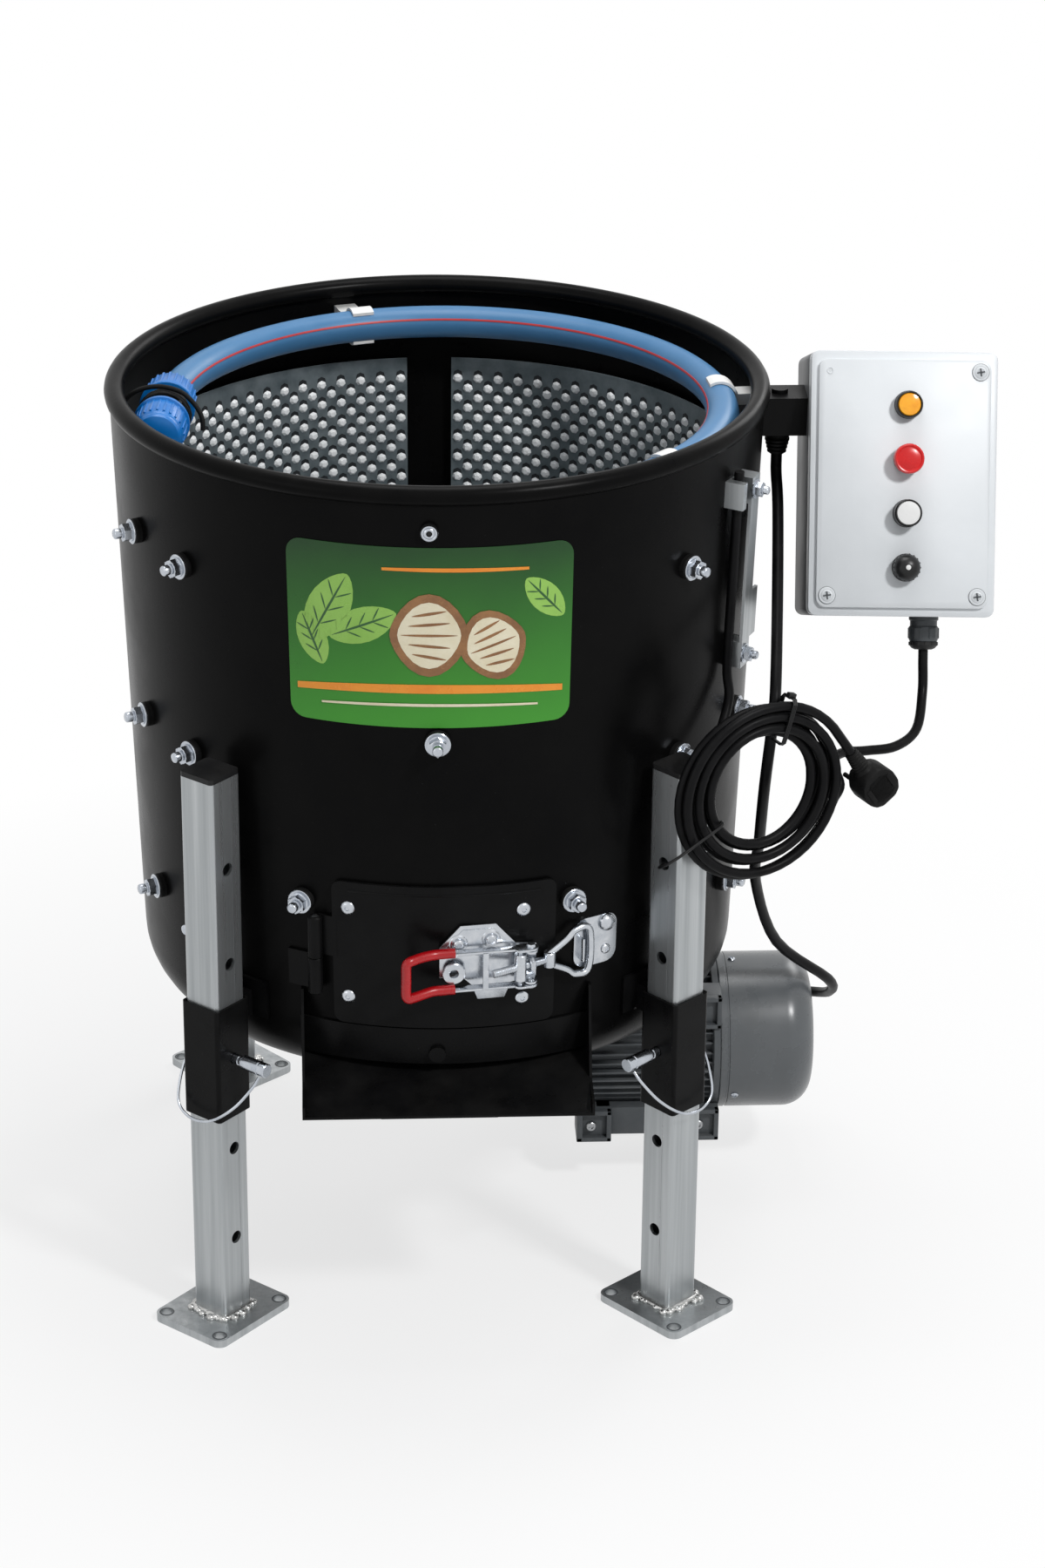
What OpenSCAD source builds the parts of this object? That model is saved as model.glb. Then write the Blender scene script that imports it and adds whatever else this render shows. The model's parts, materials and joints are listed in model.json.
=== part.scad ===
// Walnut huller as an assembly of named pieces. Millimetres, +Z up.
// Origin on the floor under the drum's axis, hatch towards -Y, control box towards +X.

/* [Drum] */
// Rim outside diameter
rim_d = 640; // [560:1:720]
// Rim top above the floor
rim_h = 892; // [820:1:960]
// Rolled lip thickness
lip_d = 19; // [12:0.5:26]
// Wall thickness
wall_t = 3; // [2:0.5:6]
// Wall outside radius under the lip
wall_top_r = 315.5; // [290:0.5:340]
// Wall outside radius at the bottom
wall_bot_r = 294.5; // [270:0.5:320]
// Drum underside above the floor
drum_z = 264; // [240:1:300]
// Rounding of the bottom edge
drum_round = 60; // [20:1:80]

/* [Liner] */
// Grater sheet thickness
liner_t = 2; // [1:0.5:4]
// Gap between wall and sheet
liner_gap = 8; // [4:0.5:14]
// Sheet lower edge above the floor
liner_z1 = 336; // [325:1:350]
// Sheet upper edge below the rim top
liner_drop = 86; // [60:1:200]
// Angle of the two front joints
liner_joint_a = 58.7; // [56:0.1:62]
// Half the open joint, degrees
liner_slit_a = 0.6; // [0.2:0.1:2]
// Half angle left bare between the side sheets at the rear
liner_back_a = 4.4; // [1:0.2:8]
// Liner bolt diameter
bolt_d = 10; // [8:1:12]
// Rubber bush diameter
bush_d = 24; // [18:1:30]
// Bush height outside the wall
bush_h = 6; // [3:0.5:10]
// Washer diameter
washer_d = 22; // [18:1:28]
// Washer thickness
washer_t = 2; // [1:0.5:3]
// Nut size across corners
nut_d = 19; // [16:0.5:24]
// Nut height
nut_h = 8; // [6:0.5:12]
// Bolt end beyond the nut
stud_out = 9; // [4:0.5:16]
// Bolt head diameter
head_d = 19; // [15:0.5:24]
// Bolt head height
head_h = 5; // [3:0.5:8]

/* [Sticker] */
// Sticker left edge angle
label_a1 = -27.7; // [-32:0.1:-20]
// Sticker right edge angle
label_a2 = 21.4; // [16:0.1:28]
// Sticker height
label_h = 179; // [120:1:190]
// Sticker upper edge below the rim top
label_drop = 58; // [45:1:80]
// Sticker thickness
label_t = 0.6; // [0.3:0.1:1.5]

/* [Water ring] */
// Pipe outside diameter
pipe_d = 32; // [25:1:40]
// Pipe wall
pipe_t = 3; // [2:0.5:5]
// Ring radius
ring_r = 267; // [255:1:275]
// Ring middle to the right of the drum axis
ring_x = 7; // [-10:1:15]
// Ring middle behind the drum axis
ring_y = -9; // [-15:1:10]
// Ring centre below the rim top
ring_drop = 33; // [27:1:50]
// Ring end angle at the right front
ring_a1 = 42; // [40:1:80]
// Ring end angle at the coupling
ring_a2 = 265; // [255:1:270]
// Coupling body diameter
joint_d = 42; // [38:1:48]
// Coupling body length
joint_l = 104; // [90:1:130]
// Coupling nut diameter
joint_nut_d = 54; // [48:1:60]
// Coupling nut length
joint_nut_l = 42; // [30:1:50]
// Clip band width
clip_w = 22; // [12:1:30]
// Clip band thickness
clip_t = 2.5; // [1.5:0.5:4]

/* [Hatch] */
// Opening half angle
hatch_open_a = 16; // [12:0.5:18]
// Opening lower edge above the floor
hatch_open_z1 = 352; // [345:1:370]
// Opening upper edge above the floor
hatch_open_z2 = 476; // [440:1:480]
// Plate left edge angle
hatch_a1 = -20.8; // [-22:0.1:-18]
// Plate right edge angle
hatch_a2 = 19.7; // [18:0.1:22]
// Plate lower edge above the floor
hatch_z1 = 340; // [336:1:350]
// Plate upper edge above the floor
hatch_z2 = 491; // [480:1:500]
// Plate thickness
hatch_t = 3; // [2:0.5:5]
// Hinge angle
hinge_a = -23.8; // [-26:0.1:-23]
// Hinge lower end above the hatch plate's lower edge
hinge_rise = 31; // [26:1:40]
// Fixed knuckle length
leaf_l = 38; // [30:1:50]
// Door knuckle length
door_knuckle_l = 43; // [30:1:50]
// Knuckle diameter
knuckle_d = 14; // [10:0.5:18]
// Hinge pin diameter
hinge_pin_d = 7; // [5:0.5:9]
// Rivet head diameter
rivet_d = 14; // [8:0.5:16]
// Rivet head height
rivet_h = 3; // [1.5:0.5:5]

/* [Latch] */
// Angle of the latch on the drum
latch_a = 8; // [4:0.5:12]
// Latch centre above the floor
latch_z = 410; // [400:1:420]
// Lever pivot, right of the latch centre
pivot_u = 34.7; // [30:0.1:40]
// Lever pivot, out from the hatch
pivot_w = 13; // [11:0.5:18]
// Pivot pin diameter
pivot_d = 6; // [4:0.5:8]
// Hook trunnion, left of the pivot
trunnion_back = 10.2; // [8:0.1:14]
// Hook trunnion, further out than the pivot
trunnion_rise = 1.2; // [0:0.1:3]
// Lever arm spacing, middle to middle
arm_gap = 39; // [32:1:48]
// Lever arm thickness
arm_t = 2.5; // [2:0.5:4]
// Lever arm height
arm_h = 9; // [6:0.5:12]
// Lever arm left end, left of the latch centre
arm_left = -44; // [-60:1:-30]
// Grip rod diameter
grip_d = 9; // [6:0.5:12]
// Grip left end, left of the latch centre
grip_left = -86; // [-100:1:-70]
// Grip spread, middle to middle
grip_span = 40; // [38:1:60]
// Step of the grip away from the door
grip_out = 11; // [0:1:15]
// Hook rod diameter
hook_d = 8; // [6:0.5:10]
// Loop rod diameter
loop_d = 7; // [5:0.5:9]
// Loop height, middle to middle
loop_span = 48; // [36:1:60]
// Loop bar, right of the latch centre
bar_u = 96; // [90:0.5:100]
// Loop bar, inward from the hatch face
bar_in = 11.5; // [10:0.5:16]
// Base plate thickness
base_t = 2.5; // [2:0.5:4]
// Catch plate thickness
catch_t = 2.5; // [2:0.5:4]
// Catch tongue rise above the loop bar's middle
tongue_rise = 2.5; // [1:0.5:4]
// Room between tongue and loop bar
tongue_gap = 2.4; // [2:0.1:4]

/* [Chute] */
// Outside width
chute_w = 277; // [240:1:284]
// Sheet thickness
chute_t = 2.5; // [1.5:0.5:4]
// Front edge in front of the drum axis
chute_front = 352; // [330:1:380]
// Front edge above the floor
chute_z1 = 271; // [255:1:275]
// Floor height at the drum
chute_z2 = 290; // [280:1:300]
// Side wall top at the drum
chute_z3 = 368; // [350:1:370]
// Side wall height at the front edge
chute_lip = 13; // [5:1:16]
// Knee of the side wall, behind the front edge
chute_knee_l = 46; // [40:1:60]
// Knee of the side wall above the front edge
chute_knee_h = 14; // [10:1:15]

/* [Stand] */
// Leg angle from the front and from the back
leg_a = 41; // [38:0.5:45]
// Gap between drum and sleeve
leg_gap = 17.1; // [12:0.1:30]
// Leg tube side
leg_s = 40; // [35:1:45]
// Leg tube wall
leg_t = 3; // [2:0.5:4]
// Corner radius of the leg tube
leg_round = 4; // [2:0.5:8]
// Leg tube top above the floor
leg_h = 587; // [520:1:640]
// Hole diameter in the legs
leg_hole_d = 13; // [11:0.5:15]
// First hole above the floor
leg_hole_z = 94; // [80:1:110]
// Hole pitch
leg_pitch = 100; // [90:1:110]
// Holes along a leg
leg_holes = 5; // [3:1:6]
// Cap thickness above the tube
cap_h = 5; // [3:0.5:8]
// Sleeve side
sleeve_s = 46; // [45:0.5:52]
// Sleeve lower end above the floor
sleeve_z1 = 231; // [220:1:240]
// Sleeve upper end above the floor
sleeve_z2 = 351; // [340:1:360]
// Saddle half angle
saddle_a = 6.3; // [5:0.1:8]
// Saddle lower edge above the floor
saddle_z1 = 324; // [320:1:335]
// Saddle upper edge above the floor
saddle_z2 = 363; // [355:1:375]
// Saddle thickness
saddle_t = 4; // [3:0.5:6]
// Foot plate side along the drum
foot_w = 90; // [80:1:110]
// Foot plate side towards the drum
foot_l = 108; // [90:1:120]
// Foot plate thickness
foot_t = 8; // [5:0.5:12]
// Foot plate corner rounding
foot_r = 10; // [4:1:16]
// Foot hole spacing along the drum
foot_hole_w = 70; // [60:1:80]
// Foot hole spacing towards the drum
foot_hole_l = 88; // [70:1:95]
// Foot hole diameter
foot_hole_d = 11; // [9:0.5:14]
// Lock pin diameter
pin_d = 10; // [8:0.5:12]
// Lock pin head diameter
pin_head_d = 14; // [12:0.5:18]
// Lock pin head length
pin_head_l = 30; // [20:1:40]
// Bare pin between sleeve and head
pin_neck = 12; // [8:1:20]
// Pin end beyond the sleeve
pin_tip = 9; // [6:1:14]
// Spring wire diameter
wire_d = 3; // [2:0.5:4]
// Base plate radius
base_r = 190; // [150:1:220]
// Base plate thickness under the drum
base_plate_t = 6; // [4:0.5:10]

/* [Drive] */
// Distance from rotor axis to motor axis
worm_a = 50; // [45:1:60]
// Motor axis above the floor
motor_z = 147.5; // [140:0.5:160]
// Rotor shaft diameter
shaft_d = 30; // [25:1:35]
// Motor shaft diameter
motor_shaft_d = 19; // [14:1:24]
// Worm outside radius
worm_r = 13.6; // [12:0.1:16]
// Worm wheel outside radius
wheel_r = 36; // [30:0.5:40]
// Worm wheel width
wheel_w = 28; // [20:1:34]
// Gearbox half width
gear_half = 60; // [56:1:70]
// Gearbox height
gear_h = 82; // [72:1:110]
// Gearbox neck diameter
neck_d = 110; // [90:1:130]
// Gearbox flange diameter
flange_d = 170; // [150:1:190]
// Gearbox flange thickness
flange_t = 12; // [8:1:16]
// Motor face, right of the rotor axis
motor_x1 = 128; // [120:1:140]
// Motor frame end, right of the rotor axis
motor_x2 = 292; // [280:1:310]
// Fan cowl end, right of the rotor axis
motor_x3 = 391; // [370:1:420]
// Motor frame diameter
motor_d = 146; // [130:1:160]
// Fan cowl diameter
cowl_d = 163; // [150:1:180]
// Fan cowl sheet thickness
cowl_t = 2.5; // [1.5:0.5:4]
// Fan cowl end rounding
cowl_round = 30; // [10:1:45]
// Mounting pads, height from the motor axis
pad_rise = 92; // [80:1:95]
// Upper pad tops above the motor axis
pad_top = 75; // [75:1:92]
// Mounting pads, spread from the motor axis
pad_out = 75; // [65:1:85]
// Mounting pad length
pad_l = 36; // [25:1:45]
// Mounting pad depth
pad_d = 36; // [20:1:40]
// Rotor disc radius
rotor_r = 250; // [220:1:260]
// Rotor disc thickness
rotor_t = 8; // [5:0.5:12]
// Rotor disc underside above the floor
rotor_z = 301; // [295:1:310]
// Rotor rib height
rib_h = 16; // [8:1:24]

/* [Control box] */
// Box width
box_w = 180; // [160:1:200]
// Box height
box_l = 254; // [230:1:280]
// Box depth with lid
box_d = 111; // [90:1:130]
// Lid depth
lid_d = 18; // [10:1:30]
// Raised lid panel height
lid_rise = 4; // [2:0.5:8]
// Box wall
box_t = 3; // [2:0.5:5]
// Corner rounding of the box
box_r = 8; // [4:1:14]
// Lid middle, right of the drum axis
box_x = 444.6; // [430:0.1:460]
// Lid middle, behind the drum axis
box_y = -72.6; // [-90:0.1:-50]
// Lid middle below the rim top
box_drop = 91.1; // [70:0.1:110]
// Lean of the box towards the back
box_tilt = 22; // [0:1:30]
// Lean of the box to the right
box_roll = 1.3; // [-3:0.1:3]
// Controls, right of the lid middle
control_x = 3; // [-5:0.5:8]
// Lowest control, above the lid middle
control_z = -80; // [-90:0.5:-60]
// Control pitch
control_pitch = 51.9; // [45:0.1:60]
// Control barrel diameter
barrel_d = 22; // [16:0.5:30]
// Control barrel length behind the lid
barrel_l = 26; // [15:1:40]
// Bezel diameter
bezel_d = 27; // [24:0.5:32]
// Bezel height
bezel_h = 4; // [2:0.5:8]
// Stem diameter
stem_d = 15; // [10:0.5:18]
// Red button diameter
red_d = 29; // [26:0.5:36]
// White button diameter
white_d = 23; // [18:0.5:26]
// Lamp lens diameter
lamp_d = 24; // [18:0.5:26]
// Knob diameter at the foot
knob_d = 25; // [20:0.5:30]
// Knob diameter at the top
knob_top_d = 15; // [10:0.5:20]
// Height of the button caps and lens
cap_l = 9; // [6:0.5:14]
// Knob height
knob_l = 17; // [10:0.5:24]
// Button travel
press = 4; // [2:0.5:6]
// Arm height
arm_box_h = 38; // [30:1:46]
// Arm depth
arm_box_d = 40; // [30:1:50]
// Arm middle below the rim top
arm_drop = 41; // [39:1:52]
// Arm bolt head diameter
arm_bolt_d = 16; // [12:0.5:20]
// Gland nut diameter
gland_d = 31; // [22:0.5:36]
// Gland nut length
gland_l = 32; // [12:1:40]
// Boot flange diameter
boot_d = 25; // [20:0.5:30]
// Boot length
boot_l = 24; // [18:1:32]

/* [Guard strip] */
// Guard angle
guard_a = 62; // [55:0.5:82]
// Guard upper bolt below the rim top
guard_drop = 63; // [50:1:125]
// Guard bolt pitch
guard_l = 168; // [140:1:180]
// Strip width
guard_w = 22; // [16:1:30]
// Strip thickness
guard_t = 3; // [2:0.5:5]
// Strip distance from the wall
guard_off = 15; // [12:0.5:20]

/* [Cables] */
// Cable diameter
cable_d = 9.5; // [7:0.5:11]
// Motor cable diameter
motor_cable_d = 12; // [8:0.5:13]
// Coil outer loop radius
coil_r = 86; // [80:1:90]
// Loops in each layer of the coil
coil_turns = 3; // [2:1:3]
// Step between loops
coil_step = 10.4; // [10:0.1:12]
// Swell of the outer loop away from the tie
coil_swell = 8; // [0:0.5:10]
// Further step between loops away from the tie, as a share
coil_spread = 0.5; // [0:0.05:0.6]
// Angle between the spread of the two layers, halved
coil_fan = -35; // [-45:1:45]
// Turn of the coil from the front
coil_turn = 25; // [15:1:35]
// Coil start angle
coil_a1 = -25; // [-40:1:20]
// Coil end angle
coil_a2 = 35; // [20:1:60]
// Plug body diameter
plug_d = 38; // [32:1:44]
// Plug body length
plug_l = 36; // [30:1:50]
// Plug contact pin diameter
contact_d = 4.8; // [4:0.1:5]
// Plug contact pin length
contact_l = 19; // [15:1:20]
// Tie width
tie_w = 5; // [3:0.5:8]
// Tie thickness
tie_t = 1.5; // [1:0.5:3]

/* [Fits] */
// Running clearance on a radius
run_fit = 0.06; // [0.02:0.01:0.1]
// Seat clearance between fixed pieces
seat_fit = 0.05; // [0.02:0.01:0.3]
// Air between pieces that move past each other
air = 0.5; // [0.3:0.1:1]
// Overrun of cuts
over = 1; // [0.5:0.5:4]

/* [Hidden] */
$fn = 48;
smooth_fn = 96;

rim_r = rim_d / 2;
liner_z2 = rim_h - liner_drop;
label_z2 = rim_h - label_drop;
label_z1 = label_z2 - label_h;
ring_z = rim_h - ring_drop;
hinge_z1 = hatch_z1 + hinge_rise;
hinge_z2 = hinge_z1 + leaf_l;
hinge_z3 = hinge_z2 + door_knuckle_l;
leg_r = wall_r(saddle_z1) + leg_gap + sleeve_s / 2;
box_z = rim_h - box_drop;
arm_box_z = rim_h - arm_drop;
guard_z2 = rim_h - guard_drop;
guard_z1 = guard_z2 - guard_l;
corner_steps = 10;
catch_down = 22;
catch_up = 30;
panel_edge = 7;
screw_inset = 10.5;
catch_z1 = latch_z - catch_down;
catch_z2 = latch_z + catch_up;
round_z = drum_z + drum_round;
lip_z = rim_h - lip_d / 2;
lip_wall_r = wall_r(lip_z);
wall_lean = atan((wall_top_r - wall_bot_r) / (rim_h - drum_z));
hatch_gap = 1;
label_glue = 0.2;
liner_in = wall_t + liner_gap + liner_t;
bolt_air = 0.5;
bolt_out = bush_h + washer_t + nut_h + stud_out;
face_r = wall_r(latch_z) + hatch_gap + hatch_t;
hinge_r = wall_r(hinge_z3) + knuckle_d / 2 + air;
pin_z = leg_hole_z + 2 * leg_pitch;
plate_z = drum_z - base_plate_t;
coil_c = [297, -262, 568];
coil_layer = coil_step / 2;
coil_sweep = 360 * 2 * coil_turns - (coil_a2 - coil_a1);
coil_ring_a = 15;
coil_tail = 36;
tube_sides = 8;
coil_sides = 6;
wire_sides = 6;

// Liner bolts: angle from the front and share of the sheet's height
liner_front_shares = [[-50.8, 0.932], [-50.8, 0.526], [-50.8, 0.135], [46.3, 0.934], [46.3, 0.526],
  [46.3, 0.135], [-26.7, 0.271], [23, 0.274], [-1.7, 0.648]];
liner_side_shares = [[-66.5, 0.947], [-67, 0.542], [-66.2, 0.153], [67, 0.542], [67, 0.147], [168.5, 0.64],
  [168.5, 0.37], [168.5, 0.1], [-168.5, 0.64], [-168.5, 0.37], [-168.5, 0.1]];
// Rivets: angle from the front and share of the plate's height
hatch_rivet_shares = [[-17.8, 0.8212], [13.6, 0.8146], [-18, 0.1921], [13.6, 0.1854]];
catch_rivet_shares = [[30.3, 0.8269], [30.3, 0.2692]];
liner_front_spots = spots(liner_front_shares, liner_z1, liner_z2);
liner_side_spots = spots(liner_side_shares, liner_z1, liner_z2);
hatch_rivet_spots = spots(hatch_rivet_shares, hatch_z1, hatch_z2);
catch_rivet_spots = spots(catch_rivet_shares, catch_z1, catch_z2);
leg_spots = [[-leg_a, 1], [leg_a, -1], [180 - leg_a, 1], [leg_a - 180, -1]];
clip_as = [48, 96, 197];
panel_w = box_w - 2 * panel_edge;
panel_l = box_l - 2 * (panel_edge + over);
lid_screw_spots = [for (x = [-1, 1]) for (z = [-1, 1])
  [x * (panel_w / 2 - screw_inset), z * (panel_l / 2 - screw_inset - over)]];

// Outline of the latch base as shares of its reach to the left and up
latch_left = 51;
latch_up = 42;
latch_shares = [[-1, -0.2857], [-1, 0.4762], [-0.6078, 1], [0.0588, 1], [0.4314, 0.4762],
  [0.8235, 0.4286], [0.8235, -0.4286], [0.3529, -0.5238], [0.2353, -0.9048], [-0.2745, -0.9048],
  [-0.3922, -0.5238], [-0.5882, -0.2857]];
latch_bolt_shares = [[-0.6471, 0.5714], [-0.0392, 0.6429]];
latch_outline = [for (p = latch_shares) [p[0] * latch_left, p[1] * latch_up]];
latch_bolt_spots = [for (p = latch_bolt_shares) [p[0] * latch_left, p[1] * latch_up]];
eye_u = -38;
eye_v = -5;

// Cable routes, chosen by hand
lead_route = [[470, -97, 594], [461, -129, 569], [438, -154, 562], [408, -168, 564], [383, -181, 568],
  [371, -201, 567]];
motor_route = [[330, 0, 800], [330, -3, 788], [331, -36, 764], [326, -130, 712], [313, -222, 660],
  [308, -236, 628], [305, -214, 550], [308, -160, 466], [314, -90, 388], [346, -18, 284], [408, 36, 212],
  [417, 84, 172], [402, 126, 150], [362, 143, 147.5]];
bond_route = [[273, -168, 620], [261, -193, 588], [250, -222, 560]];
bond_end = [240.2, -238.2, 550];
strap_route = [[206, -267, 494], [200, -284, 498], [213, -301, 514], [239, -307, 538], [256, -296, 546],
  [257, -288, 547]];
wire_route = [[32, -6.8, 0], [33, -14, -14], [28, -29, -36], [10, -36, -52], [-12, -36, -54],
  [-31, -26, -40], [-35, -14, -18], [-29, -6.8, 0]];

function spots(t, z1, z2) = [for (p = t) [p[0], z1 + p[1] * (z2 - z1)]];
function wall_r(z) = wall_bot_r + (wall_top_r - wall_bot_r) * (z - drum_z) / (rim_h - drum_z);
function round_c() = wall_r(round_z) - drum_round;
function corner(r, n) = [for (i = [0:n]) [round_c() + r * sin(90 * i / n), round_z - r * cos(90 * i / n)]];
function wall_point(a, off, z) = [(wall_r(z) + off) * sin(a), -(wall_r(z) + off) * cos(a), z];
function latch_point(u, w) = [u * cos(latch_a) + (face_r + w) * sin(latch_a),
  u * sin(latch_a) - (face_r + w) * cos(latch_a)];
function bar_spot() = latch_point(bar_u, -bar_in);
function bar_a() = atan2(bar_spot()[0], -bar_spot()[1]);
function unit(v) = v / norm(v);
function bend(a, b, c, d, t) = (2 * b + (c - a) * t + (2 * a - 5 * b + 4 * c - d) * t * t
  + (3 * b - a - 3 * c + d) * t * t * t) / 2;
function route(p, n) = [for (i = [0:len(p) - 2]) for (k = [0:n - (i == len(p) - 2 ? 0 : 1)])
  bend(p[max(i - 1, 0)], p[i], p[i + 1], p[min(i + 2, len(p) - 1)], k / n)];
function tangents(p) = [for (i = [0:len(p) - 1]) unit(p[min(i + 1, len(p) - 1)] - p[max(i - 1, 0)])];
function side_of(t) = unit(cross(t, abs(t[2]) < abs(t[0]) ? [0, 0, 1] : [1, 0, 0]));
function normals(t) = [for (i = 0, n = side_of(t[0]); i < len(t);
  i = i + 1, n = i < len(t) ? unit(n - (n * t[i]) * t[i]) : n) n];
function coil_point(s) = let (a = coil_a1 - s, n = min(s, coil_sweep - s) / 360,
  k = max(-1, min(1, (coil_sweep / 2 - s) / 90)), w = (1 - cos(a - tie_a - coil_fan * k)) / 2,
  r = coil_r + coil_swell * w - coil_step * n * (1 + coil_spread * w))
  [r * cos(a), coil_layer * k, r * sin(a)];
function coil_loops() = [for (i = [0:coil_sweep / coil_ring_a]) coil_point(i * coil_ring_a)];
function coil_in() = [sin(coil_a1), 0, -cos(coil_a1)];
function coil_out() = [sin(coil_a2), 0, -cos(coil_a2)];
function coil_path() = let (p = coil_loops(), n = len(p) - 1) concat([p[0] - cable_d * coil_in()], p,
  [p[n] + cable_d * coil_out(), p[n] + coil_tail * coil_out()]);
function to_world(p) = coil_c + [p[0] * cos(coil_turn) - p[1] * sin(coil_turn),
  p[0] * sin(coil_turn) + p[1] * cos(coil_turn), p[2]];
function box_point(p) = let (x = p[0] * cos(box_roll) + p[2] * sin(box_roll),
  z = p[2] * cos(box_roll) - p[0] * sin(box_roll)) [box_x + x,
  box_y + p[1] * cos(box_tilt) + z * sin(box_tilt), box_z - p[1] * sin(box_tilt) + z * cos(box_tilt)];
function self_gap(p, skip) = min([for (i = [0:len(p) - 1]) for (j = [i + skip:1:len(p) - 1])
  norm(p[i] - p[j])]) - cable_d;
echo(coil_least_gap = self_gap(coil_path(), 12));
echo(coil_length = let (p = coil_path()) [for (i = 1, s = 0; i < len(p); s = s + norm(p[i] - p[i - 1]),
  i = i + 1) s + norm(p[i] - p[i - 1])][len(p) - 2]);

module tube(p, d, k) {
  t = tangents(p);
  n = normals(t);
  pts = [for (i = [0:len(p) - 1]) for (j = [0:k - 1])
    p[i] + d / 2 * (cos(360 * j / k) * n[i] + sin(360 * j / k) * cross(t[i], n[i]))];
  sides = [for (i = [0:len(p) - 2]) for (j = [0:k - 1])
    [i * k + j, (i + 1) * k + j, (i + 1) * k + (j + 1) % k, i * k + (j + 1) % k]];
  last = (len(p) - 1) * k;
  polyhedron(pts, concat(sides, [[for (j = [0:k - 1]) j]], [[for (j = [0:k - 1]) last + k - 1 - j]]),
    convexity = 10);
}

module out_cyl(d, w1, w2) {
  translate([0, -w1, 0]) rotate([90, 0, 0]) cylinder(d = d, h = w2 - w1);
}

module on_wall(a, z) {
  rotate([0, 0, a]) translate([0, -wall_r(z), z]) children();
}

module cone_band(a1, a2, off1, off2, z1, z2) {
  rotate([0, 0, a1 - 90]) rotate_extrude(angle = a2 - a1, $fn = smooth_fn)
    polygon([[wall_r(z1) + off1, z1], [wall_r(z1) + off2, z1], [wall_r(z2) + off2, z2],
      [wall_r(z2) + off1, z2]]);
}

module drum_core(grow) {
  rotate_extrude($fn = smooth_fn) polygon(concat([[0, drum_z - grow]],
    corner(drum_round + grow, corner_steps), [[wall_top_r + grow, rim_h], [0, rim_h]]));
}

module rod(p, q, d) {
  v = q - p;
  translate(p) rotate([0, acos(v[2] / norm(v)), atan2(v[1], v[0])]) cylinder(d = d, h = norm(v));
}

module rounded(w, l, h, r) {
  translate([-w / 2, r - l / 2, 0]) cube([w, l - 2 * r, h]);
  translate([r - w / 2, -l / 2, 0]) cube([w - 2 * r, l, h]);
  for (x = [-1, 1]) for (y = [-1, 1])
    translate([x * (w / 2 - r), y * (l / 2 - r), 0]) cylinder(r = r, h = h);
}

module at_leg(k) {
  rotate([0, 0, leg_spots[k][0]]) translate([0, -leg_r, 0]) children();
}

module along_x(d, x1, x2) {
  translate([x1, 0, 0]) rotate([0, 90, 0]) cylinder(d = d, h = x2 - x1);
}

module at_motor() {
  translate([0, worm_a, motor_z]) children();
}

module box_frame() {
  translate([box_x, box_y, box_z]) rotate([-box_tilt, 0, 0]) rotate([0, box_roll, 0]) children();
}

module box_slab(w, l, y1, y2, r) {
  translate([0, y1, 0]) rotate([-90, 0, 0]) rounded(w, l, y2 - y1, r);
}

module at_control(k) {
  box_frame() translate([control_x, -lid_rise, control_z + k * control_pitch]) children();
}

module at_latch() {
  rotate([0, 0, latch_a]) translate([0, -face_r, latch_z]) rotate([wall_lean, 0, 0]) children();
}

module at_coil() {
  translate(coil_c) rotate([0, 0, coil_turn]) children();
}

liner_hole_d = bolt_d + 2 * bolt_air;
bush_hole_d = bush_d + 2 * seat_fit;
frame_bolt_d = 8;
frame_head_d = 16;
frame_head_h = 4;
frame_hole_d = frame_bolt_d + 2 * seat_fit;
base_bolt_r = 70;
base_bolts = 4;
chute_bolt_a = -1.8;
chute_bolt_z = 312;
badge_a = -3.1;
badge_z = rim_h - arm_drop;
saddle_bolt_z = 338;
gusset_w = 30;
shaft_gap = 5;
guard_bolt_d = 8;

module wall_cuts() {
  for (s = concat(liner_front_spots, liner_side_spots)) on_wall(s[0], s[1])
    out_cyl(bush_hole_d, -wall_t - bush_h, bush_h);
}

module drum() {
  color("#141414") difference() {
    union() {
      rotate_extrude($fn = smooth_fn) polygon(concat([[shaft_d / 2 + shaft_gap, drum_z]],
        corner(drum_round, corner_steps), [[lip_wall_r, lip_z], [lip_wall_r - wall_t, lip_z]],
        [for (i = [corner_steps:-1:0]) corner(drum_round - wall_t, corner_steps)[i]],
        [[shaft_d / 2 + shaft_gap, drum_z + wall_t]]));
      rotate_extrude($fn = smooth_fn) translate([rim_r - lip_d / 2, lip_z]) circle(d = lip_d);
    }
    cone_band(-hatch_open_a, hatch_open_a, -wall_t - over, over, hatch_open_z1, hatch_open_z2);
    wall_cuts();
    for (i = [0:base_bolts - 1]) rotate([0, 0, 45 + 360 * i / base_bolts])
      translate([base_bolt_r, 0, drum_z - over]) cylinder(d = frame_hole_d, h = wall_t + 2 * over);
    for (k = [0:3]) on_wall(leg_spots[k][0], saddle_bolt_z)
      out_cyl(frame_hole_d, -wall_t - over, over);
    on_wall(chute_bolt_a, chute_bolt_z) out_cyl(frame_hole_d, -wall_t - bush_h, over);
    on_wall(badge_a, badge_z) out_cyl(frame_hole_d, -wall_t - over, over);
    for (z = [guard_z1, guard_z2]) on_wall(guard_a, z)
      out_cyl(guard_bolt_d + 2 * seat_fit, -wall_t - over, over);
    for (s = hatch_rivet_spots) on_wall(s[0], s[1]) out_cyl(rivet_d, -wall_t - over, over);
    for (s = catch_rivet_spots) on_wall(s[0], s[1])
      out_cyl(rivet_shank_d + 2 * seat_fit, -wall_t - over, over);
  }
}

rivet_shank_d = 5;

module liner_holes(spots) {
  for (s = spots) on_wall(s[0], s[1]) out_cyl(liner_hole_d, -liner_in - bush_h, -liner_gap);
}

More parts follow.
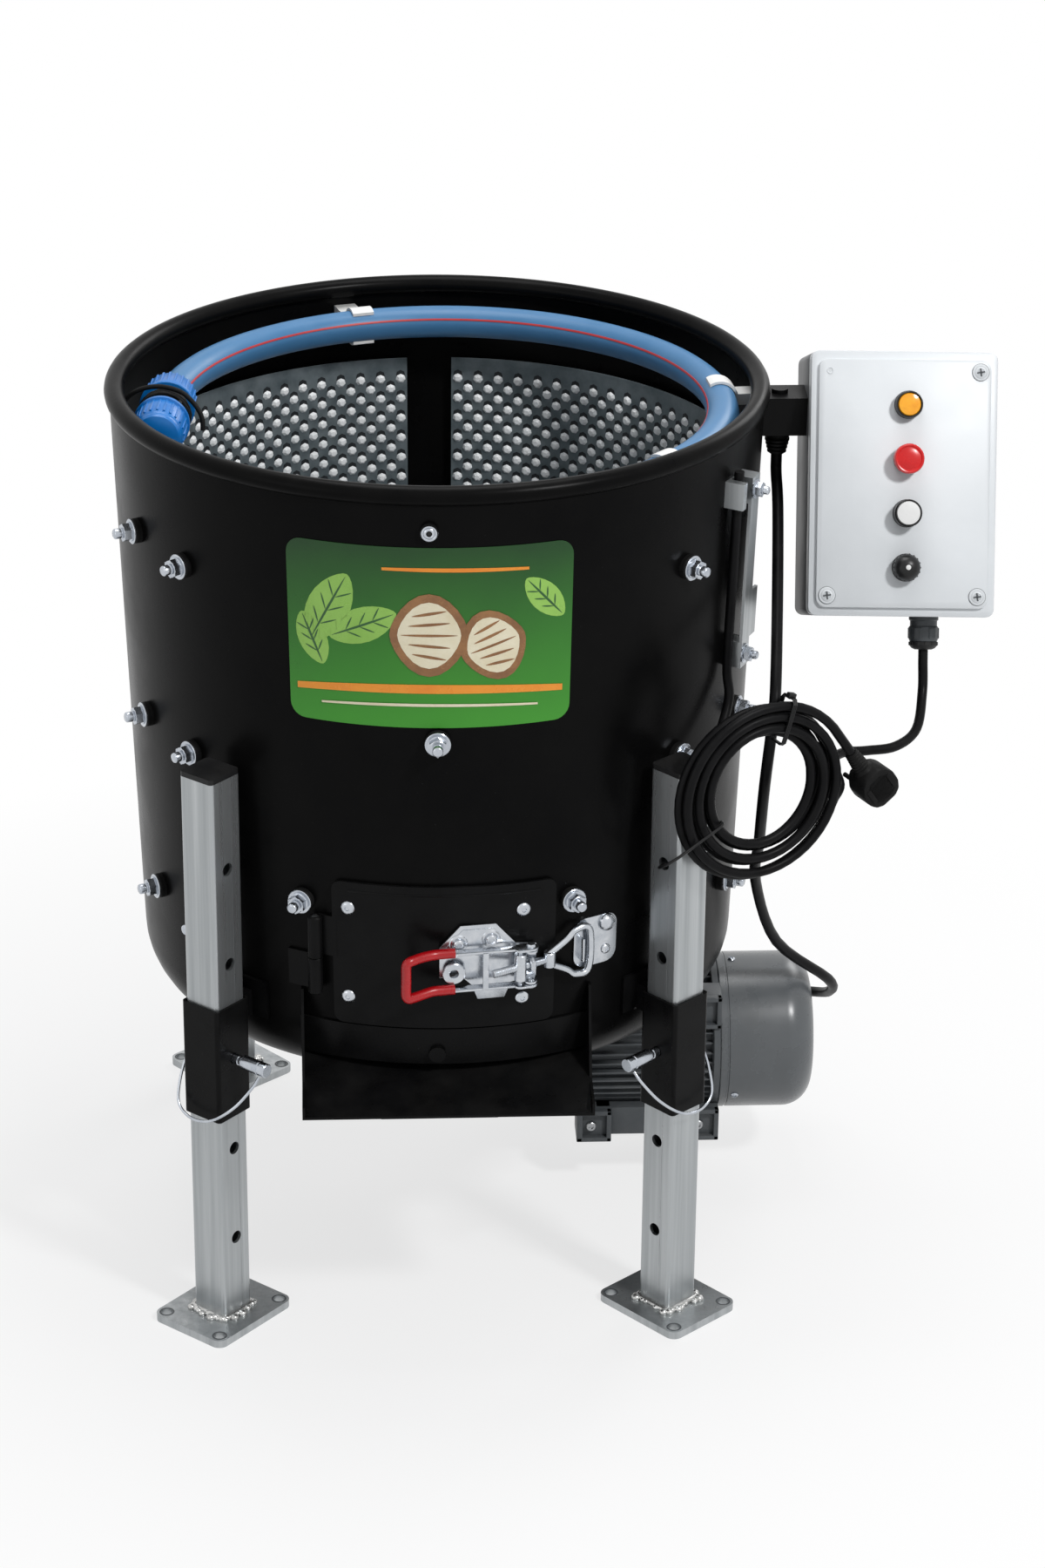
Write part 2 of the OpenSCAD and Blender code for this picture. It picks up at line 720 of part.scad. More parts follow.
module liner_sides() {
  color("#8d9499") difference() {
    for (m = [0, 1]) mirror([m, 0, 0])
      cone_band(liner_joint_a + liner_slit_a, 180 - liner_back_a, -liner_in, -liner_in + liner_t,
        liner_z1, liner_z2);
    liner_holes(liner_side_spots);
    for (z = [guard_z1, guard_z2]) on_wall(guard_a, z) out_cyl(liner_hole_d, -liner_in - bush_h, -liner_gap);
  }
}

module liner_front() {
  color("#8d9499") difference() {
    cone_band(-liner_joint_a + liner_slit_a, liner_joint_a - liner_slit_a, -liner_in, -liner_in + liner_t,
      liner_z1, liner_z2);
    cone_band(-hatch_open_a, hatch_open_a, -liner_in - over, over - liner_in + liner_t, liner_z1 - over,
      hatch_open_z2);
    liner_holes(liner_front_spots);
  }
}

module liner_bolts() {
  color("#c3c8cc") for (s = concat(liner_front_spots, liner_side_spots)) on_wall(s[0], s[1]) {
    out_cyl(head_d, -liner_in - bolt_air - head_h, -liner_in - bolt_air);
    out_cyl(bolt_d, -liner_in - bolt_air, bolt_out);
    out_cyl(washer_d, bush_h, bush_h + washer_t);
    translate([0, -bush_h - washer_t, 0]) rotate([90, 0, 0]) cylinder(d = nut_d, h = nut_h, $fn = 6);
  }
}

module liner_bushes() {
  color("#202020") for (s = concat(liner_front_spots, liner_side_spots)) on_wall(s[0], s[1])
    difference() {
      out_cyl(bush_d, bolt_air - wall_t - liner_gap, bush_h - seat_fit);
      out_cyl(bolt_d + 2 * seat_fit, -liner_in, bolt_out);
    }
}

module label_plate() {
  color("#2f8a2a") cone_band(label_a1, label_a2, label_glue, label_glue + label_t, label_z1, label_z2);
}

module spray_pipe() {
  color("#4a86bd") translate([ring_x, ring_y, 0]) rotate([0, 0, ring_a1 - 90])
    rotate_extrude(angle = ring_a2 - ring_a1, $fn = smooth_fn)
    translate([ring_r, ring_z]) difference() {
      circle(d = pipe_d);
      circle(d = pipe_d - 2 * pipe_t);
    }
}

joint_slack = 3;
joint_grip = 26;
joint_stop = 4;
nut_overhang = 10;

module at_coupling() {
  translate([ring_x, ring_y, 0]) rotate([0, 0, ring_a2 - 90])
    translate([ring_r, joint_l / 2 + nut_overhang - joint_grip, ring_z]) rotate([-90, 0, 0]) children();
}

module coupling_body() {
  color("#1b1b1b") at_coupling() difference() {
    translate([0, 0, -joint_l / 2]) cylinder(d = joint_d, h = joint_l);
    for (m = [0, 1]) mirror([0, 0, m]) translate([0, 0, joint_stop / 2])
      cylinder(d = pipe_d + joint_slack, h = joint_l);
    cylinder(d = pipe_d - 2 * pipe_t, h = joint_l, center = true);
  }
}

module coupling_nuts() {
  color("#0a64c8") at_coupling() for (m = [0, 1]) mirror([0, 0, m]) difference() {
    translate([0, 0, joint_l / 2 + nut_overhang - joint_nut_l]) cylinder(d = joint_nut_d, h = joint_nut_l);
    cylinder(d = joint_d + 2 * seat_fit, h = joint_l / 2 + seat_fit);
    cylinder(d = pipe_d + joint_slack, h = joint_l / 2 + nut_overhang + over);
  }
}

clip_reach = wall_top_r - ring_r + norm([ring_x, ring_y]);
clip_mouth = 0.3;

module pipe_clips() {
  color("#f2f2f2") for (a = clip_as) intersection() {
    translate([ring_x, ring_y, 0]) rotate([0, 0, a]) translate([0, -ring_r, ring_z]) difference() {
      union() {
        rotate([0, 90, 0]) translate([0, 0, -clip_w / 2])
          cylinder(d = pipe_d + 2 * clip_t + 2 * air, h = clip_w);
        translate([-clip_w / 2, -clip_reach, -clip_w / 4]) cube([clip_w, clip_reach, clip_w / 2]);
      }
      rotate([0, 90, 0]) translate([0, 0, -clip_w]) cylinder(d = pipe_d + 2 * air, h = 2 * clip_w);
      translate([-clip_w, pipe_d * clip_mouth, -pipe_d]) cube([2 * clip_w, pipe_d, 2 * pipe_d]);
    }
    drum_core(-wall_t - seat_fit);
  }
}

module at_hinge() {
  rotate([0, 0, hinge_a]) translate([0, -hinge_r, 0]) children();
}

leaf_a = 6;

module hinge_leaf() {
  color("#161616") difference() {
    union() {
      at_hinge() translate([0, 0, hinge_z1]) cylinder(d = knuckle_d, h = hinge_z2 - hinge_z1 - air);
      cone_band(hinge_a - leaf_a, hinge_a, seat_fit, hatch_t, hinge_z1, hinge_z2 - air);
    }
    at_hinge() translate([0, 0, hinge_z1 - over]) cylinder(d = hinge_pin_d + 2 * seat_fit, h = hinge_z3);
  }
}

module hinge_pin() {
  color("#202020") at_hinge() translate([0, 0, hinge_z1]) cylinder(d = hinge_pin_d, h = hinge_z3 - hinge_z1);
}

module door_panel() {
  color("#161616") difference() {
    union() {
      cone_band(hatch_a1, hatch_a2, hatch_gap, hatch_gap + hatch_t, hatch_z1, hatch_z2);
      at_hinge() translate([0, 0, hinge_z2]) cylinder(d = knuckle_d, h = hinge_z3 - hinge_z2);
      cone_band(hinge_a, hatch_a1, hatch_gap, hatch_gap + hatch_t, hinge_z2, hinge_z3);
    }
    at_hinge() translate([0, 0, hinge_z1]) cylinder(d = hinge_pin_d + 2 * run_fit, h = hinge_z3);
    for (s = hatch_rivet_spots) on_wall(s[0], s[1])
      out_cyl(rivet_shank_d + 2 * seat_fit, -over, hatch_gap + hatch_t + over);
    for (s = latch_bolt_spots) at_latch() translate([s[0], 0, s[1]])
      out_cyl(latch_bolt_d + 2 * seat_fit, -latch_bolt_l - over, over);
  }
}

module rivet(w, back) {
  out_cyl(rivet_shank_d, back, w + rivet_h);
  translate([0, -w, 0]) rotate([90, 0, 0]) cylinder(d1 = rivet_d, d2 = rivet_d / 2, h = rivet_h);
}

module door_rivets() {
  color("#c8ccd0") for (s = hatch_rivet_spots) on_wall(s[0], s[1])
    rivet(hatch_gap + hatch_t + air, 0);
}

latch_bolt_d = 6;
latch_bolt_l = 8;
cup_d = 18;
cup_h = 2;
latch_head_d = 10;
latch_head_h = 3;
ear_d = 13;
ear_z = 15;
ear_t = 2.5;
eye_d = 22;
eye_hole_d = 9;
eye_w = 7;
eye_t = 3;
eye_foot = 10;
base_seat = 0.3;
journal_d = 5;
trunnion_d = 12;
trunnion_l = 28;
lever_round_d = 14;
pivot_end = 3;
hook_tail = 30;
tip_share = 0.42;
corner_share = 0.8;
grip_bend = 14;

module latch_base() {
  color("#c9cdd1") at_latch() difference() {
    union() {
      translate([0, -base_seat, 0]) rotate([90, 0, 0]) linear_extrude(base_t) polygon(latch_outline);
      for (m = [0, 1]) mirror([0, 0, m]) {
        translate([pivot_u - ear_d / 2, -pivot_w, ear_z]) cube([ear_d, pivot_w - base_seat, ear_t]);
        translate([pivot_u, -pivot_w, ear_z]) cylinder(d = ear_d, h = ear_t);
      }
      translate([eye_u, 0, eye_v]) out_cyl(eye_d, eye_w, eye_w + eye_t);
      translate([eye_u + eye_d / 2 - eye_foot, -eye_w - eye_t, eye_v - eye_foot / 2])
        cube([eye_foot, eye_w + eye_t - base_seat, eye_foot]);
    }
    translate([pivot_u, -pivot_w, -arm_gap]) cylinder(d = pivot_d + 2 * run_fit, h = 2 * arm_gap);
    translate([eye_u - eye_t, 0, eye_v]) out_cyl(eye_hole_d, eye_w - over, eye_w + eye_t + over);
    for (s = latch_bolt_spots) translate([s[0], 0, s[1]])
      out_cyl(latch_bolt_d + 2 * seat_fit, -over, base_t + over);
  }
}

module latch_bolts() {
  color("#d2d6d9") at_latch() for (s = latch_bolt_spots) translate([s[0], 0, s[1]]) {
    out_cyl(latch_bolt_d, -latch_bolt_l, base_seat + base_t + cup_h);
    out_cyl(cup_d, base_seat + base_t, base_seat + base_t + cup_h);
    out_cyl(latch_head_d, base_seat + base_t + cup_h, base_seat + base_t + cup_h + latch_head_h);
  }
}

module latch_lever() {
  color("#ccd0d4") at_latch() difference() {
    union() {
      for (m = [0, 1]) mirror([0, 0, m]) translate([0, 0, arm_gap / 2 - arm_t / 2]) {
        translate([arm_left, -pivot_w - arm_h / 2, 0]) cube([pivot_u - arm_left, arm_h, arm_t]);
        translate([pivot_u, -pivot_w, 0]) cylinder(d = lever_round_d, h = arm_t);
        translate([pivot_u - trunnion_back, -pivot_w - trunnion_rise, 0])
          cylinder(d = lever_round_d, h = arm_t);
      }
      for (m = [0, 1]) mirror([0, 0, m]) translate([pivot_u, -pivot_w, ear_z - air])
        cylinder(d = pivot_d, h = arm_gap / 2 + arm_t / 2 + pivot_end - ear_z + air);
      for (m = [0, 1]) mirror([0, 0, m]) translate([pivot_u, -pivot_w, arm_gap / 2 + arm_t / 2])
        cylinder(d = pivot_d + pivot_end, h = pivot_end);
    }
    translate([pivot_u - trunnion_back, -pivot_w - trunnion_rise, -arm_gap])
      cylinder(d = journal_d + 2 * run_fit, h = 2 * arm_gap);
  }
}

module latch_grip() {
  y = -pivot_w;
  ends = [for (m = [1, -1]) [[arm_left - seat_fit, y, m * arm_gap / 2],
    [arm_left - grip_bend / 2, y, m * arm_gap / 2], [arm_left - grip_bend, y, m * arm_gap / 2],
    [grip_left + grip_bend, y - grip_out, m * grip_span / 2],
    [grip_left + grip_turn, y - grip_out, m * grip_span / 2],
    [grip_left, y - grip_out, m * (grip_span / 2 - grip_turn)]]];
  color("#c8141c") at_latch()
    tube(route(concat(ends[0], [for (i = [5:-1:0]) ends[1][i]]), 3), grip_d, tube_sides);
}

module latch_hook() {
  p = [pivot_u - trunnion_back, -pivot_w - trunnion_rise, 0];
  v = [bar_u, bar_in, 0] - p;
  tip = p + tip_share * v;
  up = [0, 0, loop_span / 2];
  mid = [0, 0, hook_d / 2 + air];
  half = [for (m = [1, -1]) [tip + m * mid, p + mid_share * v + m * mid_share * up,
    p + corner_share * v + m * up, p + v + m * (up - [0, 0, loop_d / 2])]];
  color("#ccd0d4") at_latch() {
    translate(p - [0, 0, trunnion_l / 2]) cylinder(d = trunnion_d, h = trunnion_l);
    translate(p - [0, 0, arm_gap / 2 + arm_t / 2]) cylinder(d = journal_d, h = arm_gap + arm_t);
    rod(p - hook_tail * unit(v), tip, hook_d);
    translate(tip - [0, 0, hook_d]) cylinder(d = trunnion_d, h = 2 * hook_d);
    tube(route(concat(half[0], [for (i = [3:-1:0]) half[1][i]]), 3), loop_d, tube_sides);
  }
}

grip_turn = 7;
mid_share = 0.66;
catch_a2 = 32.6;
tongue_h = 24;

module catch_plate() {
  bar_rad = norm(bar_spot());
  tongue_x = loop_d / 2 + tongue_gap + catch_t;
  color("#c9cdd1") difference() {
    union() {
      cone_band(bar_a() - asin(tongue_x / bar_rad), catch_a2, seat_fit, catch_t, catch_z1, catch_z2);
      rotate([0, 0, bar_a()]) translate([-tongue_x, -bar_rad - tongue_rise, latch_z - tongue_h / 2])
        cube([catch_t, bar_rad + tongue_rise - wall_r(latch_z) - catch_t / 2, tongue_h]);
    }
    for (s = catch_rivet_spots) on_wall(s[0], s[1])
      out_cyl(rivet_shank_d + 2 * seat_fit, -over, catch_t + over);
  }
}

module catch_rivets() {
  color("#d2d6d9") for (s = catch_rivet_spots) on_wall(s[0], s[1]) rivet(catch_t + air / 2, -wall_t);
}

chute_back = 250;
chute_top_front = 270;
chute_plate_z1 = 300;
chute_plate_z2 = 338;
chute_plate_a = 27.8;

module chute() {
  side = [[-chute_back, chute_z3], [-chute_top_front, chute_z3],
    [chute_knee_l - chute_front, chute_z1 + chute_knee_h], [-chute_front, chute_z1 + chute_lip],
    [-chute_front, chute_z1], [-chute_back, chute_z2 + (chute_z2 - chute_z1) / 2]];
  floor_line = [[-chute_front, chute_z1], [-chute_front, chute_z1 + chute_t],
    [-chute_back, chute_z2 + (chute_z2 - chute_z1) / 2 + chute_t],
    [-chute_back, chute_z2 + (chute_z2 - chute_z1) / 2]];
  color("#151515") difference() {
    union() {
      for (x = [-chute_w / 2, chute_w / 2 - chute_t]) translate([x, 0, 0]) rotate([90, 0, 90])
        linear_extrude(chute_t) polygon(side);
      translate([-chute_w / 2, 0, 0]) rotate([90, 0, 90]) linear_extrude(chute_w) polygon(floor_line);
      cone_band(-chute_plate_a, chute_plate_a, seat_fit, chute_t, chute_plate_z1, chute_plate_z2);
    }
    drum_core(seat_fit);
    on_wall(chute_bolt_a, chute_bolt_z) out_cyl(frame_hole_d, -bush_h, bush_h);
  }
}

saddle_bolt_l = 14;
wall_bolt_l = 10;

module frame_bolts() {
  color("#8f9498") {
    for (i = [0:base_bolts - 1]) rotate([0, 0, 45 + 360 * i / base_bolts])
      translate([base_bolt_r, 0, plate_z - flange_t - nut_h]) {
        cylinder(d = frame_bolt_d, h = nut_h + flange_t + base_plate_t + wall_t + seat_fit);
        cylinder(d = frame_head_d, h = nut_h - seat_fit, $fn = 6);
        translate([0, 0, nut_h + flange_t + base_plate_t + wall_t + seat_fit])
          cylinder(d = frame_head_d, h = frame_head_h);
      }
    for (k = [0:3]) on_wall(leg_spots[k][0], saddle_bolt_z) {
      out_cyl(frame_head_d, -wall_t - bolt_air - frame_head_h, -wall_t - bolt_air);
      out_cyl(frame_bolt_d, -wall_t - bolt_air, saddle_bolt_l);
    }
    on_wall(chute_bolt_a, chute_bolt_z) {
      out_cyl(frame_bolt_d, -wall_t - bush_h, chute_t + bolt_air);
      out_cyl(frame_head_d, chute_t + bolt_air, chute_t + bolt_air + frame_head_h);
    }
    on_wall(badge_a, badge_z) {
      out_cyl(frame_bolt_d, -wall_bolt_l, bolt_air);
      out_cyl(frame_head_d, bolt_air, bolt_air + frame_head_h);
    }
    translate([arm_bolt_x, 0, arm_box_z + arm_box_h / 2 - wall_bolt_l]) {
      cylinder(d = frame_bolt_d, h = wall_bolt_l + seat_fit);
      translate([0, 0, wall_bolt_l + seat_fit]) cylinder(d = frame_head_d, h = frame_head_h);
    }
  }
}

arm_bolt_x = 331;

module base_plate() {
  color("#1a1a1a") difference() {
    translate([0, 0, plate_z]) cylinder(r = base_r, h = base_plate_t - seat_fit, $fn = smooth_fn);
    translate([0, 0, plate_z - over]) cylinder(d = shaft_d + 2 * shaft_gap, h = base_plate_t + 2 * over);
    for (i = [0:base_bolts - 1]) rotate([0, 0, 45 + 360 * i / base_bolts])
      translate([base_bolt_r, 0, plate_z - over]) cylinder(d = frame_hole_d, h = base_plate_t + 2 * over);
  }
}

sleeve_fit = 0.4;

module leg_sleeves() {
  gusset_l = leg_r - sleeve_s / 2 - wall_r(saddle_z1);
  color("#161616") for (k = [0:3]) difference() {
    union() {
      at_leg(k) translate([0, 0, sleeve_z1]) rounded(sleeve_s, sleeve_s, sleeve_z2 - sleeve_z1, leg_round);
      cone_band(leg_spots[k][0] - saddle_a, leg_spots[k][0] + saddle_a, seat_fit, saddle_t,
        saddle_z1, saddle_z2);
      at_leg(k) translate([-gusset_w / 2, sleeve_s / 2 - over, saddle_z1])
        cube([gusset_w, gusset_l - saddle_t / 2 + over, sleeve_z2 - saddle_z1]);
    }
    at_leg(k) translate([-leg_s / 2 - sleeve_fit, -leg_s / 2 - sleeve_fit, sleeve_z1 - over])
      cube([leg_s + 2 * sleeve_fit, leg_s + 2 * sleeve_fit, sleeve_z2 - sleeve_z1 + 2 * over]);
    at_leg(k) translate([0, 0, pin_z]) along_x(pin_d + 2 * air, -sleeve_s, sleeve_s);
    on_wall(leg_spots[k][0], saddle_bolt_z) out_cyl(frame_hole_d, -over, saddle_bolt_l + seat_fit);
    drum_core(seat_fit);
  }
}

module leg_tubes() {
  color("#9aa0a4") for (k = [0:3]) at_leg(k) difference() {
    union() {
      rounded(leg_s, leg_s, leg_h, leg_round);
      rounded(foot_w, foot_l, foot_t, foot_r);
    }
    translate([leg_t - leg_s / 2, leg_t - leg_s / 2, foot_t])
      cube([leg_s - 2 * leg_t, leg_s - 2 * leg_t, leg_h]);
    for (i = [0:leg_holes - 1]) translate([0, 0, leg_hole_z + i * leg_pitch])
      along_x(leg_hole_d, -leg_s, leg_s);
    for (x = [-1, 1]) for (y = [-1, 1]) translate([x * foot_hole_w / 2, y * foot_hole_l / 2, -over])
      cylinder(d = foot_hole_d, h = foot_t + 2 * over);
  }
}

cap_plug = 20;

module leg_caps() {
  cap_in = leg_s - 2 * leg_t - 2 * seat_fit;
  color("#1c1c1c") for (k = [0:3]) at_leg(k) {
    translate([0, 0, leg_h + seat_fit]) rounded(leg_s, leg_s, cap_h, leg_round);
    translate([-cap_in / 2, -cap_in / 2, leg_h - cap_plug]) cube([cap_in, cap_in, cap_plug + cap_h / 2]);
  }
}

module lock_pin(k) {
  color("#c6cace") at_leg(k) translate([0, 0, pin_z]) mirror([leg_spots[k][1] < 0 ? 1 : 0, 0, 0]) {
    along_x(pin_d, -sleeve_s / 2 - pin_tip, sleeve_s / 2 + pin_neck);
    along_x(pin_head_d, sleeve_s / 2 + pin_neck, sleeve_s / 2 + pin_neck + pin_head_l);
  }
}

module lock_pin_fl() { lock_pin(0); }
module lock_pin_fr() { lock_pin(1); }
module lock_pin_rr() { lock_pin(2); }
module lock_pin_rl() { lock_pin(3); }

module pin_wires() {
  color("#c6cace") for (k = [0:3]) at_leg(k) translate([0, 0, pin_z])
    mirror([leg_spots[k][1] < 0 ? 1 : 0, 0, 0]) tube(route(wire_route, 3), wire_d, wire_sides);
}

gear_back = 40;
gear_wall = 12;
gear_air = 3;
worm_half = 40;
shaft_top = 330;
hub_d = 76;
hub_z1 = 285;
hub_z2 = 336;
rib_t = 6;
ribs = 6;
motor_neck_d = 120;
bell_d = 158;
bell_l = 14;
core_d = 88;
core_x1 = 165;
core_x2 = 262;
end_ring_l = 8;
cavity_x1 = 150;
cavity_x2 = 280;
fan_x1 = 306;
fan_l = 28;
fan_d = 132;
fan_hub_d = 44;
fan_blades = 8;
fan_t = 3;
pad_x1 = 162;
pad_x2 = 274;
slots = 8;
slot_w = 9;
term_x1 = 190;
term_x2 = 262;
term_y1 = 112;
term_y2 = 165;
term_half = 38;
term_gland_y = 143;
term_gland_l = 22;
term_gland_d = 20;

module gearbox_housing() {
  color("#3b4043") difference() {
    union() {
      translate([-gear_half, -gear_half, motor_z - gear_h / 2])
        cube([2 * gear_half, gear_half + worm_a + gear_back, gear_h]);
      translate([0, 0, motor_z]) cylinder(d = neck_d, h = plate_z - motor_z - seat_fit);
      translate([0, 0, plate_z - flange_t]) cylinder(d = flange_d, h = flange_t - seat_fit);
      at_motor() along_x(motor_neck_d, 0, motor_x1 - seat_fit);
    }
    translate([0, 0, motor_z - wheel_w / 2 - gear_air])
      cylinder(r = wheel_r + gear_air, h = wheel_w + 2 * gear_air);
    at_motor() along_x(2 * (worm_r + gear_air), -worm_half - gear_air, worm_half + gear_air);
    translate([0, 0, motor_z - gear_h / 2 + gear_wall]) cylinder(d = shaft_d + 2 * run_fit, h = plate_z);
    at_motor() along_x(motor_shaft_d + 2 * run_fit, -worm_half - gear_wall, motor_x1 + over);
    for (i = [0:base_bolts - 1]) rotate([0, 0, 45 + 360 * i / base_bolts])
      translate([base_bolt_r, 0, plate_z - flange_t - over])
        cylinder(d = frame_hole_d, h = flange_t + 2 * over);
  }
}

module motor_frame() {
  color("#50565a") at_motor() difference() {
    union() {
      along_x(bell_d, motor_x1, motor_x1 + bell_l);
      along_x(motor_d, motor_x1, motor_x2);
      along_x(cowl_d, motor_x2 - end_ring_l, motor_x2);
      for (x = [pad_x1, pad_x2]) for (y = [0, 1]) for (z = [-pad_rise, pad_top - pad_d]) mirror([0, y, 0])
        translate([x - pad_l / 2, pad_out - pad_d, z]) cube([pad_l, pad_d, pad_d]);
    }
    along_x(core_d + 2 * gear_air, cavity_x1, cavity_x2);
    along_x(motor_shaft_d + 2 * run_fit, motor_x1 - over, motor_x2 + over);
  }
}

module motor_cowl() {
  l = motor_x3 - motor_x2;
  r = cowl_d / 2;
  c = r - cowl_round;
  function sweep(s, n) = [for (i = [0:n]) [c + s * cos(90 * i / n), l - cowl_round + s * sin(90 * i / n)]];
  function back(s, n) = [for (i = [n:-1:0]) sweep(s, n)[i]];
  color("#565b5e") at_motor() translate([motor_x2, 0, 0]) rotate([0, 90, 0]) difference() {
    rotate_extrude($fn = smooth_fn) polygon(concat([[r, seat_fit]], sweep(cowl_round, 8),
      [[0, l], [0, l - cowl_t]],
      back(cowl_round - cowl_t, 8), [[r - cowl_t, seat_fit]]));
    for (i = [0:slots - 1]) rotate([0, 0, 360 * i / slots])
      translate([shaft_d / 2, -slot_w / 2, l - cowl_t - over])
        cube([c - shaft_d / 2, slot_w, cowl_t + 2 * over]);
  }
}

module terminal_box() {
  color("#4a4f52") difference() {
    union() {
      translate([term_x1, term_y1, motor_z - term_half])
        cube([term_x2 - term_x1, term_y2 - term_y1, 2 * term_half]);
      translate([0, term_gland_y, motor_z]) along_x(term_gland_d, term_x2, term_x2 + term_gland_l);
    }
    at_motor() along_x(motor_d + 2 * seat_fit, motor_x1, motor_x2);
  }
}

module motor_shaft() {
  color("#b9bdc1") at_motor() {
    along_x(motor_shaft_d, air - worm_half - gear_wall, fan_x1 + fan_l);
    along_x(2 * worm_r, -worm_half, worm_half);
    along_x(core_d, core_x1, core_x2);
  }
}

module motor_fan() {
  color("#2a2a2a") at_motor() difference() {
    union() {
      along_x(fan_hub_d, fan_x1, fan_x1 + fan_l);
      along_x(fan_d, fan_x1, fan_x1 + fan_t);
      for (i = [0:fan_blades - 1]) rotate([360 * i / fan_blades, 0, 0])
        translate([fan_x1, -fan_t / 2, 0]) cube([fan_l, fan_t, fan_d / 2]);
    }
    along_x(motor_shaft_d + 2 * seat_fit, fan_x1 - over, fan_x1 + fan_l + over);
  }
}

module worm_wheel() {
  color("#b08d3c") difference() {
    translate([0, 0, motor_z - wheel_w / 2]) cylinder(r = wheel_r, h = wheel_w);
    translate([0, 0, motor_z - wheel_w]) cylinder(d = shaft_d + 2 * seat_fit, h = 2 * wheel_w);
  }
}

module output_shaft() {
  z1 = motor_z - gear_h / 2 + gear_wall + air;
  color("#b9bdc1") translate([0, 0, z1]) cylinder(d = shaft_d, h = shaft_top - z1);
}

module rotor_disc() {
  color("#8a8f93") difference() {
    union() {
      translate([0, 0, rotor_z]) cylinder(r = rotor_r, h = rotor_t, $fn = smooth_fn);
      translate([0, 0, hub_z1]) cylinder(d = hub_d, h = hub_z2 - hub_z1);
      for (i = [0:ribs - 1]) rotate([0, 0, 360 * i / ribs])
        translate([0, -rib_t / 2, rotor_z]) cube([rotor_r - rib_t, rib_t, rotor_t + rib_h]);
    }
    translate([0, 0, hub_z1 - over])
      cylinder(d = shaft_d + 2 * seat_fit, h = shaft_top - hub_z1 + over + seat_fit);
  }
}

screw_d = 4;
screw_head_d = 16;
screw_head_h = 2;
screw_l = 16;
gland_x = 30;
gland_y = 55;
gland_fit = 1.2;
lamp_top_d = 18;
stem_in = 18;
ridge_w = 5;

module box_base() {
  color("#c3c9cc") box_frame() difference() {
    box_slab(box_w, box_l, lid_d + seat_fit, box_d, box_r);
    translate([box_t - box_w / 2, lid_d - over, box_t - box_l / 2])
      cube([box_w - 2 * box_t, box_d - lid_d - box_t + over, box_l - 2 * box_t]);
  }
}

module box_lid() {
  color("#d6dadc") difference() {
    box_frame() {
      box_slab(box_w, box_l, 0, lid_d, box_r);
      box_slab(panel_w, panel_l, -lid_rise, over, box_r);
    }
    box_frame() translate([2 * box_t - panel_w / 2, box_t, box_t - box_l / 2])
      cube([panel_w - 4 * box_t, lid_d, box_l - 2 * box_t]);
    for (k = [0:3]) at_control(k) out_cyl(barrel_d + 2 * seat_fit, -barrel_l, over);
    for (s = lid_screw_spots) box_frame() translate([s[0], 0, s[1]])
      out_cyl(screw_d + 2 * seat_fit, -screw_l - over, lid_rise + over);
  }
}

module lid_screws() {
  color("#9da2a5") for (s = lid_screw_spots) box_frame() translate([s[0], -lid_rise, s[1]]) {
    out_cyl(screw_d, -screw_l, seat_fit);
    out_cyl(screw_head_d, seat_fit, seat_fit + screw_head_h);
  }
}

module control_bezels() {
  color("#1a1a1a") for (k = [0:3]) at_control(k) difference() {
    union() {
      out_cyl(bezel_d, seat_fit, bezel_h);
      out_cyl(barrel_d, -barrel_l, seat_fit + over);
    }
    out_cyl(stem_d + 2 * run_fit, -barrel_l - over, bezel_h + over);
  }
}

module red_button() {
  color("#dc1414") at_control(2) {
    out_cyl(stem_d, -stem_in, bezel_h + press + air + over);
    out_cyl(red_d, bezel_h + press + air, bezel_h + press + air + cap_l);
  }
}

module white_button() {
  color("#f0f0f0") at_control(1) {
    out_cyl(stem_d, -stem_in, bezel_h + press + air + over);
    out_cyl(white_d, bezel_h + press + air, bezel_h + press + air + cap_l);
  }
}

module lamp_lens() {
  color("#f5a000") at_control(3) {
    out_cyl(stem_d, -stem_in, bezel_h + seat_fit + over);
    translate([0, -bezel_h - seat_fit, 0]) rotate([90, 0, 0])
      cylinder(d1 = lamp_d, d2 = lamp_top_d, h = cap_l);
  }
}

module selector_knob() {
  color("#161616") at_control(0) {
    out_cyl(stem_d, -stem_in, bezel_h + air + over);
    translate([0, -bezel_h - air, 0]) rotate([90, 0, 0]) cylinder(d1 = knob_d, d2 = knob_top_d, h = knob_l);
    translate([-ridge_w / 2, -bezel_h - air - knob_l, 0]) cube([ridge_w, knob_l, knob_d / 2]);
  }
}

module box_gland() {
  color("#b5babd") box_frame() translate([gland_x, gland_y, -box_l / 2 - gland_l])
    difference() {
      union() {
        cylinder(d = gland_d, h = gland_l / 2, $fn = 6);
        cylinder(d = gland_d - 2 * box_t, h = gland_l - seat_fit);
      }
      translate([0, 0, -over]) cylinder(d = cable_d + 2 * gland_fit, h = gland_l / 2);
    }
}

module box_arm() {
  color("#1a1a1a") difference() {
    translate([wall_r(arm_box_z) - wall_t, -arm_box_d / 2, arm_box_z - arm_box_h / 2])
      cube([box_x - box_w / 2 - wall_r(arm_box_z) + 2 * wall_t, arm_box_d, arm_box_h]);
    drum_core(seat_fit);
    box_frame() box_slab(box_w + 2 * seat_fit, box_l, 0, box_d, box_r);
    translate([arm_bolt_x, 0, arm_box_z]) cylinder(d = frame_hole_d, h = arm_box_h);
  }
}

boot_x = 330;
boot_end_d = 15;

module cable_boot() {
  color("#1c1c1c") translate([boot_x, 0, arm_box_z - arm_box_h / 2 - boot_l - seat_fit])
    cylinder(d1 = boot_end_d, d2 = boot_d, h = boot_l);
}

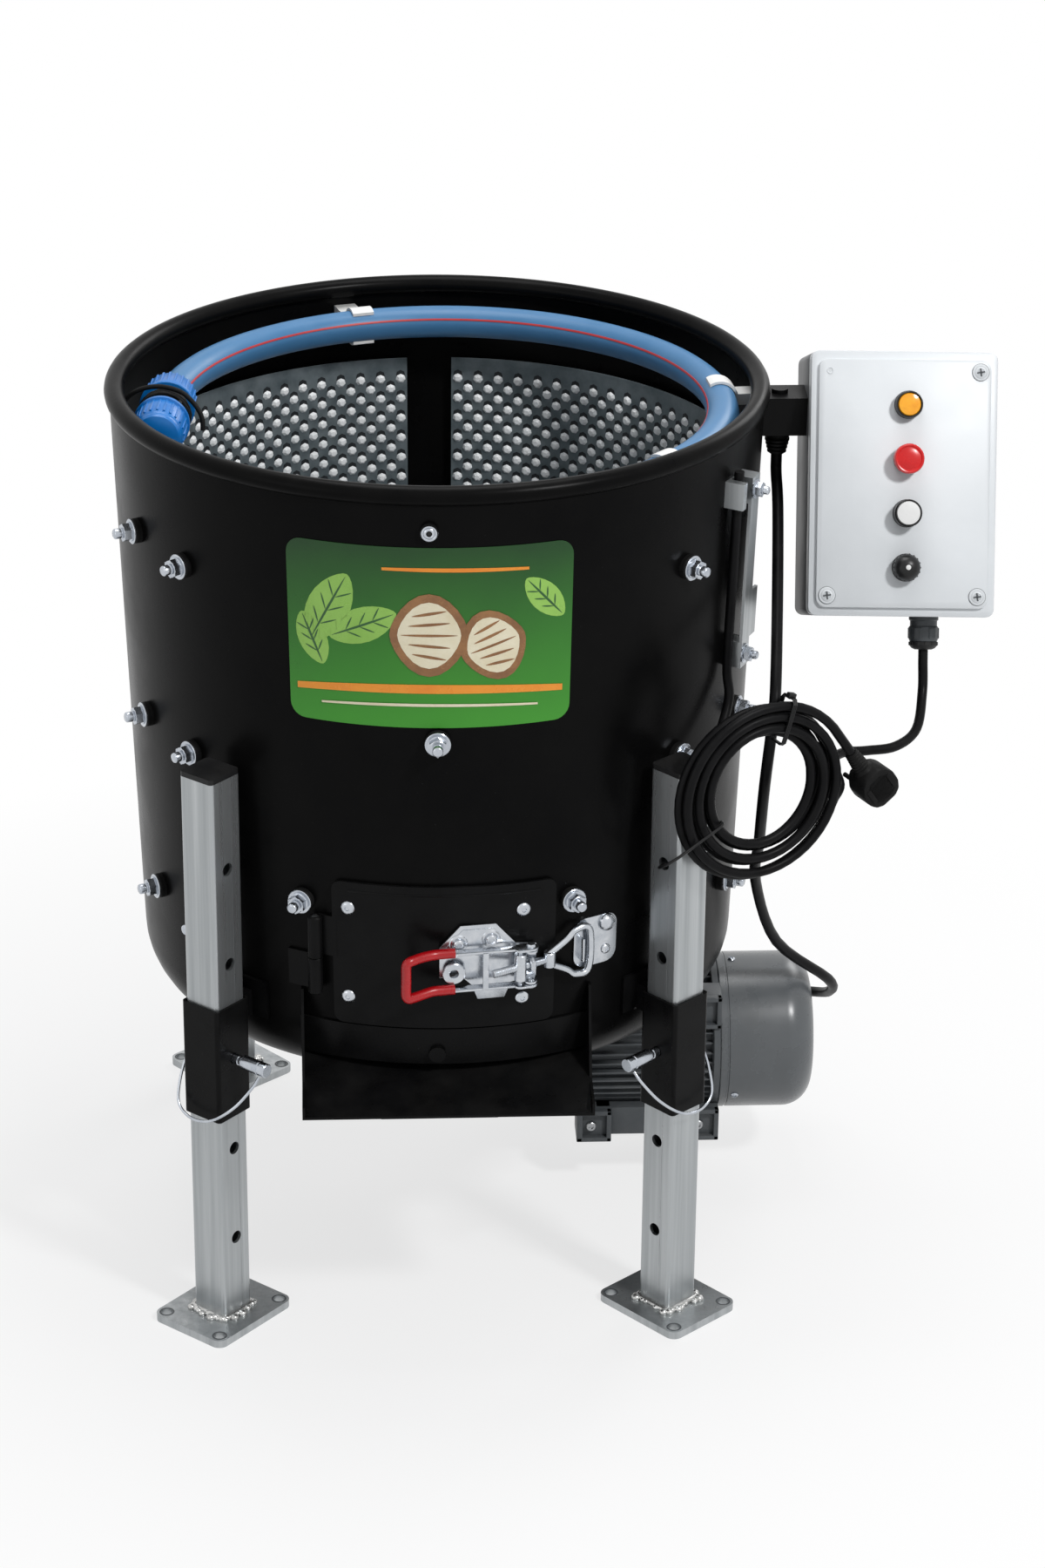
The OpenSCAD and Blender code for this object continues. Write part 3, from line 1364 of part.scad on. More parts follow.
guard_x1 = -7;
guard_x2 = 11;
clamp_x1 = -28;
clamp_x2 = -20;
clamp_half = 13;
clamp_back = 1.8;
flag_x2 = 24;
flag_z1 = 14;
flag_z2 = 62;
bond_a = guard_a - 2.6;
bond_off = 7.4;
bond_zs = [guard_z2 + 20, guard_z2 - 26, guard_z2 - 86, guard_z1 - 8];
guard_nut_d = 15;
guard_nut_h = 7;
guard_stud = 7;

module at_guard() {
  rotate([0, 0, guard_a]) translate([0, -wall_r(guard_z1), guard_z1])
    rotate([wall_lean, 0, 0]) children();
}

module guard_strip() {
  l = guard_z2 - guard_z1;
  color("#a3a8ab") difference() {
    at_guard() {
      translate([guard_x1, -guard_off - guard_t, -clamp_half])
        cube([guard_x2 - guard_x1, guard_t, l + 2 * clamp_half]);
      for (z = [0, l]) translate([guard_x1, -guard_off - guard_t, z - clamp_half])
        cube([guard_x2 - guard_x1, guard_off + 2 * guard_t, 2 * clamp_half]);
      translate([clamp_x1, -clamp_back, l - clamp_half])
        cube([guard_x2 - clamp_x1, clamp_back + guard_t, 2 * clamp_half]);
      translate([clamp_x1, -guard_off - guard_t, l - clamp_half])
        cube([clamp_x2 - clamp_x1, guard_off + 2 * guard_t, 2 * clamp_half]);
      translate([guard_x1, -guard_off - guard_t, flag_z1])
        cube([flag_x2 - guard_x1, guard_t, flag_z2 - flag_z1]);
    }
    drum_core(seat_fit);
    for (z = [guard_z1, guard_z2]) on_wall(guard_a, z)
      out_cyl(guard_bolt_d + 2 * seat_fit, -over, 2 * guard_off);
  }
}

module guard_bolts() {
  color("#c6cace") for (z = [guard_z1, guard_z2]) on_wall(guard_a, z) {
    out_cyl(guard_bolt_d, -wall_t - bolt_air, guard_off + guard_t + air + guard_nut_h + guard_stud);
    out_cyl(guard_nut_d, -wall_t - bolt_air - frame_head_h, -wall_t - bolt_air);
    translate([0, -guard_off - guard_t - air, 0]) rotate([90, 0, 0])
      cylinder(d = guard_nut_d, h = guard_nut_h, $fn = 6);
  }
}

lead_step = 14;
gland_in = 6;
gland_step = 12;
plug_neck = 24;
plug_neck_d = 16;
plug_root_d = 12;
contact_gap = 19;
tie_a = 73;
tie_in = 48.6;
tie_out = 92.6;
tie_y = 10.6;
strap_d = 3;
cable_end_x = 284.3;

module mains_lead() {
  g = [gland_x, gland_y, -box_l / 2 - gland_l];
  p = coil_path()[0];
  color("#151515") tube(route(concat([box_point(g + [0, 0, gland_in]), box_point(g - [0, 0, gland_step])],
    lead_route, [to_world(p - lead_step * coil_in()), to_world(p - air * coil_in())]), 4),
    cable_d, tube_sides);
}

module mains_coil() {
  color("#151515") at_coil() tube(coil_path(), cable_d, coil_sides);
}

module mains_plug() {
  p = coil_path()[len(coil_path()) - 1];
  color("#1a1a1a") at_coil() translate(p) rotate([0, 180 - coil_a2, 0]) {
    translate([0, 0, air]) cylinder(d1 = plug_root_d, d2 = plug_neck_d, h = plug_neck);
    translate([0, 0, plug_neck]) cylinder(d1 = plug_neck_d, d2 = plug_d - 2 * box_t, h = plug_d / 2);
    translate([0, -plug_d / 2, plug_neck + plug_d / 2]) rotate([-90, 0, 0]) cylinder(d = plug_d, h = plug_l);
    for (m = [-1, 1]) translate([m * contact_gap / 2, plug_l - plug_d / 2 - over, plug_neck + plug_d / 2])
      rotate([-90, 0, 0]) cylinder(d = contact_d, h = contact_l);
  }
}

module motor_cable() {
  start = [boot_x, 0, arm_box_z - arm_box_h / 2 - boot_l - air];
  color("#151515") tube(route(concat([start], motor_route, [[cable_end_x, term_gland_y, motor_z]]), 4),
    motor_cable_d, tube_sides);
}

module bonding_lead() {
  color("#151515") tube(route(concat([for (z = bond_zs) wall_point(bond_a, bond_off, z)], bond_route,
    [bond_end]), 4), cable_d, tube_sides);
}

module coil_ties() {
  color("#101010") {
    at_coil() rotate([0, -tie_a, 0]) difference() {
      translate([tie_in - tie_t, -tie_y - tie_t, -tie_w / 2])
        cube([tie_out - tie_in + 2 * tie_t, 2 * tie_y + 2 * tie_t, tie_w]);
      translate([tie_in, -tie_y, -tie_w]) cube([tie_out - tie_in, 2 * tie_y, 2 * tie_w]);
    }
    tube(route(strap_route, 4), strap_d, wire_sides);
  }
}

drum();
liner_sides();
liner_front();
liner_bolts();
liner_bushes();
label_plate();
spray_pipe();
coupling_body();
coupling_nuts();
pipe_clips();
hinge_leaf();
hinge_pin();
catch_plate();
catch_rivets();
chute();
frame_bolts();
base_plate();
leg_sleeves();
leg_tubes();
leg_caps();
gearbox_housing();
motor_frame();
motor_cowl();
terminal_box();
box_base();
box_lid();
lid_screws();
control_bezels();
lamp_lens();
box_gland();
box_arm();
cable_boot();
guard_strip();
guard_bolts();
mains_lead();
mains_coil();
mains_plug();
motor_cable();
bonding_lead();
coil_ties();
pin_wires();
door_panel();
door_rivets();
latch_base();
latch_bolts();
latch_lever();
latch_grip();
latch_hook();
lock_pin_fl();
lock_pin_fr();
lock_pin_rr();
lock_pin_rl();
red_button();
white_button();
selector_knob();
rotor_disc();
output_shaft();
worm_wheel();
motor_shaft();
motor_fan();
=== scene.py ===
"""Looks of the walnut huller: finishes, modelled details, cables and the studio.

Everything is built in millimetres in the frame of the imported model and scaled
to metres when a piece is finished. Angles round the drum are in degrees from
the front, positive to the right.
"""
import json
import logging
import math
import random
from dataclasses import dataclass
from enum import Enum
from typing import Callable, Optional, Sequence

import bmesh
import bpy
from bmesh.types import BMesh
from mathutils import Matrix, Vector


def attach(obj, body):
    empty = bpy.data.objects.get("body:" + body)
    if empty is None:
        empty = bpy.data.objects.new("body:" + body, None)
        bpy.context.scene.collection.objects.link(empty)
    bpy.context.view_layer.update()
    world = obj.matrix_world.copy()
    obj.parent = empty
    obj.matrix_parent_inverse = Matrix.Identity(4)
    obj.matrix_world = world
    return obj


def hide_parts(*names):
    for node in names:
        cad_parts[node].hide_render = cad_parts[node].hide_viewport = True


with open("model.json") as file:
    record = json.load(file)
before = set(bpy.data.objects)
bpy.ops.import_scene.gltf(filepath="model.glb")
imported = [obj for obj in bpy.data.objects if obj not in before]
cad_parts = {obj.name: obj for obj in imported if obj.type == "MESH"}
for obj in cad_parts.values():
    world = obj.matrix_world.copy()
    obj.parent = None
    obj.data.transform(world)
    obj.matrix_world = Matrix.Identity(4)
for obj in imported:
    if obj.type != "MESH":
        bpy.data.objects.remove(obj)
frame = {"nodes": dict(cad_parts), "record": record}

LOG = logging.getLogger("huller")
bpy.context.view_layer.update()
MM = 0.001
Point = tuple[float, float, float]
Profile = Sequence[tuple[float, float]]
Colour = tuple[float, float, float]
WALL_LOW = 264.0
WALL_RISE = 628.0
WALL_R = 294.5
WALL_FLARE = 21.0
DUST: Colour = (0.42, 0.40, 0.36)
COAT_ROUGH = 0.12


def new_group(name: str, inputs: Sequence[tuple[str, str, object]],
              outputs: Sequence[tuple[str, str]]) -> bpy.types.NodeTree:
    """Make an empty shader group with its sockets.

    Args:
        name: name of the group.
        inputs: socket name, socket type and default of each input.
        outputs: socket name and socket type of each output.

    Returns:
        The group, holding its input and output nodes.
    """
    tree = bpy.data.node_groups.new(name, "ShaderNodeTree")
    for label, kind, default in inputs:
        socket = tree.interface.new_socket(name=label, in_out="INPUT", socket_type=kind)
        socket.default_value = default
    for label, kind in outputs:
        tree.interface.new_socket(name=label, in_out="OUTPUT", socket_type=kind)
    tree.nodes.new("NodeGroupInput").name = "in"
    tree.nodes.new("NodeGroupOutput").name = "out"
    return tree


def stretched(tree: bpy.types.NodeTree, texture: bpy.types.Node) -> None:
    """Lead places on the object to a texture, by the group's Stretch and Scale."""
    nodes, links = tree.nodes, tree.links
    source = nodes["in"].outputs
    place = nodes.new("ShaderNodeTexCoord")
    pull = nodes.new("ShaderNodeVectorMath")
    pull.operation = "MULTIPLY"
    links.new(place.outputs["Object"], pull.inputs[0])
    links.new(source["Stretch"], pull.inputs[1])
    links.new(pull.outputs[0], texture.inputs["Vector"])
    links.new(source["Scale"], texture.inputs["Scale"])


def mottle_group() -> bpy.types.NodeTree:
    """Return the group that varies a surface in soft patches or streaks."""
    tree = new_group("mottle", [("Scale", "NodeSocketFloat", 20.0),
                                ("Stretch", "NodeSocketVector", (1.0, 1.0, 1.0)),
                                ("Low", "NodeSocketFloat", 0.0), ("High", "NodeSocketFloat", 1.0)],
                     [("Mask", "NodeSocketFloat"), ("Level", "NodeSocketFloat")])
    nodes, links = tree.nodes, tree.links
    noise = nodes.new("ShaderNodeTexNoise")
    noise.inputs["Detail"].default_value = 5.0
    noise.inputs["Roughness"].default_value = 0.62
    spread = nodes.new("ShaderNodeMapRange")
    spread.inputs["From Min"].default_value = 0.32
    spread.inputs["From Max"].default_value = 0.68
    level = nodes.new("ShaderNodeMapRange")
    source, sink = nodes["in"].outputs, nodes["out"].inputs
    stretched(tree, noise)
    links.new(noise.outputs["Fac"], spread.inputs["Value"])
    links.new(spread.outputs["Result"], level.inputs["Value"])
    links.new(source["Low"], level.inputs["To Min"])
    links.new(source["High"], level.inputs["To Max"])
    links.new(spread.outputs["Result"], sink["Mask"])
    links.new(level.outputs["Result"], sink["Level"])
    return tree


def fleck_group() -> bpy.types.NodeTree:
    """Return the group that scatters small specks, scratches or zinc spangle."""
    tree = new_group("fleck", [("Scale", "NodeSocketFloat", 200.0),
                               ("Stretch", "NodeSocketVector", (1.0, 1.0, 1.0)),
                               ("Size", "NodeSocketFloat", 0.2)],
                     [("Mask", "NodeSocketFloat"), ("Tint", "NodeSocketFloat")])
    nodes, links = tree.nodes, tree.links
    cells = nodes.new("ShaderNodeTexVoronoi")
    edge = nodes.new("ShaderNodeMath")
    edge.operation = "LESS_THAN"
    split = nodes.new("ShaderNodeSeparateColor")
    source, sink = nodes["in"].outputs, nodes["out"].inputs
    stretched(tree, cells)
    links.new(cells.outputs["Distance"], edge.inputs[0])
    links.new(source["Size"], edge.inputs[1])
    links.new(cells.outputs["Color"], split.inputs["Color"])
    links.new(edge.outputs[0], sink["Mask"])
    links.new(split.outputs["Red"], sink["Tint"])
    return tree


def grain_group() -> bpy.types.NodeTree:
    """Return the group that gives a fine height, as orange peel or a moulded skin has."""
    tree = new_group("grain", [("Scale", "NodeSocketFloat", 400.0),
                               ("Stretch", "NodeSocketVector", (1.0, 1.0, 1.0))],
                     [("Height", "NodeSocketFloat")])
    nodes, links = tree.nodes, tree.links
    noise = nodes.new("ShaderNodeTexNoise")
    noise.inputs["Detail"].default_value = 3.0
    stretched(tree, noise)
    links.new(noise.outputs["Fac"], nodes["out"].inputs["Height"])
    return tree


def dust_group() -> bpy.types.NodeTree:
    """Return the group that settles pale dust on faces that look up."""
    tree = new_group("dust", [("Amount", "NodeSocketFloat", 0.2), ("Scale", "NodeSocketFloat", 30.0)],
                     [("Mask", "NodeSocketFloat")])
    nodes, links = tree.nodes, tree.links
    place = nodes.new("ShaderNodeTexCoord")
    shape = nodes.new("ShaderNodeNewGeometry")
    split = nodes.new("ShaderNodeSeparateXYZ")
    up = nodes.new("ShaderNodeMapRange")
    up.inputs["From Min"].default_value = 0.1
    up.inputs["From Max"].default_value = 1.0
    up.inputs["To Min"].default_value = 0.12
    noise = nodes.new("ShaderNodeTexNoise")
    noise.inputs["Detail"].default_value = 6.0
    lift = nodes.new("ShaderNodeMapRange")
    lift.inputs["From Min"].default_value = 0.42
    lift.inputs["From Max"].default_value = 0.72
    both = nodes.new("ShaderNodeMath")
    both.operation = "MULTIPLY"
    scaled = nodes.new("ShaderNodeMath")
    scaled.operation = "MULTIPLY"
    source, sink = nodes["in"].outputs, nodes["out"].inputs
    links.new(shape.outputs["Normal"], split.inputs[0])
    links.new(split.outputs["Z"], up.inputs["Value"])
    links.new(place.outputs["Object"], noise.inputs["Vector"])
    links.new(source["Scale"], noise.inputs["Scale"])
    links.new(noise.outputs["Fac"], lift.inputs["Value"])
    links.new(up.outputs["Result"], both.inputs[0])
    links.new(lift.outputs["Result"], both.inputs[1])
    links.new(both.outputs[0], scaled.inputs[0])
    links.new(source["Amount"], scaled.inputs[1])
    links.new(scaled.outputs[0], sink["Mask"])
    return tree


class Effects:
    """The shared shader groups, each built once."""

    def __init__(self) -> None:
        """Build the groups."""
        self.mottle = mottle_group()
        self.fleck = fleck_group()
        self.grain = grain_group()
        self.dust = dust_group()


EFFECTS = Effects()


@dataclass(frozen=True)
class Finish:
    """One surface finish, from its main colour to its finest relief."""

    name: str
    colour: Colour
    second: Colour
    rough: tuple[float, float]
    metal: float = 0.0
    scale: float = 18.0
    stretch: Point = (1.0, 1.0, 1.0)
    relief: float = 0.05
    relief_scale: float = 500.0
    relief_stretch: Point = (1.0, 1.0, 1.0)
    depth: float = 0.0005
    fleck: float = 0.0
    fleck_colour: Colour = (0.5, 0.5, 0.5)
    fleck_scale: float = 160.0
    fleck_size: float = 0.2
    fleck_stretch: Point = (1.0, 1.0, 1.0)
    dust: float = 0.0
    coat: float = 0.0
    specular: float = 0.5
    # Strength of a painted glow: light given off by a part that is not a lit lamp.
    painted_glow: float = 0.0
    clear: float = 0.0

    def build(self) -> bpy.types.Material:
        """Return the finish's material, made on first use."""
        title = self.name + "_finish"
        known = bpy.data.materials.get(title)
        if known:
            return known
        material = bpy.data.materials.new(title)
        material.use_nodes = True
        nodes, links = material.node_tree.nodes, material.node_tree.links
        shader = nodes["Principled BSDF"]
        shader.inputs["Metallic"].default_value = self.metal
        shader.inputs["Specular IOR Level"].default_value = self.specular
        shader.inputs["Coat Weight"].default_value = self.coat
        shader.inputs["Coat Roughness"].default_value = COAT_ROUGH
        shader.inputs["Transmission Weight"].default_value = self.clear
        patch = self.place(nodes, EFFECTS.mottle, Scale=self.scale, Stretch=self.stretch,
                           Low=self.rough[0], High=self.rough[1])
        links.new(patch.outputs["Level"], shader.inputs["Roughness"])
        colour = self.mix(nodes, links, patch.outputs["Mask"], self.colour, self.second)
        if self.fleck > 0.0:
            spots = self.place(nodes, EFFECTS.fleck, Scale=self.fleck_scale, Size=self.fleck_size,
                               Stretch=self.fleck_stretch)
            share = nodes.new("ShaderNodeMath")
            share.operation = "MULTIPLY"
            tint = nodes.new("ShaderNodeMath")
            tint.operation = "MULTIPLY"
            tint.inputs[1].default_value = self.fleck
            links.new(spots.outputs["Mask"], share.inputs[0])
            links.new(spots.outputs["Tint"], tint.inputs[0])
            links.new(tint.outputs[0], share.inputs[1])
            colour = self.mix(nodes, links, share.outputs[0], colour, self.fleck_colour)
        if self.dust > 0.0:
            dirt = self.place(nodes, EFFECTS.dust, Amount=self.dust)
            colour = self.mix(nodes, links, dirt.outputs["Mask"], colour, DUST)
        links.new(colour, shader.inputs["Base Color"])
        # Painted glow: the surface's colour is given off as light.
        if self.painted_glow > 0.0:
            links.new(colour, shader.inputs["Emission Color"])
            shader.inputs["Emission Strength"].default_value = self.painted_glow
        if self.relief > 0.0:
            skin = self.place(nodes, EFFECTS.grain, Scale=self.relief_scale, Stretch=self.relief_stretch)
            bump = nodes.new("ShaderNodeBump")
            bump.inputs["Strength"].default_value = self.relief
            bump.inputs["Distance"].default_value = self.depth
            links.new(skin.outputs["Height"], bump.inputs["Height"])
            links.new(bump.outputs["Normal"], shader.inputs["Normal"])
        return material

    @staticmethod
    def place(nodes: bpy.types.Nodes, tree: bpy.types.NodeTree, **values: object) -> bpy.types.Node:
        """Place a shared group in a material.

        Args:
            nodes: the material's nodes.
            tree: the group.
            values: the group's inputs by name.

        Returns:
            The group node.
        """
        node = nodes.new("ShaderNodeGroup")
        node.node_tree = tree
        for name, value in values.items():
            node.inputs[name].default_value = value
        return node

    @staticmethod
    def mix(nodes: bpy.types.Nodes, links: bpy.types.NodeLinks, mask: bpy.types.NodeSocket,
            first: object, second: Colour) -> bpy.types.NodeSocket:
        """Mix a colour or a colour socket with a second colour.

        Args:
            nodes: the material's nodes.
            links: the material's links.
            mask: socket that says where the second colour shows.
            first: colour, or the socket that gives it.
            second: the other colour.

        Returns:
            The socket of the mixed colour.
        """
        node = nodes.new("ShaderNodeMix")
        node.data_type = "RGBA"
        links.new(mask, node.inputs["Factor"])
        if isinstance(first, bpy.types.NodeSocket):
            links.new(first, node.inputs["A"])
        else:
            node.inputs["A"].default_value = (*first, 1.0)
        node.inputs["B"].default_value = (*second, 1.0)
        return node.outputs["Result"]


DRUM_BLACK = Finish("drum_black_paint", (0.0022, 0.0022, 0.0024), (0.0040, 0.0039, 0.0038), (0.24, 0.36),
                    scale=9.0, relief=0.08, relief_scale=260.0, depth=0.0006, specular=0.045, dust=0.008,
                    fleck=0.05, fleck_scale=90.0, fleck_size=0.03)
FRAME_BLACK = Finish("frame_black_paint", (0.0034, 0.0034, 0.0036), (0.0060, 0.0060, 0.0062), (0.24, 0.40),
                     scale=25.0, relief=0.12, relief_scale=420.0, depth=0.0006, specular=0.075, dust=0.012,
                     fleck=0.10, fleck_scale=120.0, fleck_size=0.035)
GALVANISED = Finish("galvanised_tube", (0.50, 0.52, 0.53), (0.33, 0.35, 0.36), (0.26, 0.42), metal=0.85,
                    scale=75.0, stretch=(1.0, 1.0, 0.02), relief=0.04, relief_scale=520.0,
                    relief_stretch=(1.0, 1.0, 0.03), depth=0.0005)
ZINC = Finish("bright_zinc", (0.54, 0.57, 0.61), (0.42, 0.45, 0.50), (0.18, 0.28), metal=1.0, scale=60.0,
              relief=0.02, relief_scale=900.0, depth=0.0003)
LATCH_ZINC = Finish("latch_zinc", (0.58, 0.60, 0.63), (0.48, 0.51, 0.55), (0.20, 0.30), metal=1.0, scale=90.0,
                    relief=0.03, relief_scale=1200.0, depth=0.0003)
# Liner teeth: near-white and not metallic. This is the steel's light tone with a painted glint that shows
# under any lamp.
LINER_STEEL_AND_GLINT = Finish("liner_steel", (0.97, 0.98, 0.98), (0.90, 0.92, 0.93), (0.24, 0.36), metal=0.0,
                     scale=40.0, relief=0.05, relief_scale=600.0, depth=0.0004)
LINER_SHEET = Finish("liner_sheet", (0.115, 0.145, 0.160), (0.20, 0.235, 0.25), (0.30, 0.46), metal=0.4,
                     scale=50.0, relief=0.06, relief_scale=600.0, depth=0.0004)
LINER_HOLE = Finish("liner_hole", (0.006, 0.008, 0.010), (0.012, 0.015, 0.018), (0.5, 0.6), scale=60.0,
                    relief=0.03)
PIPE_BLUE = Finish("pipe_blue", (0.050, 0.168, 0.335), (0.058, 0.182, 0.36), (0.36, 0.46), scale=30.0,
                   relief=0.05, relief_scale=240.0, depth=0.0005, specular=0.35, dust=0.03)
PIPE_RED = Finish("pipe_red_line", (0.42, 0.012, 0.02), (0.48, 0.03, 0.03), (0.4, 0.5), scale=60.0,
                  relief=0.03)
NUT_BLUE = Finish("fitting_blue", (0.0, 0.135, 0.45), (0.0, 0.155, 0.50), (0.28, 0.40), scale=40.0,
                  relief=0.05, relief_scale=700.0)
FIT_BLACK = Finish("fitting_black", (0.007, 0.007, 0.0075), (0.012, 0.012, 0.0125), (0.38, 0.52), scale=40.0,
                   relief=0.10, relief_scale=800.0, specular=0.25, dust=0.02)
PLASTIC_WHITE = Finish("clip_white", (0.80, 0.80, 0.79), (0.72, 0.72, 0.70), (0.3, 0.42), scale=50.0,
                       relief=0.03)
GRIP_RED = Finish("grip_red_vinyl", (0.40, 0.002, 0.005), (0.47, 0.004, 0.008), (0.22, 0.34), scale=60.0,
                  relief=0.05, relief_scale=500.0)
BOX_GREY = Finish("box_grey_paint", (0.63, 0.655, 0.675), (0.67, 0.695, 0.715), (0.36, 0.46), scale=14.0,
                  relief=0.08, relief_scale=700.0, depth=0.0004, fleck=0.12, fleck_colour=(0.3, 0.3, 0.3),
                  fleck_scale=70.0, fleck_size=0.03)
# Box body: the lid's grey plastic darkened into painted shade, so its sides read as turned away from the
# light.
BOX_PAINTED_SHADE = Finish("box_side_paint", (0.105, 0.11, 0.115), (0.15, 0.155, 0.16), (0.4, 0.5), scale=14.0,
                  relief=0.08, relief_scale=700.0, depth=0.0004, specular=0.3)
MOTOR_GREY = Finish("motor_grey_casting", (0.066, 0.073, 0.079), (0.088, 0.096, 0.102), (0.36, 0.52),
                    scale=30.0, relief=0.22, relief_scale=380.0, depth=0.0007, specular=0.35, dust=0.05)
COWL_GREY = Finish("motor_cowl_paint", (0.090, 0.098, 0.104), (0.108, 0.117, 0.124), (0.20, 0.32), scale=12.0,
                   relief=0.06, relief_scale=220.0, specular=0.5, dust=0.05, fleck=0.35,
                   fleck_colour=(0.30, 0.31, 0.32), fleck_scale=26.0, fleck_size=0.03,
                   fleck_stretch=(0.4, 1.0, 2.2))
GEAR_GREY = Finish("gearbox_casting", (0.045, 0.050, 0.054), (0.062, 0.067, 0.072), (0.42, 0.6), scale=30.0,
                   relief=0.3, relief_scale=300.0, depth=0.0008, specular=0.3, dust=0.04)
STEEL = Finish("machined_steel", (0.46, 0.47, 0.48), (0.34, 0.35, 0.36), (0.25, 0.45), metal=1.0, scale=30.0,
               relief=0.08, relief_scale=500.0)
BRONZE = Finish("bronze", (0.52, 0.36, 0.14), (0.42, 0.28, 0.10), (0.3, 0.45), metal=1.0, scale=40.0,
                relief=0.08)
KNOB_BLACK = Finish("control_black", (0.006, 0.006, 0.0065), (0.010, 0.010, 0.0105), (0.26, 0.40), scale=80.0,
                    relief=0.06, relief_scale=900.0, specular=0.3)
BUTTON_RED = Finish("button_red", (0.56, 0.002, 0.003), (0.62, 0.004, 0.005), (0.22, 0.32), scale=70.0,
                    relief=0.02)
BUTTON_WHITE = Finish("button_white", (0.78, 0.78, 0.77), (0.72, 0.72, 0.71), (0.24, 0.34), scale=70.0,
                      relief=0.02)
# The amber lens gives off a little light from its own colour: a painted glow, since the lamp is not switched
# on.
LENS_AMBER = Finish("lens_amber", (0.78, 0.29, 0.0), (0.90, 0.40, 0.01), (0.12, 0.2), scale=120.0,
                    relief=0.10, relief_scale=420.0, coat=0.4, painted_glow=0.12)
RUBBER = Finish("rubber_black", (0.006, 0.006, 0.006), (0.011, 0.011, 0.011), (0.46, 0.62), scale=50.0,
                relief=0.15, relief_scale=700.0, specular=0.09, dust=0.015)
CABLE = Finish("cable_black", (0.0045, 0.0045, 0.005), (0.008, 0.008, 0.0085), (0.32, 0.44), scale=45.0,
               relief=0.08, relief_scale=600.0, specular=0.07, dust=0.01)
WELD = Finish("weld_bead", (0.66, 0.66, 0.65), (0.40, 0.40, 0.39), (0.2, 0.36), metal=0.9, scale=120.0,
              relief=0.2, relief_scale=260.0, depth=0.0008)
GRIT = Finish("floor_white", (0.86, 0.86, 0.86), (0.88, 0.88, 0.88), (0.6, 0.7), scale=3.0, relief=0.0)


def wall_radius(z: float) -> float:
    """Return the outer radius of the drum wall at a height."""
    return WALL_R + WALL_FLARE * (z - WALL_LOW) / WALL_RISE


def wall_spot(angle: float, z: float, off: float = 0.0) -> Vector:
    """Return the point on the wall at an angle and height, moved outwards by off."""
    a = math.radians(angle)
    r = wall_radius(z) + off
    return Vector((r * math.sin(a), -r * math.cos(a), z))


def wall_out(angle: float, z: float, off: float = 0.0) -> Matrix:
    """Return the frame on the wall: X to the right, Y up, Z straight out."""
    a = math.radians(angle)
    turn = Matrix(((math.cos(a), 0.0, math.sin(a)), (math.sin(a), 0.0, -math.cos(a)), (0.0, 1.0, 0.0)))
    return Matrix.Translation(wall_spot(angle, z, off)) @ turn.to_4x4()


def lathe(bm: BMesh, profile: Profile, steps: int, place: Matrix, angle: float = 360.0) -> list:
    """Spin a profile of radius and height round the Z axis of a frame.

    Args:
        bm: mesh to add to.
        profile: radius and height of each point.
        steps: number of steps round.
        place: frame of the spun shape.
        angle: how far to spin, in degrees.

    Returns:
        The new vertices.
    """
    before = set(bm.verts)
    line = [bm.verts.new((r, 0.0, h)) for r, h in profile]
    edges = [bm.edges.new(pair) for pair in zip(line, line[1:])]
    bmesh.ops.spin(bm, geom=line + edges, cent=(0, 0, 0), axis=(0, 0, 1), angle=math.radians(angle),
                   steps=steps, use_merge=angle == 360.0)
    fresh = [v for v in bm.verts if v not in before]
    bmesh.ops.remove_doubles(bm, verts=fresh, dist=0.0005)
    fresh = [v for v in bm.verts if v not in before]
    faces = list({f for v in fresh for f in v.link_faces})
    bmesh.ops.recalc_face_normals(bm, faces=faces)
    bmesh.ops.transform(bm, matrix=place, verts=fresh)
    return fresh


def spin_copies(bm: BMesh, verts: Sequence[bmesh.types.BMVert], angle: float, steps: int) -> None:
    """Repeat a shape round the Z axis.

    Args:
        bm: mesh to add to.
        verts: all the vertices of the shape.
        angle: turn of the last copy, in degrees.
        steps: number of copies.
    """
    edges = {e for v in verts for e in v.link_edges}
    faces = {f for v in verts for f in v.link_faces}
    bmesh.ops.spin(bm, geom=[*verts, *edges, *faces], cent=(0, 0, 0), axis=(0, 0, 1),
                   angle=math.radians(angle), steps=steps, use_duplicate=True)


def arc(x: float, y: float, r: float, angles: Sequence[float]) -> list[tuple[float, float]]:
    """Return the points of a circle at some angles, in degrees from its right."""
    return [(x + r * math.cos(math.radians(a)), y + r * math.sin(math.radians(a))) for a in angles]


def prism(bm: BMesh, outline: Profile, height: float, place: Matrix, soft: float = 0.0) -> list:
    """Extrude a flat outline along the Z axis of a frame.

    Args:
        bm: mesh to add to.
        outline: X and Y of the corners, in order.
        height: how far to extrude.
        place: frame of the outline.
        soft: width of the rounding on all edges, or zero.

    Returns:
        The new vertices.
    """
    before = set(bm.verts)
    corners = [bm.verts.new((x, y, 0.0)) for x, y in outline]
    base = bm.faces.new(corners)
    raised = bmesh.ops.extrude_face_region(bm, geom=[base])["geom"]
    bmesh.ops.translate(bm, vec=(0, 0, height), verts=[g for g in raised
                                                       if isinstance(g, bmesh.types.BMVert)])
    fresh = [v for v in bm.verts if v not in before]
    faces = list({f for v in fresh for f in v.link_faces})
    bmesh.ops.recalc_face_normals(bm, faces=faces)
    if soft > 0.0:
        edges = list({e for v in fresh for e in v.link_edges})
        bmesh.ops.bevel(bm, geom=edges, offset=soft, offset_type="OFFSET", affect="EDGES", segments=2,
                        profile=0.5, material=-1, clamp_overlap=True)
    fresh = [v for v in bm.verts if v not in before]
    bmesh.ops.transform(bm, matrix=place, verts=fresh)
    return fresh


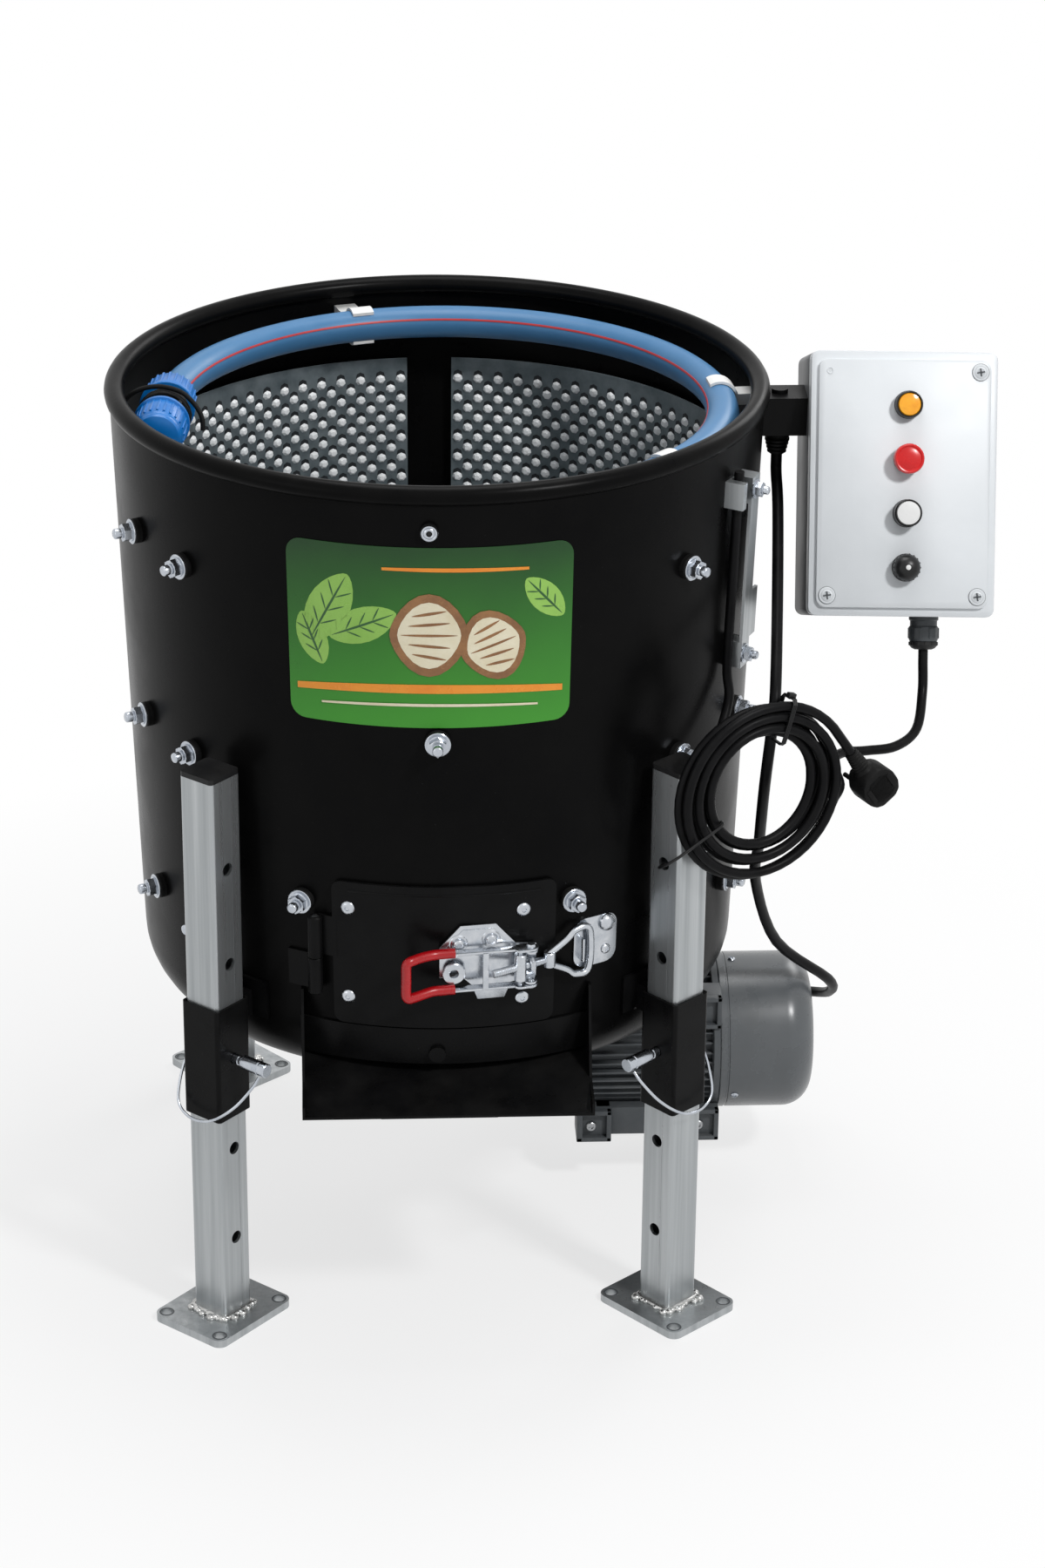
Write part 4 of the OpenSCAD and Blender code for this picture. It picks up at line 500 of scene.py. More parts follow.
def block(bm: BMesh, low: Point, high: Point, place: Matrix, soft: float = 0.0, segments: int = 2) -> list:
    """Add a box between two corners, with rounded edges.

    Args:
        bm: mesh to add to.
        low: lowest corner.
        high: highest corner.
        place: frame of the corners.
        soft: radius of the edges, or zero.
        segments: steps of the rounding.

    Returns:
        The new vertices.
    """
    before = set(bm.verts)
    size = [b - a for a, b in zip(low, high)]
    middle = [(a + b) / 2 for a, b in zip(low, high)]
    made = bmesh.ops.create_cube(bm, size=1.0)["verts"]
    bmesh.ops.scale(bm, vec=size, verts=made)
    bmesh.ops.translate(bm, vec=middle, verts=made)
    if soft > 0.0:
        edges = list({e for v in made for e in v.link_edges})
        bmesh.ops.bevel(bm, geom=edges, offset=soft, offset_type="OFFSET", affect="EDGES", segments=segments,
                        profile=0.5, material=-1, clamp_overlap=True)
    fresh = [v for v in bm.verts if v not in before]
    bmesh.ops.transform(bm, matrix=place, verts=fresh)
    return fresh


def rounded_outline(w: float, h: float, r: float, steps: int = 5) -> list[tuple[float, float]]:
    """Return the corners of a centred rectangle with round corners."""
    points = []
    for k, (sx, sy) in enumerate(((1, 1), (-1, 1), (-1, -1), (1, -1))):
        for i in range(steps + 1):
            a = math.radians(90 * k + 90 * i / steps)
            points.append((sx * (w / 2 - r) + r * math.cos(a), sy * (h / 2 - r) + r * math.sin(a)))
    return points


def smooth_path(points: Sequence[Point], steps: int) -> list[Vector]:
    """Return a smooth line through points, with steps between each pair."""
    p = [Vector(q) for q in points]
    line = []
    for i in range(len(p) - 1):
        a, b, c, d = p[max(i - 1, 0)], p[i], p[i + 1], p[min(i + 2, len(p) - 1)]
        for k in range(steps):
            t = k / steps
            line.append((2 * b + (c - a) * t + (2 * a - 5 * b + 4 * c - d) * t * t
                         + (3 * b - a - 3 * c + d) * t * t * t) / 2)
    line.append(p[-1])
    return line


def sweep(bm: BMesh, line: Sequence[Vector], radius: float, sides: int = 10,
          taper: Optional[Callable[[float], float]] = None) -> list:
    """Carry a ring along a line by extruding it, and close both ends.

    Args:
        bm: mesh to add to.
        line: points of the line.
        radius: radius of the ring.
        sides: corners of the ring.
        taper: factor on the radius by the share of the line, or nothing.

    Returns:
        The new vertices.
    """
    before = set(bm.verts)
    steps = [(line[min(i + 1, len(line) - 1)] - line[max(i - 1, 0)]).normalized() for i in range(len(line))]
    ring = bmesh.ops.create_circle(bm, cap_ends=True, segments=sides, radius=radius)["verts"]
    turn = steps[0].to_track_quat("Z", "Y").to_matrix()
    bmesh.ops.rotate(bm, cent=(0, 0, 0), matrix=turn, verts=ring)
    bmesh.ops.translate(bm, vec=line[0], verts=ring)
    face = [f for f in ring[0].link_faces][0]
    for i in range(1, len(line)):
        made = bmesh.ops.extrude_face_region(bm, geom=[face])["geom"]
        if i > 1 and face.is_valid:
            bmesh.ops.delete(bm, geom=[face], context="FACES_ONLY")
        ring = [g for g in made if isinstance(g, bmesh.types.BMVert)]
        face = [g for g in made if isinstance(g, bmesh.types.BMFace)][0]
        bmesh.ops.translate(bm, vec=line[i] - line[i - 1], verts=ring)
        bend = steps[i - 1].rotation_difference(steps[i]).to_matrix()
        bmesh.ops.rotate(bm, cent=line[i], matrix=bend, verts=ring)
        if taper:
            factor = taper(i / (len(line) - 1)) / taper((i - 1) / (len(line) - 1))
            for v in ring:
                v.co = line[i] + (v.co - line[i]) * factor
    fresh = [v for v in bm.verts if v not in before]
    bmesh.ops.recalc_face_normals(bm, faces=list({f for v in fresh for f in v.link_faces}))
    return fresh


def finish_piece(name: str, bm: BMesh, finish: Finish, body: str, nodes: Sequence[str] = (),
                 sharp: float = 35.0) -> bpy.types.Object:
    """Turn a mesh in millimetres into a piece of the model.

    Args:
        name: name of the piece.
        bm: the mesh, which is used up.
        finish: its finish.
        body: body it rides on.
        nodes: CAD nodes that it stands for.
        sharp: angle above which an edge stays sharp, in degrees.

    Returns:
        The piece.
    """
    bmesh.ops.scale(bm, vec=(MM, MM, MM), verts=bm.verts)
    mesh = bpy.data.meshes.new(name)
    bm.to_mesh(mesh)
    bm.free()
    mesh.shade_smooth()
    mesh.set_sharp_from_angle(angle=math.radians(sharp))
    mesh.materials.append(finish.build())
    piece = bpy.data.objects.new(name, mesh)
    bpy.context.scene.collection.objects.link(piece)
    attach(piece, body)
    if nodes:
        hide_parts(*nodes)
    LOG.info("piece %s: %d faces", name, len(mesh.polygons))
    return piece


def dress(node: str, finish: Finish, sharp: float = 30.0) -> None:
    """Give a CAD node that stays in view its finish."""
    thing = frame["nodes"][node]
    thing.data.materials.clear()
    thing.data.materials.append(finish.build())
    LOG.info("dressed %s", node)


@dataclass
class Studio:
    """Camera, lamps and floor, with the camera fitted to the photograph."""

    focal_px: float = 4675.85
    long_side_px: float = 1800.0
    place: Point = (-111.03, -3721.86, 2165.36)
    yaw: float = 0.0527
    pitch: float = 0.43
    roll: float = 0.0093
    floor: float = 30.0

    def camera(self) -> bpy.types.Object:
        """Make the camera and return it."""
        ahead = Vector((math.sin(self.yaw) * math.cos(self.pitch), math.cos(self.yaw) * math.cos(self.pitch),
                        -math.sin(self.pitch)))
        right = ahead.cross(Vector((0, 0, 1))).normalized()
        up = right.cross(ahead)
        side = math.cos(self.roll) * right + math.sin(self.roll) * up
        top = math.cos(self.roll) * up - math.sin(self.roll) * right
        data = bpy.data.cameras.new("camera")
        data.sensor_width = 36.0
        data.lens = self.focal_px * 36.0 / self.long_side_px
        data.clip_end = 50.0
        camera = bpy.data.objects.new("camera", data)
        turn = Matrix((side, top, -ahead)).transposed().to_4x4()
        camera.matrix_world = Matrix.Translation(Vector(self.place) * MM) @ turn
        bpy.context.scene.collection.objects.link(camera)
        bpy.context.scene.camera = camera
        return camera

    def lamp(self, name: str, place: Point, aim: Point, size: float, power: float) -> None:
        """Add a soft square lamp.

        Args:
            name: name of the lamp.
            place: where it hangs, in metres.
            aim: the point that it faces, in metres.
            size: side of the lamp, in metres.
            power: power in watts.
        """
        data = bpy.data.lights.new(name, "AREA")
        data.shape = "SQUARE"
        data.size = size
        data.energy = power
        lamp = bpy.data.objects.new(name, data)
        lamp.location = place
        lamp.rotation_mode = "QUATERNION"
        lamp.rotation_quaternion = (Vector(aim) - Vector(place)).to_track_quat("-Z", "Y")
        bpy.context.scene.collection.objects.link(lamp)

    @staticmethod
    def seen(nodes: bpy.types.Nodes, links: bpy.types.NodeLinks,
             path: bpy.types.Node) -> bpy.types.NodeSocket:
        """Return the socket that is 1 where the backdrop is looked at, mirrored or seen through.

        Args:
            nodes: the tree's nodes.
            links: the tree's links.
            path: the light path node.

        Returns:
            The socket.
        """
        total = path.outputs["Is Camera Ray"]
        for name in ("Is Glossy Ray", "Is Transmission Ray"):
            both = nodes.new("ShaderNodeMath")
            both.operation = "ADD"
            both.use_clamp = True
            links.new(total, both.inputs[0])
            links.new(path.outputs[name], both.inputs[1])
            total = both.outputs[0]
        return total

    def backdrop(self) -> None:
        """Lay the floor, set the world and hang the lamps."""
        bm = bmesh.new()
        bmesh.ops.create_grid(bm, x_segments=1, y_segments=1, size=self.floor / MM)
        bmesh.ops.scale(bm, vec=(MM, MM, MM), verts=bm.verts)
        mesh = bpy.data.meshes.new("floor")
        bm.to_mesh(mesh)
        bm.free()
        material = GRIT.build()
        nodes, links = material.node_tree.nodes, material.node_tree.links
        shader = nodes["Principled BSDF"]
        path = nodes.new("ShaderNodeLightPath")
        white = nodes.new("ShaderNodeEmission")
        white.inputs["Strength"].default_value = 1.0
        blend = nodes.new("ShaderNodeMixShader")
        share = nodes.new("ShaderNodeMath")
        share.operation = "MULTIPLY"
        spot = nodes.new("ShaderNodeTexCoord")
        far = nodes.new("ShaderNodeVectorMath")
        far.operation = "LENGTH"
        fade = nodes.new("ShaderNodeMapRange")
        fade.inputs["From Min"].default_value = 0.45
        fade.inputs["From Max"].default_value = 1.1
        fade.inputs["To Min"].default_value = 0.72
        links.new(spot.outputs["Object"], far.inputs[0])
        links.new(far.outputs["Value"], fade.inputs["Value"])
        links.new(fade.outputs["Result"], share.inputs[1])
        links.new(self.seen(nodes, links, path), share.inputs[0])
        links.new(share.outputs[0], blend.inputs[0])
        links.new(shader.outputs[0], blend.inputs[1])
        links.new(white.outputs[0], blend.inputs[2])
        links.new(blend.outputs[0], nodes["Material Output"].inputs["Surface"])
        mesh.materials.append(material)
        floor = bpy.data.objects.new("floor", mesh)
        bpy.context.scene.collection.objects.link(floor)
        self.world()
        self.lamp("key", (1.9, -2.2, 3.2), (0.0, 0.0, 0.6), 0.45, 78.0)
        self.lamp("fill", (-2.8, -2.4, 1.6), (0.0, 0.0, 0.4), 1.8, 8.0)
        self.lamp("top", (0.0, 0.4, 3.0), (0.0, 0.0, 0.6), 1.4, 34.0)
        self.lamp("rim", (1.9, 2.4, 2.2), (0.0, 0.0, 0.5), 1.2, 24.0)

    def world(self) -> None:
        """Set a world that is white where it is seen and softer as light."""
        world = bpy.data.worlds.new("studio")
        bpy.context.scene.world = world
        world.use_nodes = True
        nodes, links = world.node_tree.nodes, world.node_tree.links
        soft = nodes["Background"]
        soft.inputs["Color"].default_value = (0.95, 0.97, 1.0, 1.0)
        soft.inputs["Strength"].default_value = 0.30
        white = nodes.new("ShaderNodeBackground")
        white.inputs["Color"].default_value = (1.0, 1.0, 1.0, 1.0)
        white.inputs["Strength"].default_value = 1.0
        path = nodes.new("ShaderNodeLightPath")
        blend = nodes.new("ShaderNodeMixShader")
        links.new(self.seen(nodes, links, path), blend.inputs[0])
        links.new(soft.outputs[0], blend.inputs[1])
        links.new(white.outputs[0], blend.inputs[2])
        links.new(blend.outputs[0], nodes["World Output"].inputs["Surface"])
        bpy.context.scene.view_settings.view_transform = "Standard"


RECORD = frame["record"]
OUT = Matrix.Rotation(math.radians(90.0), 4, "X")


def body_of(node: str) -> str:
    """Return the body that a CAD node belongs to."""
    for body, members in RECORD["behaviour"]["bodies"].items():
        if node in members:
            return body
    raise KeyError(node)


def stand_for(name: str, bm: BMesh, finish: Finish, *nodes: str, like: str = "",
              sharp: float = 35.0) -> bpy.types.Object:
    """Finish a piece that takes the place of CAD nodes, or rides with one.

    Args:
        name: name of the piece.
        bm: its mesh in millimetres.
        finish: its finish.
        nodes: the CAD nodes it replaces.
        like: the node whose body it shares when it replaces none.
        sharp: angle above which an edge stays sharp, in degrees.

    Returns:
        The piece.
    """
    guide = nodes[0] if nodes else like
    return finish_piece(name, bm, finish, body_of(guide), nodes, sharp)


def turn_z(angle: float) -> Matrix:
    """Return a turn about the drum's axis."""
    return Matrix.Rotation(math.radians(angle), 4, "Z")


def shift(x: float, y: float, z: float) -> Matrix:
    """Return a plain shift."""
    return Matrix.Translation((x, y, z))


def hex_nut(bm: BMesh, across: float, height: float, bore: float, place: Matrix) -> None:
    """Add a hexagon nut with chamfered corners.

    Args:
        bm: mesh to add to.
        across: size over the corners.
        height: height of the nut.
        bore: radius of the thread, where the face ends.
        place: frame of the nut, standing on its origin along Z.
    """
    before = set(bm.verts)
    bmesh.ops.create_cone(bm, cap_ends=True, segments=6, radius1=across / 2, radius2=across / 2, depth=height,
                          matrix=Matrix.Translation((0, 0, height / 2)))
    fresh = [v for v in bm.verts if v not in before]
    bmesh.ops.transform(bm, matrix=place, verts=fresh)
    flat = across / 2 * 0.868
    lathe(bm, [(bore, height + 0.35), (flat - 0.4, height + 0.35), (flat + 0.3, height - 0.25)], 18, place)
    lathe(bm, [(flat + 1.6, 0.0), (flat + 1.6, 0.9), (flat - 0.2, 1.6)], 20, place)


def stud_end(bm: BMesh, radius: float, length: float, place: Matrix) -> None:
    """Add a smooth bolt end with a thread line at its foot and a chamfered tip.

    Args:
        bm: mesh to add to.
        radius: outside radius of the thread.
        length: length from the frame's origin to the tip.
        place: frame of the bolt, pointing along Z.
    """
    profile = [(radius, 0.0), (radius, 1.2), (radius - 0.5, 1.7), (radius, 2.2), (radius, length - 1.6),
               (radius - 0.5, length - 0.7), (radius - 1.5, length - 0.1), (0.0, length)]
    lathe(bm, profile, 24, place)


def dome_head(bm: BMesh, radius: float, height: float, place: Matrix) -> None:
    """Add a domed rivet head with a small dimple in its middle.

    Args:
        bm: mesh to add to.
        radius: radius of the head.
        height: height of the head.
        place: frame of the head, standing on its origin along Z.
    """
    lathe(bm, [(radius, 0.0), (radius, height * 0.25), (radius * 0.93, height * 0.5),
               (radius * 0.72, height * 0.82),
               (radius * 0.5, height), (radius * 0.34, height * 0.98), (radius * 0.27, height * 0.66),
               (0.0, height * 0.6)], 20, place)


def cross_head(bm: BMesh, radius: float, height: float, place: Matrix) -> None:
    """Add a pan screw head with a cross cut into it.

    Args:
        bm: mesh to add to.
        radius: radius of the head.
        height: height of the head.
        place: frame of the head, standing on its origin along Z.
    """
    lathe(bm, [(radius, 0.0), (radius, height * 0.4), (radius * 0.8, height * 0.85), (radius * 0.62, height),
               (radius * 0.6, height * 0.55), (0.0, height * 0.5)], 20, place)
    for turn in (0.0, 90.0):
        for side in (-1, 1):
            block(bm, (side * radius * 0.2 - radius * 0.06, radius * 0.2, height * 0.5),
                  (side * radius * 0.2 + radius * 0.06, radius * 0.62, height * 1.0), place @ turn_z(turn))
            block(bm, (side * radius * 0.2 - radius * 0.06, -radius * 0.62, height * 0.5),
                  (side * radius * 0.2 + radius * 0.06, -radius * 0.2, height * 1.0), place @ turn_z(turn))


def wrap_sheet(bm: BMesh, outline: Profile, off: float, thick: float, step: float = 2.0) -> list:
    """Lay a flat outline of angle and height on the drum wall and give it thickness.

    Args:
        bm: mesh to add to.
        outline: angle in degrees and height of the corners, in order.
        off: distance of the sheet's inner face from the wall.
        thick: thickness of the sheet.
        step: angle between the bends, in degrees.

    Returns:
        The new vertices.
    """
    before = set(bm.verts)
    face = bm.faces.new([bm.verts.new((a, 0.0, z)) for a, z in outline])
    low, high = min(a for a, _ in outline), max(a for a, _ in outline)
    geom = [face, *face.edges, *face.verts]
    cut = math.ceil(low / step) * step + 1e-4
    while cut < high:
        done = bmesh.ops.bisect_plane(bm, geom=geom, plane_co=(cut, 0, 0), plane_no=(1, 0, 0), dist=1e-5)
        geom = done["geom"]
        cut += step
    sheet = [f for f in bm.faces if any(v not in before for v in f.verts)]
    raised = bmesh.ops.extrude_face_region(bm, geom=sheet)["geom"]
    top = {g for g in raised if isinstance(g, bmesh.types.BMVert)}
    fresh = [v for v in bm.verts if v not in before]
    for v in fresh:
        v.co = wall_spot(v.co.x, v.co.z, off + (thick if v in top else 0.0))
    bmesh.ops.recalc_face_normals(bm, faces=list({f for v in fresh for f in v.link_faces}))
    return fresh


def rounded_patch(a1: float, a2: float, z1: float, z2: float, r: float,
                  steps: int = 6) -> list[tuple[float, float]]:
    """Return a rectangle of angle and height with round corners of a radius in millimetres."""
    per = math.radians(1.0) * wall_radius((z1 + z2) / 2)
    outline = rounded_outline((a2 - a1) * per, z2 - z1, r, steps)
    return [((a1 + a2) / 2 + x / per, (z1 + z2) / 2 + y) for x, y in outline]


@dataclass
class Cables:
    """Mains lead with its coil and plug, motor cable, bonding lead and the strap that holds the coil."""

    cable_d: float = 9.5
    motor_d: float = 11.0
    coil_c: Point = (297.0, -262.0, 568.0)
    coil_turn: float = 25.0
    coil_r: float = 86.0
    coil_step: float = 10.4
    coil_layer: float = 5.2
    coil_a1: float = -25.0
    coil_a2: float = 35.0
    coil_sweep: float = 2100.0
    coil_swell: float = 8.0
    coil_spread: float = 0.5
    coil_fan: float = -35.0
    tie_a: float = 73.0
    tail: float = 36.0
    gland: Point = (30.0, 55.0, -159.0)
    lead: tuple = ((470, -97, 594), (461, -129, 569), (438, -154, 562), (408, -168, 564), (383, -181, 568),
                   (371, -201, 567))
    motor: tuple = ((330, 0, 807.45), (330, 0, 800), (330, -3, 788), (329, -36, 764), (320.5, -130, 712),
                    (311, -222, 660), (308, -236, 628), (305, -214, 550), (308, -160, 466), (314, -90, 388),
                    (346, -18, 284), (408, 36, 212), (417, 84, 172), (402, 126, 150), (362, 143, 147.5),
                    (284.3, 143, 147.5))
    bond: tuple = ((273, -168, 620), (261, -193, 588), (250, -222, 560), (240.2, -238.2, 550))
    bond_a: float = 59.4
    bond_zs: tuple = (849, 803, 743, 653)
    strap: tuple = ((206, -267, 494), (200, -284, 498), (213, -301, 514), (239, -307, 538), (256, -296, 546),
                    (257, -288, 547))

    def coil_frame(self) -> Matrix:
        """Return the frame of the coil."""
        return Matrix.Translation(self.coil_c) @ turn_z(self.coil_turn)

    def coil_point(self, s: float) -> Vector:
        """Return the point of the coil at an angle along its loops, in the coil's frame."""
        a = self.coil_a1 - s
        n = min(s, self.coil_sweep - s) / 360.0
        k = max(-1.0, min(1.0, (self.coil_sweep / 2 - s) / 90.0))
        w = (1 - math.cos(math.radians(a - self.tie_a - self.coil_fan * k))) / 2
        r = self.coil_r + self.coil_swell * w - self.coil_step * n * (1 + self.coil_spread * w)
        return Vector((r * math.cos(math.radians(a)), self.coil_layer * k, r * math.sin(math.radians(a))))

    def tail_way(self) -> Vector:
        """Return the direction in which the coil's tail leaves."""
        return Vector((math.sin(math.radians(self.coil_a2)), 0.0, -math.cos(math.radians(self.coil_a2))))

    def start_way(self) -> Vector:
        """Return the direction in which the lead enters the coil."""
        return Vector((math.sin(math.radians(self.coil_a1)), 0.0, -math.cos(math.radians(self.coil_a1))))

    def mains_path(self) -> list[Vector]:
        """Return the mains lead's line from the gland through the coil to the plug."""
        hold = self.coil_frame()
        box = ControlBox().frame()
        g = Vector(self.gland)
        first = self.coil_point(0.0)
        lead = [box @ (g + Vector((0, 0, 6.0))), box @ (g - Vector((0, 0, 12.0))),
                *[Vector(p) for p in self.lead],
                hold @ (first - 23.5 * self.start_way()), hold @ (first - 9.5 * self.start_way())]
        path = smooth_path(lead, 6)
        count = int(self.coil_sweep / 7.5)
        loops = [self.coil_point(i * 7.5) for i in range(count + 1)]
        end = loops[-1]
        path += [hold @ p for p in loops]
        path += [hold @ (end + t * self.tail_way()) for t in (9.5, 18.0, 27.0, self.tail)]
        return path

    def run(self, name: str, path: Sequence[Vector], nodes: Sequence[str],
            thick: float) -> tuple[bpy.types.Object, float]:
        """Make one cable as a curve along a line.

        Args:
            name: name of the piece.
            path: points of the line in millimetres.
            nodes: CAD nodes that it stands for.
            thick: diameter of the cable.

        Returns:
            The piece and its length in metres.
        """
        data = bpy.data.curves.new(name, "CURVE")
        data.dimensions = "3D"
        data.bevel_depth = thick / 2 * MM
        data.bevel_resolution = 3
        data.use_fill_caps = True
        line = data.splines.new("POLY")
        line.points.add(len(path) - 1)
        for spot, p in zip(line.points, path):
            spot.co = (p.x * MM, p.y * MM, p.z * MM, 1.0)
        line.use_smooth = True
        data.materials.append(CABLE.build())
        piece = bpy.data.objects.new(name, data)
        bpy.context.scene.collection.objects.link(piece)
        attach(piece, body_of(nodes[0]))
        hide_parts(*nodes)
        LOG.info("cable %s: %d points", name, len(path))
        return piece, sum((b - a).length for a, b in zip(path, path[1:])) * MM

    def plug(self) -> bpy.types.Object:
        """Build the plug at the end of the coil's tail and return it."""
        end = self.coil_point(self.coil_sweep) + self.tail * self.tail_way()
        place = (self.coil_frame() @ Matrix.Translation(end)
                 @ Matrix.Rotation(math.radians(180 - self.coil_a2), 4, "Y"))
        bm = bmesh.new()
        profile = [(0.0, 0.5), (5.6, 0.5)]
        for i in range(6):
            z = 2.0 + 3.4 * i
            r = 6.0 + 0.32 * i
            profile += [(r, z), (r + 0.9, z + 0.5), (r + 0.9, z + 1.7), (r - 0.3, z + 2.2)]
        profile += [(8.0, 23.0), (10.5, 26.0), (0.0, 26.0)]
        lathe(bm, profile, 20, place)
        cheek = [(-9, 25), (-15, 30), (-19, 38), (-19, 50), (-15, 58), (-8, 62), (8, 62), (15, 58), (19, 50),
                 (19, 38), (15, 30), (9, 25)]
        prism(bm, cheek, 30.0, place @ shift(0, 11, 0) @ OUT, 3.0)
        prism(bm, [(x * 0.78, 43 + (z - 43) * 0.78) for x, z in cheek], 36.0, place @ shift(0, 17, 0) @ OUT,
              1.5)
        for side in (-1, 1):
            lathe(bm, [(0, -1), (2.4, -1), (2.4, 17.2), (1.5, 18.0), (0, 18.0)], 12,
                  place @ shift(side * 9.5, 17, 43) @ Matrix.Rotation(math.radians(-90), 4, "X"))
            block(bm, (side * 12.5 - 2.5, -20.2, 35), (side * 12.5 + 2.5, -17, 51), place, 1.0)
        return stand_for("mains_plug_moulded", bm, RUBBER, "mains_plug")

    def tie(self) -> None:
        """Build the tie round the loops and the strap to the leg."""
        bm = bmesh.new()
        place = self.coil_frame() @ Matrix.Rotation(math.radians(-self.tie_a), 4, "Y")
        loop = [Vector((x, y, 0)) for x, y in
                ((48.2, 0), (48.2, 8), (51, 11.2), (70, 11.6), (89, 11.2), (93.2, 8), (93.2, 0), (93.2, -8),
                 (89, -11.2), (70, -11.6), (51, -11.2), (48.2, -8), (48.2, -0.4))]
        for dz in (-1.6, 0.0, 1.6):
            sweep(bm, [place @ (p + Vector((0, 0, dz))) for p in loop], 1.0, 6)
        block(bm, (91.8, -4, -4), (97.5, 2, 4), place, 0.8)
        sweep(bm, smooth_path(self.strap, 6), 1.5, 8)
        stand_for("coil_tie_and_strap", bm, KNOB_BLACK, "coil_ties")

    def build(self) -> None:
        path = self.mains_path()
        plug = self.plug()
        mains, length = self.run("mains_cord", path, ("mains_lead", "mains_coil"), self.cable_d)
        path = smooth_path(self.motor, 5)
        cable, length = self.run("motor_cord", path, ("motor_cable",), self.motor_d)
        path = smooth_path([wall_spot(self.bond_a, z, 7.4) for z in self.bond_zs]
                           + [Vector(p) for p in self.bond], 6)
        bond, length = self.run("bonding_cord", path, ("bonding_lead",), self.cable_d)
        self.tie()


@dataclass(frozen=True)
class Stud:
    """Sizes of a liner tooth, or of the hole above it: radii, height and shift up the sheet."""

    base: float
    top: float
    height: float
    up: float


TOOTH = Stud(5.4, 2.6, 3.4, 0.0)
HOLE = Stud(4.9, 4.8, 0.5, 4.2)
STUD_SIDES = 7


